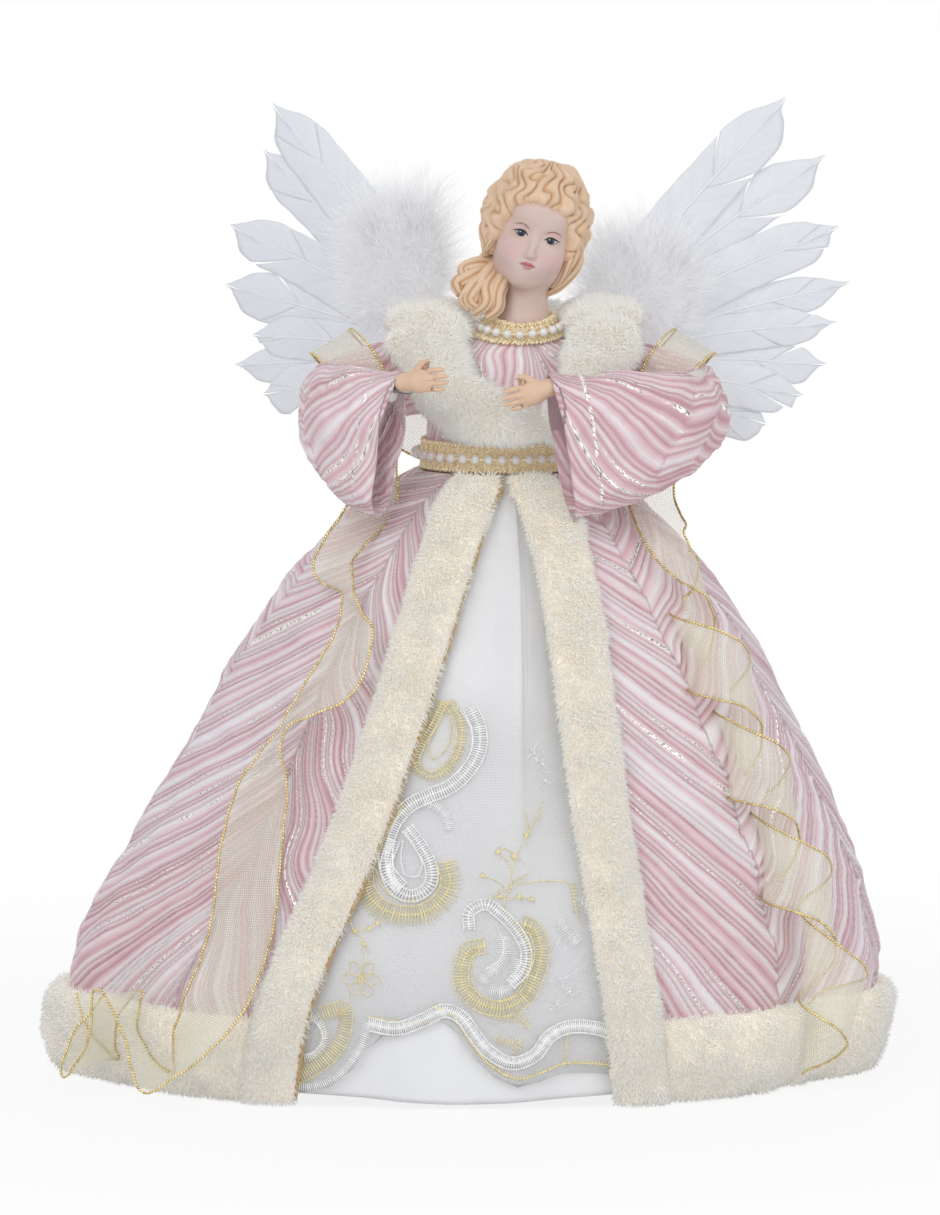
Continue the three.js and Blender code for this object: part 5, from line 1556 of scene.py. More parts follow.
def white_stitching():
    """White scrolls, their comma centres, the border and small sprigs."""
    work = Stitching()
    chain, fan = work.chain, work.fan
    fan(
        -2.8, 2.2, 1.6, 0.85, (-2.6, -0.3, 2.1), (735, 60), (765, 130), (765, 210), (725, 285), (660, 345),
        (590, 375), (520, 410), (465, 470), (435, 560), (440, 640), (485, 700),
    )
    chain(1.2, (700, 70), (735, 140), (730, 220), (690, 290))
    fan(
        -1.0, 3.2, 1.6, 0.85, (-0.9, 1.1, 3.1), (500, 500), (545, 560), (580, 630), (575, 690), (520, 722),
        (465, 690), (445, 620), (470, 540),
    )
    chain(1.5, (500, 505), (535, 560), (560, 620), (545, 660), (505, 660), (485, 610), (490, 540))
    fan(-2.4, 1.2, 1.1, 0.62, (), (575, 390), (625, 415), (655, 455), (660, 495))
    fan(
        -1.2, 2.6, 1.6, 0.85, (-1.1, 0.7, 2.5), (735, 850), (735, 795), (785, 770), (830, 800), (880, 850),
        (920, 920), (915, 990), (870, 1040),
    )
    chain(1.4, (830, 850), (850, 910), (835, 960), (790, 990))
    fan(-2.2, 2.2, 1.1, 0.62, (), (850, 880), (850, 950), (810, 1000), (770, 1040))
    fan(-1.8, 1.8, 1.1, 0.62, (), (900, 960), (890, 1030), (850, 1075), (800, 1070))
    fan(
        -2.2, 2.4, 1.6, 0.85, (-2.1, 0.1, 2.3), (290, 740), (265, 820), (240, 880), (200, 930), (150, 980),
        (120, 1060), (125, 1160),
    )
    tail = [(130, 1165), (185, 1190), (205, 1245), (170, 1295), (120, 1300), (105, 1240)]
    fan(-0.6, 2.2, 1.15, 0.62, (), *tail)
    chain(1.6, *tail)
    rim = [
        (370, 1190), (470, 1205), (560, 1175), (640, 1140), (700, 1165), (745, 1225), (800, 1290),
        (880, 1330), (960, 1300), (1010, 1235), (1080, 1200), (1180, 1205), (1270, 1240), (1300, 1280),
    ]
    fan(-2.4, 2.1, 1.7, 0.66, (-2.3, -0.2, 2.0), *rim)
    chain(1.4, *rim)
    fan(
        -1.6, 1.4, 1.1, 0.7, (), (60, 1390), (140, 1420), (230, 1400), (300, 1340), (345, 1260),
        (365, 1190),
    )
    fan(-2.0, 2.4, 1.1, 0.7, (), (1050, 820), (1080, 870), (1110, 900))
    for start, end in (((1010, 1040), (1125, 990)), ((1050, 1030), (1085, 1085)), ((1010, 950), (1050, 880))):
        chain(1.0, start, ((start[0] + end[0]) / 2, (start[1] + end[1]) / 2 + 8), end)
    for centre in ((990, 260), (960, 220), (1000, 320), (1040, 1120), (1085, 1075), (1130, 760)):
        for turn in turns_of(5):
            way = np.array((math.cos(turn), math.sin(turn))) * 30
            place = np.array(centre)
            chain(1.0, place, place + way * 0.5 + way[::-1] * 0.2, place + way)
    return work


class ANGEL_OT_underskirt(Operator):
    """Makes the satin underskirt, the sheer apron and its embroidery."""

    bl_idname = "angel.underskirt"
    bl_label = "Underskirt and apron"

    def execute(self, context):
        satin_piece()
        apron_piece()
        gold = silk_thread("gold_silk", colours().gold_silk, 0.25)
        white = silk_thread("white_silk", (0.95, 0.95, 0.95), 0.0)
        gold_stitching().piece("gold_embroidery", gold, 3)
        white_stitching().piece("white_embroidery", white, 4)
        return {"FINISHED"}


STRIP_HALF = 8.9
HEM_TOP, HEM_FOOT = 28.6, 1.6
HEM_ROOM = 9.6
FUR_SEEDS = {
    "strip": {"right": 41, "left": 42}, "hem": {"right": 43, "left": 44},
    "lapel": {"right": 45, "left": 46}, "collar": 47,
}


def fur_pad(name, nodes, angle, height, full, step, grow, tufts, length, seed, **settings):
    """Plush on the skirt: a pad whose tufts lie down it, with a bare back."""
    outer = skirt_point(angle, height, 1.8 + full)
    inner = skirt_point(angle[::step, ::step], height[::step, ::step], 1.6)
    values = {"comb": tangents(outer), "cover": 1.0, "grow": grow}
    shape = slab(outer, inner, inside={"cover": 0.0}, **values)
    pile_piece(name, shape, "gown", nodes, plush(), "fur", tufts, length, seed, **settings)


def fur_strip(side):
    """Plush strip along one edge of the front opening; the right one shows its brown backing."""
    rows, columns, step = 121, 25, 4
    along = np.linspace(0, 1, rows)[:, None]
    across = np.linspace(0, 1, columns)[None, :]
    height = np.maximum(row_height(along, 0.35), 2.2)
    edge = right_edge(height) if side == "right" else left_edge(height)
    reach = np.minimum(STRIP_HALF / skirt_shape(height)[0], math.radians(15))
    angle = edge + (2 * across - 1) * reach
    height = np.broadcast_to(height, angle.shape)
    swell = pad_swell(across, 0.3) * np.minimum(1, 0.5 + 3 * along)
    full = 6.3 + 1.0 * lumps(skirt_point(angle, height, 4), 15, 31)
    grow = 0.75 + 0.25 * pad_swell(across, 0.2)
    if side == "right":
        line = skirt_point(angle[2:, -1] + 0.004, height[2:, -1], 2.6)
        points, faces = tube(line, 0.75 + 0.25 * np.sin(run_length(line) * 0.21), 8)
        backing = plain_body("fur_backing", (0.56, 0.38, 0.17), (0.7, 0.85), 120, 0.2)
        mesh = Shape().add(points, faces).closed("plush_backing")
        put("plush_backing", mesh, backing, "gown", (), "fur")
    name, nodes, seed = f"plush_strip_{side}", [f"fur_strip_{side}"], FUR_SEEDS["strip"][side]
    length = sizes().pile_length
    fur_pad(
        name, nodes, angle, height, full * swell, step, grow, 30000, length, seed, lean=0.75, spread=0.42,
    )


def fur_hem(side):
    """One half of the plush ring round the hem, from the front strip to the middle of the back."""
    rows, columns, step = 31, 201, 5
    along = np.linspace(0, 1, rows)[:, None]
    height = mix(HEM_TOP, HEM_FOOT, along)
    share = np.linspace(0, 1, columns)[None, :]
    angle = half_angles(side, height, share, 0.002, HEM_ROOM / HEM_HALF[0])
    height = np.broadcast_to(height, angle.shape)
    plain = skirt_point(angle, height, 4)
    full = 6.4 + 1.4 * lumps(plain, 24, 33) + 0.6 * lumps(plain, 9, 34)
    full, grow = full * pad_swell(along, 0.3), mix(0.8, 1.0, along)
    name, seed, length = f"plush_hem_{side}", FUR_SEEDS["hem"][side], sizes().pile_length * 1.1
    fur_pad(name, ["fur_hem"], angle, height, full, step, grow, 45000, length, seed, lean=0.5, spread=0.5)


ROLL_STATIONS, ROLL_SIDES = 61, 28
CREASE_SHARE = 0.34


def roll_points(path, width_at, half_width, half_thickness, bow):
    """Rings of a soft roll along a curve, wide along its own width and bowed round the body."""
    length = np.linspace(0, 1, ROLL_STATIONS)
    centre = spline(path, length)
    ahead = unit(spline_ahead(path, length))
    width = unit(width_at(length))
    out = unit(np.cross(ahead, width))
    taper = np.minimum(1, np.minimum(0.55 + 6 * length, 0.85 + 6 * (1 - length)))
    turn = turns_of(ROLL_SIDES)[None, :, None]
    wide = (half_width(length) * taper)[:, None, None]
    thick = (half_thickness * taper)[:, None, None]
    ring = centre[:, None] + width[:, None] * wide * np.cos(turn) + out[:, None] * thick * np.sin(turn)
    ring[..., 1:2] += bow * smooth(length, 0.5, 0.9)[:, None, None] * np.cos(turn) ** 2
    return ring, centre, ahead


def fur_roll(name, node, path, width_at, half_width, half_thickness, tufts, seed, crease=0.0, bow=0.0):
    """A plush roll: a lapel of the shawl or the collar behind the neck."""
    ring, centre, ahead = roll_points(path, width_at, half_width, half_thickness, bow)
    dent = np.exp(-(((np.linspace(0, 1, ROLL_STATIONS) - CREASE_SHARE) / 0.035) ** 2))[:, None]
    bulge = 1 + 0.13 * lumps(ring, 13, seed) - crease * dent
    ring = centre[:, None] + (ring - centre[:, None]) * bulge[..., None]
    points, faces = capped_rings(ring, centre[[0, -1]])
    comb = np.concatenate([np.repeat(ahead, ROLL_SIDES, axis=0), ahead[[0, -1]]])
    shape = Shape().add(points, faces, comb=comb, cover=1.0, grow=1.0)
    settings = {"length": sizes().pile_length * 1.5, "seed": seed, "lean": 0.8, "spread": 0.6}
    pile_piece(name, shape, "gown", [node], plush(), "fur", tufts, **settings)


# How high a lapel rides on the shoulder, how far out, and where it meets the waist
LAPEL_RIDE = {"right": 19.5, "left": 21}
LAPEL_OUT = {"right": 0, "left": 1.7}
LAPEL_WAIST = {"right": 5.5, "left": 17.5}
LAPEL_HALF = {"right": 20.5, "left": 11}
LAPEL_CREASE = {"right": 0.0, "left": 0.3}
LAPEL_BOW = {"right": 6.0, "left": 2.0}
LAPEL_FRONT = 24.85
NAPE = 22.35
COLLAR = [
    ("right", 18, 5.5, 14), ("right", 10, 1.5, 16.5), ("right", 0, 0, 17), ("left", 10, 1.5, 16.5),
    ("left", 18, 5.5, 14),
]


def lapel_path(side):
    """Points of one lapel, over the shoulder and down the front to the waist."""
    ride, out, waist = LAPEL_RIDE[side], LAPEL_OUT[side], LAPEL_WAIST[side]
    points = []
    for turn in (math.radians(degrees) for degrees in (-38, -8, 25, 58)):
        forward, rise = ride * math.sin(turn), ride * math.cos(turn)
        points.append(beside_pivot(side, ARMHOLE_REACH + out, forward, rise))
    for share, forward, rise in ((0.3, -0.7, 0), (0.7, 2, -8), (1, 3, -15.5)):
        points.append(beside_pivot(side, mix(ARMHOLE_REACH, waist, share), LAPEL_FRONT + forward, rise))
    return points


def lapel_piece(side):
    """One lapel of the plush shawl."""

    def width_at(length):
        ahead = np.full(len(length), float(SIDES[side]))
        return stacked(ahead, 0.5 * smooth(length, 0.45, 0.75), 0.0 * length)

    def half_width(length):
        return 0.9 * mix(11.8, LAPEL_HALF[side], smooth(length, 0.55, 0.9))

    name, node, seed = f"plush_lapel_{side}", f"fur_lapel_{side}", FUR_SEEDS["lapel"][side]
    settings = {"crease": LAPEL_CREASE[side], "bow": LAPEL_BOW[side]}
    fur_roll(name, node, lapel_path(side), width_at, half_width, 4.3, 23000, seed, **settings)


def collar_piece():
    """Plush collar behind the neck."""
    path = [beside_pivot(side, reach, forward - NAPE, rise) for side, reach, forward, rise in COLLAR]

    def width_at(length):
        return stacked(0 * length, 0 * length, np.ones(len(length)))

    def half_width(length):
        return np.full(len(length), 5.0)

    fur_roll("plush_collar", "fur_collar", path, width_at, half_width, 3.3, 11000, FUR_SEEDS["collar"])


class ANGEL_OT_plush(Operator):
    """Makes the plush trim: front strips, hem ring, lapels and collar."""

    bl_idname = "angel.plush"
    bl_label = "Plush trim"

    def execute(self, context):
        for side in SIDES:
            fur_strip(side)
            fur_hem(side)
            lapel_piece(side)
        collar_piece()
        return {"FINISHED"}


HEAD_COS, HEAD_SIN = math.cos(HEAD_TILT), math.sin(HEAD_TILT)


def to_head(points):
    """World points in the head's own frame: x to the figure's left, -y forward, z up the head."""
    x, y, z = np.moveaxis(points - np.array(HEAD_PLACE), -1, 0)
    return np.stack([HEAD_COS * x - HEAD_SIN * z, y, HEAD_SIN * x + HEAD_COS * z], -1)


def from_head(points):
    """Points of the head's own frame in the world."""
    x, y, z = np.moveaxis(np.asarray(points, float), -1, 0)
    return np.stack([HEAD_COS * x + HEAD_SIN * z, y, HEAD_COS * z - HEAD_SIN * x], -1) + np.array(HEAD_PLACE)


def egg(points, centre, half):
    """Signed distance to an ellipsoid, near its surface."""
    scaled = (points - np.array(centre)) / np.array(half)
    near = np.linalg.norm(scaled, axis=-1)
    steep = np.linalg.norm(scaled / np.array(half), axis=-1)
    return near * (near - 1) / np.maximum(steep, 1e-9)


def rod(points, start, end, start_radius, end_radius):
    """Signed distance to a tapered rod with round ends."""
    start, end = np.array(start, float), np.array(end, float)
    line = end - start
    share = np.clip(((points - start) @ line) / line.dot(line), 0, 1)
    near = np.linalg.norm(points - start - share[..., None] * line, axis=-1)
    return near - mix(start_radius, end_radius, share)


def melt(a, b, size):
    """Smooth union of two distances."""
    share = np.clip(0.5 + 0.5 * (b - a) / size, 0, 1)
    return mix(b, a, share) - size * share * (1 - share)


def carve(a, b, size):
    """Distance a with b smoothly taken out of it."""
    return -melt(-a, b, size)


# Middle, half sizes and melt of the head's ellipsoids; the ones in pairs stand on both sides
SKULL = ((0, 0.4, 2.2), (13.9, 15.2, 17.0))
FACE_SINGLE, FACE_PAIR = False, True
FACE_MASSES = [
    (FACE_SINGLE, (0, -4.4, -6.2), (11.0, 10.6, 12.6), 3),  # face
    (FACE_PAIR, (5.9, -9.6, -7.2), (5.0, 4.6, 5.2), 3),  # cheeks
    (FACE_SINGLE, (0, -10.2, -14.3), (4.8, 4.4, 4.2), 3.6),  # chin
    (FACE_PAIR, (6.4, -3.6, -11.2), (4.6, 6.0, 5.4), 3),  # jaw
    (FACE_SINGLE, (0, -11.8, 6.4), (9.0, 4.2, 5.0), 3),  # forehead
    (FACE_SINGLE, (0, -13.2, -9.9), (4.6, 2.6, 3.6), 3.2),  # mouth
]
EYE_HOLLOW = ((5.3, -17.2, -0.2), (3.4, 3.2, 2.1))
EYE_BALL = ((5.15, -11.7, -0.3), (3.3, 3.0, 2.6))
FACE_FEATURES = [
    (FACE_SINGLE, (0, -16.7, -6.4), (1.25, 1.4, 1.2), 1.1),  # tip of the nose
    (FACE_PAIR, (1.15, -15.6, -6.8), (0.85, 1.1, 0.8), 0.9),  # its wings
    (FACE_PAIR, (0.9, -15.2, -9.55), (1.5, 0.95, 0.6), 0.9),  # upper lip
    (FACE_SINGLE, (0, -15.1, -10.8), (1.7, 1.0, 0.72), 1.0),  # lower lip
]
NOSE_BRIDGE = ((0, -13.7, 1.6), (0, -16.3, -5.8), 0.7, 1.05)
MOUTH_LINE = ((0, -16.45, -10.15), (2.3, -15.5, -10.1), 0.18, 0.12)
NECK = ((16.4, -0.2, 243), (20.3, -0.6, 270), 8.0, 7.0)
SHOULDER_PLATE = ((16.2, 0, 241), (15, 11.5, 8.2))


def head_distance(world):
    """Signed distance to the moulded head, neck and shoulder plate."""
    p = to_head(world)
    both = np.stack([np.abs(p[..., 0]), p[..., 1], p[..., 2]], -1)

    def massed(d, masses):
        for pair, middle, half, soft in masses:
            d = melt(d, egg(both if pair else p, middle, half), soft)
        return d

    d = massed(egg(p, *SKULL), FACE_MASSES)
    d = carve(d, egg(both, *EYE_HOLLOW), 1.8)
    d = melt(d, egg(both, *EYE_BALL), 0.9)
    d = massed(melt(d, rod(p, *NOSE_BRIDGE), 2.0), FACE_FEATURES)
    d = carve(d, rod(both, *MOUTH_LINE), 0.5)
    return melt(melt(d, rod(world, *NECK), 3.5), egg(world, *SHOULDER_PLATE), 9)


def slope_of(distance, points, step):
    """Rise of a distance along each axis over two steps."""
    steps = step * np.eye(3)
    return np.stack([distance(points + axis) - distance(points - axis) for axis in steps], -1)


def settled(mesh, distance, rounds=7):
    """Moves a mesh's points onto the zero level of a distance, in millimetres."""
    points = points_of(mesh).astype(float) / MM
    step, most = 0.05, 1.5
    for _ in range(rounds):
        here = distance(points)
        slope = slope_of(distance, points, step) / (2 * step)
        steep = np.maximum((slope**2).sum(-1, keepdims=True), 0.2)
        points -= np.clip(here[:, None] * slope / steep, -most, most)
    set_points(mesh, points * MM)
    return points


def remeshed(name, parts, voxel):
    """A closed mesh around overlapping parts, from a voxel remesh; sizes in millimetres."""
    shape = Shape()
    for points, faces in parts:
        shape.add(points, faces)

    def prepare(modifier):
        modifier.mode = "VOXEL"
        modifier.voxel_size = voxel * MM

    return evaluated(name, shape.mesh(name), "REMESH", prepare)


def ball(centre, half, turned=None, rings=16, sides=24):
    """Points and faces of an ellipsoid; turned carries its points to another frame."""
    rise = np.linspace(0, np.pi, rings + 1)[1:-1, None]
    turn = turns_of(sides)[None, :]
    grid = stacked(np.sin(rise) * np.cos(turn), np.sin(rise) * np.sin(turn), np.cos(rise))
    points, (wall, *caps) = capped_rings(grid, [(0, 0, 1), (0, 0, -1)])
    points = points * np.array(half) + np.array(centre)
    faces = [wall[:, ::-1], *(np.roll(cap[:, ::-1], 1, axis=1) for cap in caps)]
    return (turned(points) if turned else points), faces


def face_front(places):
    """The face's surface and its outward direction at places (x, z) of the head's frame."""
    x, z = np.asarray(places, float).T
    y = np.full(len(x), -22.0)
    for _ in range(40):
        y = y + np.clip(head_distance(from_head(stacked(x, y, z))), -1, 1) * 0.8
    world = from_head(stacked(x, y, z))
    return world, unit(slope_of(head_distance, world, 0.1))


PAINT_ROOT = 0.15


def decal(outline, lift, rings=4):
    """A thin closed patch of paint on the face inside an outline of (x, z) places."""
    outline = np.asarray(outline, float)
    count = len(outline)
    centre = outline.mean(axis=0)
    shares = np.linspace(0, 1, rings + 1)[1:]
    places = np.concatenate([[centre], *(mix(centre, outline, share) for share in shares)])
    point, out = face_front(places)
    height = np.concatenate([[1.0], np.repeat(np.sqrt(1 - shares**2 * 0.9), count)])
    top = point + out * (lift * (0.35 + 0.65 * height))[:, None]
    size = len(places)
    first = 1 + np.arange(count)
    second = np.roll(first, -1)
    inner = np.stack([np.zeros(count, int), first, second], -1)
    rest = []
    for k in range(rings - 1):
        a, b = first + k * count, second + k * count
        rest.append(np.stack([a, a + count, b + count, b], -1))
    rest = np.concatenate(rest)
    a, b = first + (rings - 1) * count, second + (rings - 1) * count
    side = np.stack([a, a + size, b + size, b], -1)
    points = np.concatenate([top, point - out * PAINT_ROOT])
    fans = np.concatenate([inner, inner[:, ::-1] + size])
    return points, [fans, np.concatenate([rest, rest[:, ::-1] + size, side])]


def oval(centre, half, count=28):
    """An outline round a centre."""
    turn = turns_of(count)
    return np.stack([centre[0] + half[0] * np.cos(turn), centre[1] + half[1] * np.sin(turn)], -1)


def stroke_decal(places, widths, lift, count=24):
    """A brush stroke through places (x, z) on the face, with its width along it, as a closed strip."""
    share = np.linspace(0, 1, count)
    flat = flat_spline(places, share)
    way = tangents(flat)
    across = np.stack([-way[:, 1], way[:, 0]], -1)
    wide = np.interp(share, np.linspace(0, 1, len(widths)), widths)[:, None] / 2
    rows = np.stack([flat + across * wide, flat, flat - across * wide])
    point, out = face_front(rows.reshape(-1, 2))
    raised = np.array((0.4, 1.0, 0.4)).repeat(count)[:, None]
    top = (point + out * lift * raised).reshape(3, count, 3)
    return slab(top, (point - out * PAINT_ROOT).reshape(3, count, 3)).parts()[:2]


# Rough balls of the bust before it settles on the head's distance
HEAD_BALLS = [
    ((0, -1, -1), (13.5, 15, 18.5)), ((0, -14.6, -5.5), (2.4, 2.8, 3.6)), ((0, -12, -10.5), (4.6, 4, 4)),
    ((0, -10.5, -14.2), (4.8, 4.2, 4)),
]
SHOULDER_BALLS = [((16.4, 0, 247), (9, 9, 22)), ((16.2, 0, 241), (15, 11.5, 7.5))]


def head_piece():
    """Moulded head, neck and shoulder plate with blushed cheeks."""
    parts = [ball(*row, from_head) for row in HEAD_BALLS] + [ball(*row) for row in SHOULDER_BALLS]
    made = remeshed("bust_skin", parts, 0.36)
    x, y, z = to_head(settled(made, head_distance)).T
    x = np.abs(x)
    front = smooth(-y, 2, 9)

    def dab(strength, middle, half, power=2):
        place = ((x - middle[0]) / half[0]) ** power + ((z - middle[1]) / half[1]) ** 2
        return strength * np.exp(-place) * front

    cheek, nose = dab(0.46, (7.2, -6.8), (3.4, 3.6)), dab(0.22, (0, -6.9), (1.8, 1.5))
    chin, lid = dab(0.2, (0, -16.5), (3.0, 2.2)), dab(0.35, (5.2, 1.5), (2.6, 0.9))
    # The mouth crease and the lid fold get painted shade
    crease = dab(0.5, (0, -10.15), (2.3, 0.25), 4)
    fold = dab(0.4, (5.1, 1.75), (2.9, 0.24), 4)
    store(made, "blush", np.clip(cheek + nose + chin + lid, 0, 1))
    store(made, "groove", np.clip(crease + fold, 0, 1))
    put("bust_skin", made, bisque("face_bisque", "skin", "blush"), "gown", ["bust"], "bisque")


def painted(name, parts, *finish_settings):
    """Patches of paint as one piece."""
    shape = Shape()
    for points, faces in parts:
        shape.add(points, faces)
    put(name, shape.closed(name), paint(*finish_settings), "gown", (), "bisque")


EYES = (-4.75, 5.3)
EYE_LEVEL = -0.35
UPPER_LIP = [
    (-2.3, -9.45), (-1.5, -9.3), (-0.65, -8.9), (0, -9.15), (0.65, -8.9), (1.5, -9.3), (2.3, -9.45),
    (1.3, -9.95), (0.4, -10.15), (0, -10.05), (-0.4, -10.15), (-1.3, -9.95),
]
LOWER_LIP = [
    (-2.1, -9.65), (-1.0, -10.2), (0, -10.22), (1.0, -10.2), (2.1, -9.65), (1.4, -10.85), (0.7, -11.3),
    (0, -11.4), (-0.7, -11.3), (-1.4, -10.85),
]


def eye_parts(x):
    """Patches of one painted eye by name: white, iris, pupil, light, lashes and brow."""
    sign = 1 if x > 0 else -1
    level, outer, inner = EYE_LEVEL, x + sign * 2.3, x - sign * 2.15
    share = np.linspace(0, 1, 16)
    corner = (inner, level - 0.15)
    lid = flat_spline([corner, (x, level + 0.8), (outer, level + 0.2)], share)
    foot = flat_spline([(outer, level + 0.2), (x + sign * 0.2, level - 0.8), corner], share)[1:15]
    upper_lash = [
        (inner - sign * 0.1, level - 0.25), (x - sign * 0.9, level + 0.82), (x + sign * 0.8, level + 0.95),
        (outer + sign * 0.65, level + 0.3),
    ]
    lower_lash = [(outer, level + 0.15), (x + sign * 0.9, level - 0.92), (x - sign * 0.8, level - 0.95)]
    brow = [
        (inner + sign * 0.1, 1.9), (x - sign * 0.3, 2.75), (x + sign * 1.5, 2.7), (outer + sign * 0.7, 1.9),
    ]
    return {
        "eye_whites": [decal(np.concatenate([lid, foot]), 0.05)],
        "eye_irises": [decal(oval((x - 0.1, level), (1.3, 0.98)), 0.11)],
        "eye_pupils": [decal(oval((x - 0.1, level + 0.03), (0.74, 0.72)), 0.16, 3)],
        "eye_lights": [decal(oval((x - 0.55, level + 0.4), (0.22, 0.2), 12), 0.22, 2)],
        "lashes": [
            stroke_decal(upper_lash, [0.22, 0.66, 0.74, 0.2], 0.2),
            stroke_decal(lower_lash, [0.2, 0.14, 0.08], 0.12),
        ],
        "brows": [stroke_decal(brow, [0.25, 0.44, 0.38, 0.12], 0.08)],
    }


EYE_FINISHES = {
    "eye_whites": ("eye_white", (0.56, 0.57, 0.61), 0.25),
    "eye_irises": ("eye_blue", (0.03, 0.045, 0.09), 0.18),
    "eye_pupils": ("eye_black", (0.008, 0.009, 0.013), 0.12),
    "eye_lights": ("eye_light", (0.85, 0.86, 0.88), 0.2),
    "lashes": ("lash_brown", (0.03, 0.022, 0.022), 0.4),
    "brows": ("brow_brown", (0.36, 0.19, 0.13), 0.5),
}


def face_paint():
    """Painted eyes, lashes, brows and lips."""
    eyes = [eye_parts(x) for x in EYES]
    for name, settings in EYE_FINISHES.items():
        painted(name, [part for eye in eyes for part in eye[name]], *settings)
    red = np.array(colours().lips)
    pink = mix(red, np.array(colours().skin), 0.35)
    lips = (("upper_lip", UPPER_LIP, "lip_red", red), ("lower_lip", LOWER_LIP, "lip_pink", pink))
    for name, outline, finish_name, tone in lips:
        line = flat_spline(outline + outline[:1], np.linspace(0, 1, 61)[:-1])
        painted(name, [decal(line, 0.07)], finish_name, tuple(tone), 0.35)


# Height on the palm, length, curl and radius of each finger
FINGERS = ((2.85, 5.0, 0.1, 0.8), (1.0, 6.1, 0.2, 0.84), (-0.85, 5.8, 0.35, 0.82), (-2.6, 4.6, 0.5, 0.74))
FINGER_GAPS = (1.95, 0.1, -1.7)
KNUCKLE = 7.4


def hand_distance(local):
    """Signed distance to a small moulded hand; x ahead, y to the palm, z to the thumb."""
    d = egg(local, (4.4, 0, 0), (4.6, 1.75, 3.5))
    d = melt(d, rod(local, (-1.5, 0, 0), (2.5, 0, 0), 2.7, 2.5), 1.4)
    for z, long, curl, radius in FINGERS:
        joint = (KNUCKLE + long * 0.5, 0.35 + curl, z * 1.06)
        tip = (KNUCKLE + long, 1.5 + 2.2 * curl, z * 1.02)
        lower = rod(local, (KNUCKLE, 0.1, z), joint, radius, radius * 0.94)
        d = melt(d, np.minimum(lower, rod(local, joint, tip, radius * 0.94, radius * 0.74)), 0.28)
    root, joint, tip = (2.2, 0.6, 2.2), (4.6, 1.5, 4.9), (7.2, 2.0, 5.9)
    thumb = np.minimum(rod(local, root, joint, 1.25, 1.05), rod(local, joint, tip, 1.05, 0.75))
    return melt(d, thumb, 0.8)


HAND_SIZE = 1.14
HAND_PITCH = {"right": 6, "left": -17}
HAND_SHIFT = {"right": (2.4, 3.0), "left": (0.6, 0.6)}


def hand_piece(side):
    """Moulded hand at the end of one arm, palm towards the figure, thumb up."""
    end, before = spline(arm_path(side, WIRE_DROP), [1.0, 0.998])
    ahead = end - before
    ahead[2] = 0
    ahead = unit(ahead)
    palm = np.cross((0, 0, 1), ahead) * -SIDES[side]
    pitch = math.radians(HAND_PITCH[side])
    up = np.array((0.0, 0.0, 1.0))
    further, higher = HAND_SHIFT[side]
    end = end + further * ahead + higher * up
    fingers_way = ahead * math.cos(pitch) + up * math.sin(pitch)
    axes = np.stack([fingers_way, palm, up * math.cos(pitch) - ahead * math.sin(pitch)])

    def own(world):
        return (world - end) @ axes.T / HAND_SIZE

    def place(local):
        return local * HAND_SIZE @ axes + end

    rough = [ball((3.6, 0, 0), (5.8, 2, 3.7), place), ball((5, 1.4, 4.4), (3.2, 1.1, 1.9), place)]
    for z, long, curl, radius in FINGERS:
        centre = (7.2 + long * 0.45, 0.7 + curl, z * 1.04)
        rough.append(ball(centre, (long * 0.66, radius * 1.1, radius * 0.85), place))
    name = f"moulded_hand_{side}"
    made = remeshed(name, rough, 0.22)
    x, _, z = own(settled(made, lambda world: hand_distance(own(world)) * HAND_SIZE, 9)).T
    # Painted shade in the gaps between the fingers
    between = sum(0.5 * np.exp(-(((z - gap * (1 + 0.006 * x)) / 0.2) ** 2)) for gap in FINGER_GAPS)
    store(made, "groove", np.clip(between * smooth(x, 6.5, 8), 0, 0.6))
    put(name, made, bisque("hand_bisque", "hand"), f"arm_{side}", [f"hand_{side}"], "hand_bisque")


def padded_arm(side):
    """Arm wrapped in padding, inside the sleeve."""
    path = even_spline(arm_path(side, WIRE_DROP), 61)[2:59]
    run = run_length(path)
    points, faces = tube(path, 3.85 + 0.14 * np.sin(run * 1.4) + 0.06 * np.sin(run * 3.1), 16)
    mesh = Shape().add(points, faces).closed(f"arm_wrap_{side}")
    cloth = plain_body("cotton_wrap", (0.82, 0.79, 0.74), (0.85, 0.95), 200, 0.2)
    made = put(f"arm_wrap_{side}", mesh, cloth, f"arm_{side}", [f"arm_padding_{side}"], "foam")


CROWN_BACK = math.radians(14)
HAIR_MIDDLE = (-0.8, 1, 3)
HAIR_HALF = np.array((17.6, 19.6, 21.0))
SKULL_MIDDLE = np.array((0, 0.4, 2.2))
SKULL_HALF = np.array((13.4, 14.7, 16.5))
# Degrees from the front and degrees down from the crown
HAIRLINE = [(0, 79), (28, 83), (44, 96), (57, 113), (75, 133), (95, 142), (130, 136), (180, 127)]
HAIR_RADIUS = 20
LOCKS = 24


def crown_direction(around, down):
    """Directions from the head's middle: around 0 is the front, down 0 the crown."""
    x, y, z = np.sin(down) * np.sin(around), -np.sin(down) * np.cos(around), np.cos(down)
    c, s = math.cos(CROWN_BACK), math.sin(CROWN_BACK)
    return stacked(x, c * y + s * z, c * z - s * y)


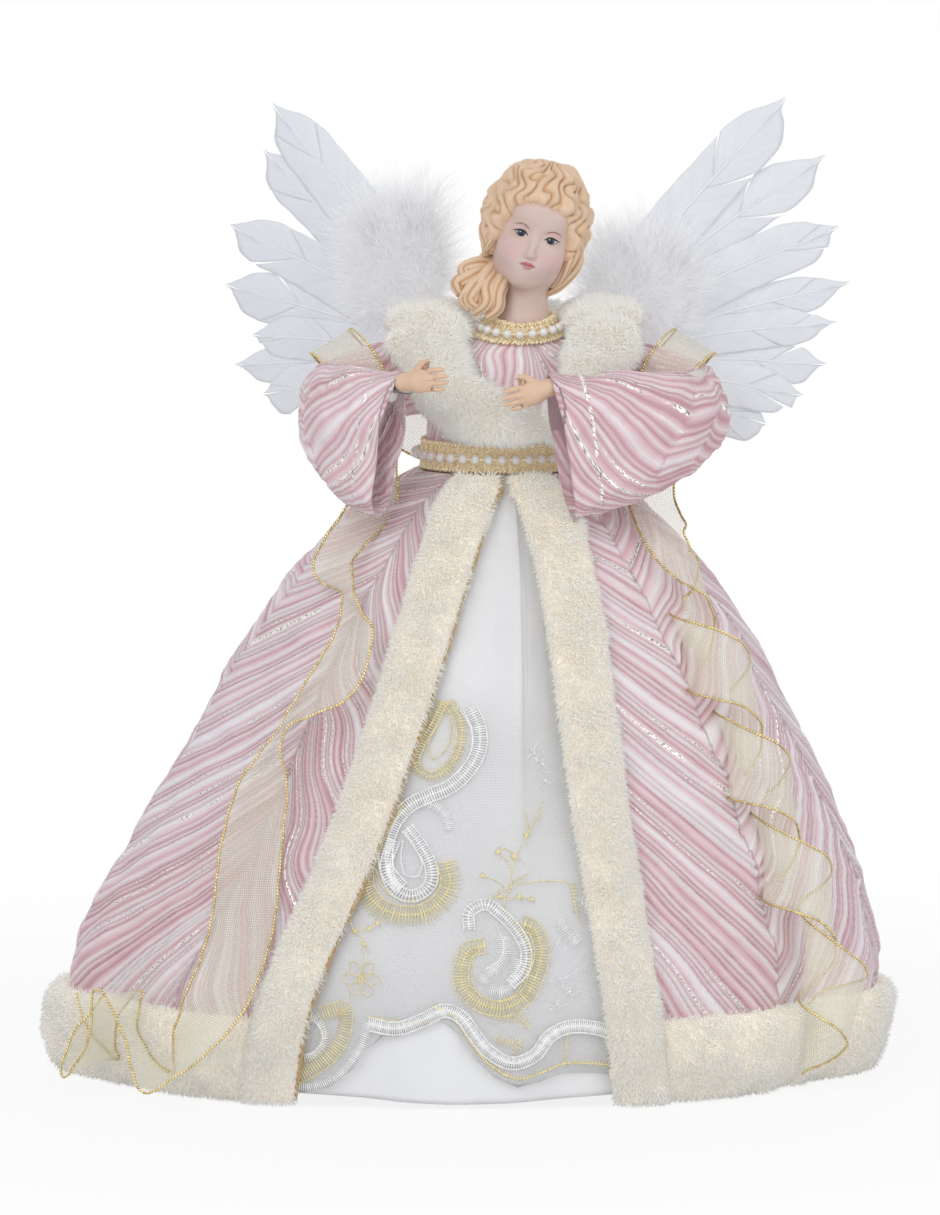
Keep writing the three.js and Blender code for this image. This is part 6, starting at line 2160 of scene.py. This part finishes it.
def hair_cap():
    """Moulded waves from the crown to the hairline: points, faces and values."""
    rows, columns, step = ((105, 460, 4))
    share = np.linspace(0, 1, rows)[:, None]
    around = turns_of(columns, -np.pi)[None, :]
    lock_end = np.abs(np.cos(0.5 * LOCKS * around + 0.6 * np.sin(3 * around)))
    line = np.radians(profile_at(HAIRLINE, np.degrees(np.abs(around)))) + 0.075 * lock_end - 0.03
    down = mix(0.06, line, share)
    flat = crown_direction(around + 0 * down, down)
    place = np.array(HAIR_MIDDLE) + flat * HAIR_HALF
    run = down * HAIR_RADIUS
    sway = smooth(run, 3, 12)
    wave = 0.11 * sway * np.sin(run * 0.6 + 2.2 * np.sin(2 * around) + 1.3 * np.sin(5 * around + 1))
    wave = wave + 0.06 * sway * lumps(place, 9, 61)
    phase = LOCKS * (around + wave) + 0.6 * np.sin(3 * around) + 2.4 * lumps(place, 15, 62)
    lock = np.abs(np.sin(0.5 * phase))
    hill = mix(lock**2, 1 - (1 - lock) ** 2, 0.75)
    strand = np.abs(np.sin(2.0 * phase + 0.5 + 0.8 * lumps(place, 5, 64)))
    settle = smooth(run, 5, 13)
    relief = settle * (1.7 * hill - 1.2 + 0.22 * strand) + 1.0 * lumps(place, 10, 63)
    edge = (line - down) * HAIR_RADIUS
    rounded = np.sqrt(1 - (1 - np.clip(edge / 3.4, 0, 1)) ** 2)
    skull = SKULL_MIDDLE + flat * SKULL_HALF
    outer = mix(skull, place + flat * relief[..., None], (0.16 + 0.84 * rounded)[..., None])
    # Marks the hollows between locks and strands for painted shade
    groove = 0.6 * settle * (1 - smooth(lock, 0.0, 0.7)) + 0.14 * settle * (1 - smooth(strand, 0, 0.7))
    inner = from_head((skull - 0.5 * flat)[::step, ::step])
    values = {"groove": np.clip(groove, 0, 1), "around": phase / 6, "along": run}
    return slab(from_head(outer), inner, wrap=True, **values).parts()


def hair_lock(path, radii, twist):
    """One curled lock: a grooved tube through places of the head's frame."""
    count, sides = 44, 20
    line = even_spline(path, count)
    radius = np.interp(np.linspace(0, 1, count), np.linspace(0, 1, len(radii)), radii)
    points, faces = tube(line, radius, sides, 0.78, (0, 1, 0), np.linspace(0, twist, count))
    turn = turns_of(sides)
    ridge = np.abs(np.sin(2.5 * turn))
    ring = points[: count * sides].reshape(count, sides, 3)
    ring = line[:, None] + (ring - line[:, None]) * (0.8 + 0.24 * np.sqrt(ridge))[None, :, None]
    points = np.concatenate([ring.reshape(-1, 3), points[-2:]])
    # Marks the furrows of each curl for painted shade
    groove = np.tile(1 - smooth(ridge, 0, 0.55), count)
    values = {"groove": groove, "around": np.tile(turn, count), "along": np.repeat(run_length(line), sides)}
    values = {key: np.concatenate([value, (0, 0)]) for key, value in values.items()}
    return from_head(points), faces, values


# Places in the head's frame, radii along the lock, and twist
CURLS = [
    ([(-9, 3, -10), (-12, 0, -14.5), (-16.5, -3, -16), (-19.5, -4.5, -18.5), (-17, -6, -21)],
     (2.6, 3.5, 3.6, 3.2, 1.7), 1.2),
    ([(-10, 2, -12), (-13.5, -2, -17.5), (-17.5, -5, -20.5), (-20.5, -6, -23.5), (-18.5, -7.5, -26.5)],
     (3.0, 3.8, 3.8, 3.2, 1.8), -1.2),
    ([(-9, 2, -12), (-11.5, -3, -18.5), (-14.5, -7, -23), (-15, -8.5, -27.5), (-11.5, -9, -29)],
     (3.2, 4.0, 3.9, 3.4, 1.8), 1.4),
    ([(-8, 2, -12), (-8.5, -3, -18), (-10.5, -7, -22.5), (-9.5, -9.5, -27), (-12.5, -9.5, -31)],
     (3.0, 3.6, 3.6, 3.2, 1.6), -1.2),
    ([(-7, 1, -12), (-6, -4, -17), (-6.5, -7.5, -22.5), (-5.5, -9, -27.5), (-8, -9.5, -31.5)],
     (2.8, 3.3, 3.4, 3.1, 1.6), 1.3),
    ([(-12, 3, -12), (-13.5, 1, -20), (-12, -1, -26), (-10, -2, -30)], (4.0, 5.0, 5.0, 3.0), 0.8),
    ([(-10, 0, -14), (-14, -5, -20), (-16.5, -7.5, -24.5), (-17, -8, -28), (-14, -9, -30)],
     (2.6, 3.2, 3.2, 2.6, 1.4), 1.1),
    ([(-10, 1, -13), (-12.5, -3, -19), (-13.2, -6, -24), (-12.6, -7.6, -28)], (3.5, 4.6, 4.6, 3.0), 0.7),
    ([(-13.4, -5.4, 3), (-14.3, -6.2, -2), (-13.5, -6.6, -6), (-14.2, -6.2, -10)], (1.5, 2.2, 2.0, 0.9), 2.2),
    ([(13.2, -5.6, 3), (14.4, -6.2, -2), (13.4, -6.4, -7), (12.2, -5.2, -12), (10.2, -3.4, -16)],
     (1.5, 2.3, 2.2, 1.9, 0.9), -2.4),
    ([(15, -2, 0), (16, -3, -6), (14.6, -3, -11), (12, -2, -16), (8.6, -0.6, -20)],
     (2.0, 2.7, 2.5, 2.2, 1.0), 2.0),
    ([(-15, -2, 2), (-16.6, -3.4, -3), (-15, -4, -8), (-14, -4, -12)], (2.0, 2.6, 2.3, 1.0), -2.0),
]


def hair_piece():
    """Moulded hair: waves over the head, locks beside the face and curls on the shoulder."""
    points, faces, values = hair_cap()
    shape = Shape().add(points, faces, **values)
    for k, (path, radii, twist) in enumerate(CURLS):
        points, faces, values = hair_lock(np.array(path, float), radii, twist)
        shape.add(points, faces, tuft=k + 1.0, **values)
    put("moulded_hair", shape.closed("moulded_hair"), moulded_hair(), "gown", ["hair"], "blond")


class ANGEL_OT_head(Operator):
    """Makes the moulded head and shoulder plate, with its painted face and hair."""

    bl_idname = "angel.head"
    bl_label = "Head and face"

    def execute(self, context):
        head_piece()
        face_paint()
        hair_piece()
        return {"FINISHED"}


class ANGEL_OT_arms(Operator):
    """Makes both moulded hands and the padded arms inside the sleeves."""

    bl_idname = "angel.arms"
    bl_label = "Hands and arms"

    def execute(self, context):
        for side in SIDES:
            hand_piece(side)
            padded_arm(side)
        return {"FINISHED"}


FAN_HUB = (8.0, 5.0)
QUILL_ROOT = 14
VANE_HALF_THICK = 0.13
# Degrees above level, length and half width of each feather
FEATHER_TABLE = {
    "left": [
        (48, 117, 9.6), (36, 114, 8.6), (24, 106, 8.6), (13.5, 104, 6.6),
        (6.5, 97, 6.4), (-2, 93, 7.6), (-9, 85.5, 7.6), (-17.5, 76, 8.4),
    ],
    "right": [
        (47.6, 112, 9.8), (40, 104, 9), (24, 101, 8.8), (12.3, 97, 8.6),
        (3, 84, 7.2), (-4, 91.5, 6.4), (-11, 81, 8),
    ],
}
DOWN_MIDDLE = {"left": (35, -2.5, 28), "right": (33, -2.5, 36.5)}
DOWN_HALF = {"left": (17.5, 4.4, 17.0), "right": (17.5, 4.4, 20.0)}
DOWN_SEED = {"left": 52, "right": 51}
DOWN_STRANDS = 7500
DOWN_LOOK = {"radius": 0.00012, "lean": 1.5, "spread": 0.6, "bend": 0.3, "segments": 3, "clump_scale": 130.0}


def wing_place(side, local):
    """World points of places in one wing's frame: out, back and up from its hinge."""
    sign = SIDES[side]
    sweep = math.radians(WING_SWEEP[side])
    hinge = np.array((lean_at(WING_HEIGHT) + 8 * sign, WING_BACK, WING_HEIGHT))
    out = np.array((sign * math.cos(sweep), math.sin(sweep), 0))
    back = np.array((-sign * math.sin(sweep), math.cos(sweep), 0))
    local = np.asarray(local, float)
    flat = hinge + (local[..., :1] + 0.35) * out + local[..., 1:2] * back
    return flat + local[..., 2:] * np.array((0, 0, 1.0))


def feather_piece(side, number, angle, length, half):
    """One goose feather: a quill, and a vane on each side of it with splits along the barbs."""
    draw = np.random.default_rng(200 + 20 * (side == "left") + number)
    turn = math.radians(angle)
    ahead = np.array((math.cos(turn), math.sin(turn)))
    across = np.array((-math.sin(turn), math.cos(turn)))
    bow = draw.uniform(-0.16, -0.04)
    layer = 0.75 + 1.15 * (number % 2)
    reach = length - half

    def quill(s):
        straight = np.array(FAN_HUB) + mix(QUILL_ROOT, reach, s)[..., None] * ahead
        return straight + (bow * reach * (s * s - s))[..., None] * across

    def raised(flat, y):
        return wing_place(side, stacked(flat[..., 0], y, flat[..., 1]))

    shape = Shape()
    for sign in (-1, 1):
        cuts = draw.uniform(0.6, 0.95, 1)
        ends = np.concatenate([[0.0], cuts, [1.0]])
        gaps = np.concatenate([[0.0], 3.4 * draw.uniform(0.1, 1.0, 1) ** 3, [0.0]])
        ragged = draw.uniform(0, 6)
        for k in range(len(ends) - 1):
            rows = max(4, int(64 * (ends[k + 1] - ends[k])))
            t = np.linspace(0, 1, rows)[:, None]
            s = mix(ends[k], ends[k + 1], t)
            b = np.linspace(0, 1, 9)[None, :]
            spread = np.radians(mix(mix(55, 34, smooth(s, 0, 0.7)), 0.5, smooth(s, 0.72, 1.04)))
            taper = mix(0.5 + 1.22 * np.sqrt(smooth(s, -0.1, 0.8)), 0.95, smooth(s, 0.78, 1.02))
            long = 1.13 * half * taper
            long = long * (1 + 0.02 * np.sin(11 * s + ragged) + 0.012 * np.sin(61 * s + 2 * ragged))
            long = long * mix(0.82 if sign > 0 else 1.05, 0.95, smooth(s, 0.8, 1))
            wide = long * np.sin(spread) * b * (1.12 - 0.12 * b)
            forward = long * np.cos(spread) * b * (0.9 + 0.1 * b)
            apart = gaps[k] * (1 - t) ** 3 - gaps[k + 1] * t**3
            forward = forward + 0.5 * apart * b**2
            flat = quill(np.broadcast_to(s, wide.shape))
            flat = flat + wide[..., None] * (sign * across) + forward[..., None] * ahead
            sag = layer + 0.75 * b**2 + 0.25 * np.sin(9 * s + ragged) * b
            front, rear = (raised(flat, sag + thick) for thick in (-VANE_HALF_THICK, VANE_HALF_THICK))
            points, faces, values = slab(front, rear, barb=s * reach * 1.1, edge=b, tip=s).parts()
            shape.add(points, faces, **values)
    s = np.linspace(-0.08, 0.985, 40)
    stem = raised(quill(s), np.full(40, layer - 0.05))
    points, faces = tube(stem, mix(0.95, 0.24, np.clip(s, 0, 1)), 6)
    shape.add(points, faces, quill=1.0)
    name = f"goose_feather_{side}_{number + 1}"
    node = f"feather_{side}_{number + 1}"
    put(name, shape.closed(name), feather(), f"wing_{side}", [node], "feather")


def down_piece(side):
    """Fluffy down over the feathers' roots, behind the shoulder."""
    middle, half = np.array(DOWN_MIDDLE[side]), np.array(DOWN_HALF[side])
    local, faces = ball(middle, half, None, 24, 36)
    out = unit((local - middle) / half**2)
    sideways = wing_place(side, local + stacked(out[:, 0], 0, out[:, 2])) - wing_place(side, local)
    comb = sideways + np.array((0, 0, 0.35))
    cover = np.where(local[:, 1] < middle[1] + 0.7 * half[1], 1.0, 0.1)
    grow = 0.75 + 0.35 * smooth(local[:, 2], middle[2] - 5, middle[2] + 14)
    shape = Shape().add(wing_place(side, local), faces, comb=comb, cover=cover, grow=grow)
    place = (f"wing_down_{side}", shape, f"wing_{side}", [f"down_{side}"])
    pile_piece(
        *place, down(), "feather", DOWN_STRANDS, sizes().down_length, DOWN_SEED[side], **DOWN_LOOK
    )


class ANGEL_OT_wings(Operator):
    """Makes both wings: goose feathers in a fan, and down over their roots."""

    bl_idname = "angel.wings"
    bl_label = "Feather wings"

    def execute(self, context):
        for side in SIDES:
            for number, row in enumerate(FEATHER_TABLE[side]):
                feather_piece(side, number, *row)
            down_piece(side)
        return {"FINISHED"}


RIBBON_HALF = 12
RIBBON_HALF_THICK = 0.12
ARM_RIBBON_HALF = 7.6
ARM_RIBBON_REACH = 46.23
WIRE_SIDES = 6
SKIRT_CLEAR = 1.9
# Reach, forward and rise from the shoulder pivot, and how far the width leans
ARM_STATIONS = [
    (46.2, -15, -8, 0), (52, -15.5, 0, 0.2), (59, -11.5, 8.5, 0.45), (61, -1, 12, 0.6), (57, 10, 11, 0.6),
    (50, 16.5, 2, 0.3), (46.2, 17.25, -14, 0), (46.2, 18, -28, 0), (46.2, 21.75, -39, 0),
]
# Angle, height, stand-off, slant and twist down the skirt
RIGHT_FALL = [
    (-50, 172, 9, -10, 0), (-35, 157, 8, -45, 10), (-34, 141, 8, -55, 10), (-41, 122, 12, -35, 45),
    (-42, 100, 8, 0, 10), (-41, 80, 4, 0, 0), (-38, 58, 2.4, 0, 0), (-36, 40, 9, 0, 0),
    (-38.5, 22, 14, 0, 25), (-42, 8, 20.5, 0, 75), (-47, 20, 18, 0, 55), (-50, 36, 19, 0, 75),
    (-54, 22, 18, 0, 55), (-57, 9, 20, 0, 75), (-60, 20, 17, 0, 45), (-61.5, 32, 12, 0, 15),
]
COIL_STATIONS = 55
COIL_TURNS = 4.5
COIL_RADIUS = 8
# Reach, forward and rise from the shoulder pivot
BACK_STATIONS = [
    (ARM_RIBBON_REACH, -15.95, -4), (ARM_RIBBON_REACH - 3, -17.95, -12), (27.7, -22.95, -23), (0, -26.4, -25),
]


def skirt_axes(angle, height, offset):
    """A point off the skirt and the directions round, up and out of it."""
    place = (np.array([angle]), np.array([height]))
    point = skirt_point(*place, offset)[0]
    around = unit(skirt_point(place[0] + 0.02, place[1], offset)[0] - point)
    up = unit(skirt_point(place[0], place[1] + 1, offset)[0] - point)
    return point, around, up, unit(np.cross(around, up))


def fall_stations(side):
    """Middle points and width directions of the ribbon from the arm down the skirt."""
    points, widths = [], []
    if side == "right":
        for angle, height, stand_off, slant, twist in RIGHT_FALL:
            point, around, up, out = skirt_axes(math.radians(angle), height, SKIRT_CLEAR + stand_off)
            slant, twist = math.radians(slant), math.radians(twist)
            width = around * math.cos(slant) + up * math.sin(slant)
            points.append(point)
            widths.append(width * math.cos(twist) + out * math.sin(twist))
        return points, widths
    for share in np.linspace(0, 1, COIL_STATIONS):
        stand_off = 9.2 + 8 * smooth(share, 0.6, 0.85)
        angle = math.radians(mix(49, 54, share))
        point, around, up, out = skirt_axes(angle, mix(168, 16, share), SKIRT_CLEAR + stand_off)
        turn = 2 * math.pi * COIL_TURNS * share
        points.append(point + COIL_RADIUS * (around * math.sin(turn) + out * math.cos(turn)))
        widths.append(up + 0.3 * around)
    return points, widths


def arm_stations(side):
    """Middle points and width directions of the ribbon over one arm."""
    points = [np.array(beside_pivot(side, *place[:3])) for place in ARM_STATIONS]
    widths = [unit(np.array((1.0, 0, -SIDES[side] * place[3]))) for place in ARM_STATIONS]
    return points, widths


def ribbon_rows(points, widths, count, half):
    """Middle line, unit widths and half widths at even steps along a ribbon."""
    shares = even_shares(points, np.linspace(0, 1, count))
    middle = spline(points, shares)
    width = unit(spline(widths, shares))
    ahead = tangents(middle)
    width = unit(width - ahead * (width * ahead).sum(1, keepdims=True) * 0.6)
    return middle, width, half(shares * (len(points) - 1))


def ribbon_piece(name, nodes, stations, count, half, bend):
    """A sheer ribbon with a twisted gold wire along both edges; bend is not used."""
    middle, width, wide = ribbon_rows(*stations, count, half)
    out = unit(np.cross(tangents(middle), width))
    run = run_length(middle)
    u = np.linspace(-1, 1, 9)
    ripple = 0.22 * np.sin(run * 0.55)[:, None] * np.abs(u)[None, :] ** 2
    across = u[None, :] * wide[:, None]
    rows = middle[:, None] + width[:, None] * across[..., None]
    rows = rows + out[:, None] * ripple[..., None]
    half_thick = out[:, None] * RIBBON_HALF_THICK
    mesh = slab(rows + half_thick, rows - half_thick, u=across, v=run[:, None]).closed(name)
    edges = Shape()
    radius = sizes().ribbon_wire / MM
    for column in (0, -1):
        fine = even_spline(rows[:, column], 2 * count)
        along = run_length(fine)
        points, faces = tube(fine, radius * (1 + 0.12 * np.sin(along * 3.1)), WIRE_SIDES)
        around = np.tile(np.arange(WIRE_SIDES) / WIRE_SIDES, len(fine))
        edges.add(
            points,
            faces,
            along=np.concatenate([np.repeat(along, WIRE_SIDES), (0.0, along[-1])]),
            around=np.concatenate([around, (0, 0)]),
        )
    cord_mesh = edges.closed(name + "_wire")
    sheer = put(name, mesh, ribbon_mesh(), None, nodes, "ribbon")
    wires = put(name + "_wire", cord_mesh, metal_thread("ribbon_wire", 1.1), None, (), "ribbon")
    for made in (sheer, wires):
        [np.array(point) * MM for point in bend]
        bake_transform(made)


def side_ribbon(side):
    """The ribbon over one arm and down the skirt."""
    arm_points, arm_widths = arm_stations(side)
    fall_points, fall_widths = fall_stations(side)
    stations = (arm_points + fall_points, arm_widths + fall_widths)
    last = len(ARM_STATIONS) - 1
    grown = 4 if side == "right" else 12

    def half(position):
        return mix(ARM_RIBBON_HALF, RIBBON_HALF, smooth(position, last, last + grown))

    length = run_length(even_spline(stations[0], 400))[-1]
    nodes = [f"ribbon_arm_{side}", f"ribbon_fall_{side}"]
    bend = (arm_points[-3], np.array(arm_points[-1]) - (0, 0, 18))
    ribbon_piece(f"gold_ribbon_{side}", nodes, stations, 240, half, bend)


def back_ribbon(side):
    """Half of the ribbon behind the back, from the shoulder to the middle."""
    points = [np.array(beside_pivot(side, *place)) for place in BACK_STATIONS]
    sign = SIDES[side]
    widths = [np.array(w, float) for w in ((1, 0, 0), (1, 0, 0), (0.6, 0, -0.8 * sign), (0, 0, -sign))]
    length = run_length(even_spline(points, 200))[-1]

    def half(position):
        return np.full(len(position), float(ARM_RIBBON_HALF))

    bend = (points[2], points[0])
    stations, bodies = (points, widths), ("gown", f"arm_{side}")
    ribbon_piece(f"back_ribbon_{side}", ["ribbon_back"], stations, 60, half, bend)


class ANGEL_OT_ribbons(Operator):
    """Makes the sheer gold ribbons over both arms, down the skirt and behind the back."""

    bl_idname = "angel.ribbons"
    bl_label = "Gold ribbons"

    def execute(self, context):
        for side in SIDES:
            side_ribbon(side)
            back_ribbon(side)
        return {"FINISHED"}


# Size of the wave over half the braid's height, and how far the thread stands out
BRAID_THREADS = ((0.98, 0.85), (0.72, 0.7), (0.45, 0.95))
BRAID_GOLD = ("braid_gold", 0.9, 0.75)


def gold_ring(shape, path, radius, sides=5):
    """Adds a closed gold thread along a path."""
    points, faces = ring_tube(path, radius, sides)
    steps = np.linalg.norm(np.roll(path, -1, axis=0) - path, axis=1)
    along = np.repeat(np.concatenate([[0], np.cumsum(steps)[:-1]]), sides)
    shape.add(points, faces, along=along, around=np.tile(np.arange(sides) / sides, len(path)))


def neck_dip(angle, dip):
    """How far a ring hangs lower at the middle of the front."""
    return -dip * np.clip(np.cos(angle), -0.2, 1) ** 2 * np.sign(np.cos(angle))


def braid_piece(name, node, low, high, offset, count, dip=0.0):
    """Gold braid: threads that cross between the pearls, with a coiled thread along both edges."""
    middle, half = (low + high) / 2, (high - low) / 2
    shape = Shape()

    def ring_path(angle, height, lift):
        return body_point(angle, height + neck_dip(angle, dip), offset + lift)

    rows = np.linspace(high - 0.6, low + 0.6, 7)[:, None]
    rows, wide = np.broadcast_arrays(rows, turns_of(120, -np.pi)[None, :])
    weave_height = 0.12 * np.cos(60 * wide) * np.cos(3 * rows)
    outer, inner = ring_path(wide, rows, 0.5 + weave_height), ring_path(wide, rows, 0)
    points, faces, values = slab(outer, inner, wrap=True, along=20 * wide, around=rows).parts()
    shape.add(points, faces, **values)
    angle = turns_of(count * 12, -np.pi)
    for phase in (0, np.pi):
        for size, lift in BRAID_THREADS:
            turn = count / 2 * angle + phase
            height = middle + size * half * np.cos(turn)
            gold_ring(shape, ring_path(angle, height, lift + 0.3 * np.sin(turn)), 0.4)
    fine = turns_of(count * 24, -np.pi)
    turn = count * 3 * fine
    for rim, sign in ((low, 1), (high, -1)):
        height = rim + sign * 0.5 + 0.5 * np.sin(turn)
        gold_ring(shape, ring_path(fine, height, 0.75 + 0.5 * np.cos(turn)), 0.42)
    put(name, shape.closed(name), metal_thread(*BRAID_GOLD), "gown", [node], "gold_braid")


def pearl_string(name, node, height, offset, count, radius, dip=0.0):
    """A string of pearls round the body, and the thread through them."""
    angle, fine = turns_of(count, -np.pi), turns_of(count * 6, -np.pi)
    points = body_point(angle, height + neck_dip(angle, dip), offset)
    sized = radius * (0.97 + 0.06 * hashed(np.arange(count), 7)) * MM
    mesh = grown_mesh(name, point_mesh(name, points, thick=sized), beads(), material=pearl())
    put(name, mesh, None, "gown", [node], "pearl")
    shape = Shape()
    gold_ring(shape, body_point(fine, height + neck_dip(fine, dip), offset), 0.45)
    string = shape.closed(name + "_thread")
    put(name + "_thread", string, metal_thread(*BRAID_GOLD), "gown", (), "gold_braid")


class ANGEL_OT_trim(Operator):
    """Makes the gold braids and the pearls at the waist and neck."""

    bl_idname = "angel.trim"
    bl_label = "Braids and pearls"

    def execute(self, context):
        waist, neck = sizes().waist_pearls, sizes().neck_pearls
        braid_piece("gold_belt", "waist_braid", 200.35, 209.85, 1.85, waist)
        braid_piece("gold_collar", "neck_braid", 244.9, 251.4, 2.2, neck, dip=2.0)
        pearl_string("belt_pearls", "waist_pearls", 205.1, 5.0, waist, 1.65)
        pearl_string("collar_pearls", "neck_pearls", 248.1, 5.6, neck, 1.5, dip=2.0)
        return {"FINISHED"}


CAMERA_DISTANCE = 5.0
CAMERA_RISE = math.radians(7.5)
CAMERA_AIM = (0, 0, 0.1528)
HALF_VIEW = 0.2025
LIGHT_AIM = (0, 0, 0.15)
LIGHT_SIZE = 1.2
# Place and power of each lamp
LIGHTS = {
    "key": ((-0.7, -1.3, 1.3), 10),
    "fill": ((1.1, -1.2, 0.7), 5.6),
    "back": ((0.2, 1.3, 1.1), 5),
}
FLOOR_HALF = 6000
WHITE = (1, 1, 1, 1)


def add_camera():
    """The camera at the photograph's angle."""
    lens = bpy.data.cameras.new("photo_camera")
    lens.sensor_fit = "VERTICAL"
    lens.sensor_height = 24
    lens.lens = lens.sensor_height / 2 * CAMERA_DISTANCE / HALF_VIEW
    lens.clip_end = 50
    made = bpy.data.objects.new("photo_camera", lens)
    bpy.context.scene.collection.objects.link(made)
    away = Vector((0, -math.cos(CAMERA_RISE), math.sin(CAMERA_RISE)))
    made.location = Vector(CAMERA_AIM) + CAMERA_DISTANCE * away
    made.rotation_euler = (math.pi / 2 - CAMERA_RISE, 0, 0)
    bpy.context.scene.camera = made


def add_light(name, place, power):
    """A soft square lamp."""
    lamp = bpy.data.lights.new(name, "AREA")
    lamp.size = LIGHT_SIZE
    lamp.energy = power
    made = bpy.data.objects.new(name, lamp)
    made.location = place
    made.rotation_euler = (Vector(LIGHT_AIM) - Vector(place)).to_track_quat("-Z", "Y").to_euler()
    bpy.context.scene.collection.objects.link(made)


def white_to_camera(tree):
    """1 for rays from the camera, gloss or glass, which see plain white."""
    path = wire(tree, "ShaderNodeLightPath")
    seen = calc("MAXIMUM", path.at("Is Camera Ray"), path.at("Is Glossy Ray"))
    return calc("MAXIMUM", seen, path.at("Is Transmission Ray"))


def add_world():
    """Even soft light from all round, white to the camera."""
    world = bpy.data.worlds.new("studio")
    bpy.context.scene.world = world
    world.use_nodes = True
    tree = world.node_tree
    tree.nodes.clear()
    soft = wire(tree, "ShaderNodeBackground", {"Color": (0.95, 0.97, 1, 1), "Strength": 0.56})
    white = wire(tree, "ShaderNodeBackground", {"Color": WHITE, "Strength": 1.0})
    both = wire(tree, "ShaderNodeMixShader", {0: white_to_camera(tree), 1: soft, 2: white})
    wire(tree, "ShaderNodeOutputWorld", {0: both})


def floor_material():
    """Pale floor that still takes the figure's soft shadow."""
    made = bpy.data.materials.new("floor")
    made.use_nodes = True
    tree = made.node_tree
    tree.nodes.clear()
    cloud, _ = mottle(tree, 3.0)
    base = blend(cloud, (0.86, 0.86, 0.87, 1), (0.87, 0.87, 0.87, 1))
    matte = wire(tree, "ShaderNodeBsdfDiffuse", {"Color": base})
    glow = wire(tree, "ShaderNodeEmission", {"Color": WHITE, "Strength": 1.0})
    away = wire(tree, "ShaderNodeVectorMath", {0: object_place(tree)}, "Value", operation="LENGTH")
    seen = white_to_camera(tree) * fade(away, 0.15, 0.5, 0.86, 1.0)
    both = wire(tree, "ShaderNodeMixShader", {0: seen, 1: matte, 2: glow})
    wire(tree, "ShaderNodeOutputMaterial", {0: both})
    return made


class ANGEL_OT_stage(Operator):
    """Makes the pale floor, the soft light and the camera."""

    bl_idname = "angel.stage"
    bl_label = "Stage"

    def execute(self, context):
        context.scene.view_settings.view_transform = "Standard"
        corners = [(x * FLOOR_HALF, y * FLOOR_HALF, 0) for x, y in ((-1, -1), (1, -1), (1, 1), (-1, 1))]
        shape = Shape().add(corners, [np.array([[0, 1, 2, 3]])])
        floor = put("floor", shape.mesh("floor"), floor_material(), None)
        add_world()
        for name, lamp in LIGHTS.items():
            add_light(name, *lamp)
        add_camera()
        return {"FINISHED"}


class ANGEL_OT_body(Operator):
    """Gives the hidden cone, torso, cards and wires their finishes."""

    bl_idname = "angel.body"
    bl_label = "Cone, torso and cards"

    def execute(self, context):
        plastic = plain_body("moulded_plastic", tuple(colours().plastic), (0.32, 0.42), 60, 0.03)
        foam = plain_body("foam", (0.8, 0.78, 0.74), (0.85, 0.95), 160, 0.25)
        felt = plain_body("felt_card", (0.82, 0.82, 0.81), (0.9, 0.98), 220, 0.2)
        steel = plain_body("steel", (0.5, 0.5, 0.52), (0.3, 0.45), 200, 0.02, 1.0)
        finishes = {
            "inner_cone": plastic,
            "torso_core": foam,
            "wing_mount_card": felt,
            "wing_card_left": felt,
            "wing_card_right": felt,
            "arm_wire_left": steel,
            "arm_wire_right": steel,
        }
        for name, material in finishes.items():
            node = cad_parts[name]
            node.data.materials.clear()
            node.data.materials.append(material)
        return {"FINISHED"}


class ANGEL_PT_panel(Panel):
    """Lists the angel's pieces in the 3D view's sidebar."""

    bl_idname = "ANGEL_PT_panel"
    bl_label = "Angel Tree Topper"
    bl_space_type = "VIEW_3D"
    bl_region_type = "UI"
    bl_category = "Angel"

    def draw(self, context):
        column = self.layout.column()
        for operator in OPERATORS:
            column.operator(operator.bl_idname)
        for group in (context.scene.angel_sizes, context.scene.angel_colours):
            for key in group.__annotations__:
                column.prop(group, key)


OPERATORS = (
    ANGEL_OT_stage,
    ANGEL_OT_body,
    ANGEL_OT_brocade,
    ANGEL_OT_underskirt,
    ANGEL_OT_plush,
    ANGEL_OT_head,
    ANGEL_OT_arms,
    ANGEL_OT_wings,
    ANGEL_OT_ribbons,
    ANGEL_OT_trim,
)
GROUPS = (AngelColours, AngelSizes)


def register():
    """Registers the classes and the scene's settings."""
    for made in (*GROUPS, *OPERATORS, ANGEL_PT_panel):
        bpy.utils.register_class(made)
    bpy.types.Scene.angel_colours = PointerProperty(type=AngelColours)
    bpy.types.Scene.angel_sizes = PointerProperty(type=AngelSizes)


def unregister():
    """Takes the classes and settings away again."""
    del bpy.types.Scene.angel_sizes
    del bpy.types.Scene.angel_colours
    for made in (ANGEL_PT_panel, *reversed(OPERATORS), *reversed(GROUPS)):
        bpy.utils.unregister_class(made)


def main():
    register()
    bpy.ops.angel.stage()
    bpy.ops.angel.body()
    bpy.ops.angel.brocade()
    bpy.ops.angel.underskirt()
    bpy.ops.angel.plush()
    bpy.ops.angel.head()
    bpy.ops.angel.arms()
    bpy.ops.angel.wings()
    bpy.ops.angel.ribbons()
    bpy.ops.angel.trim()


if __name__ == "__main__":
    main()
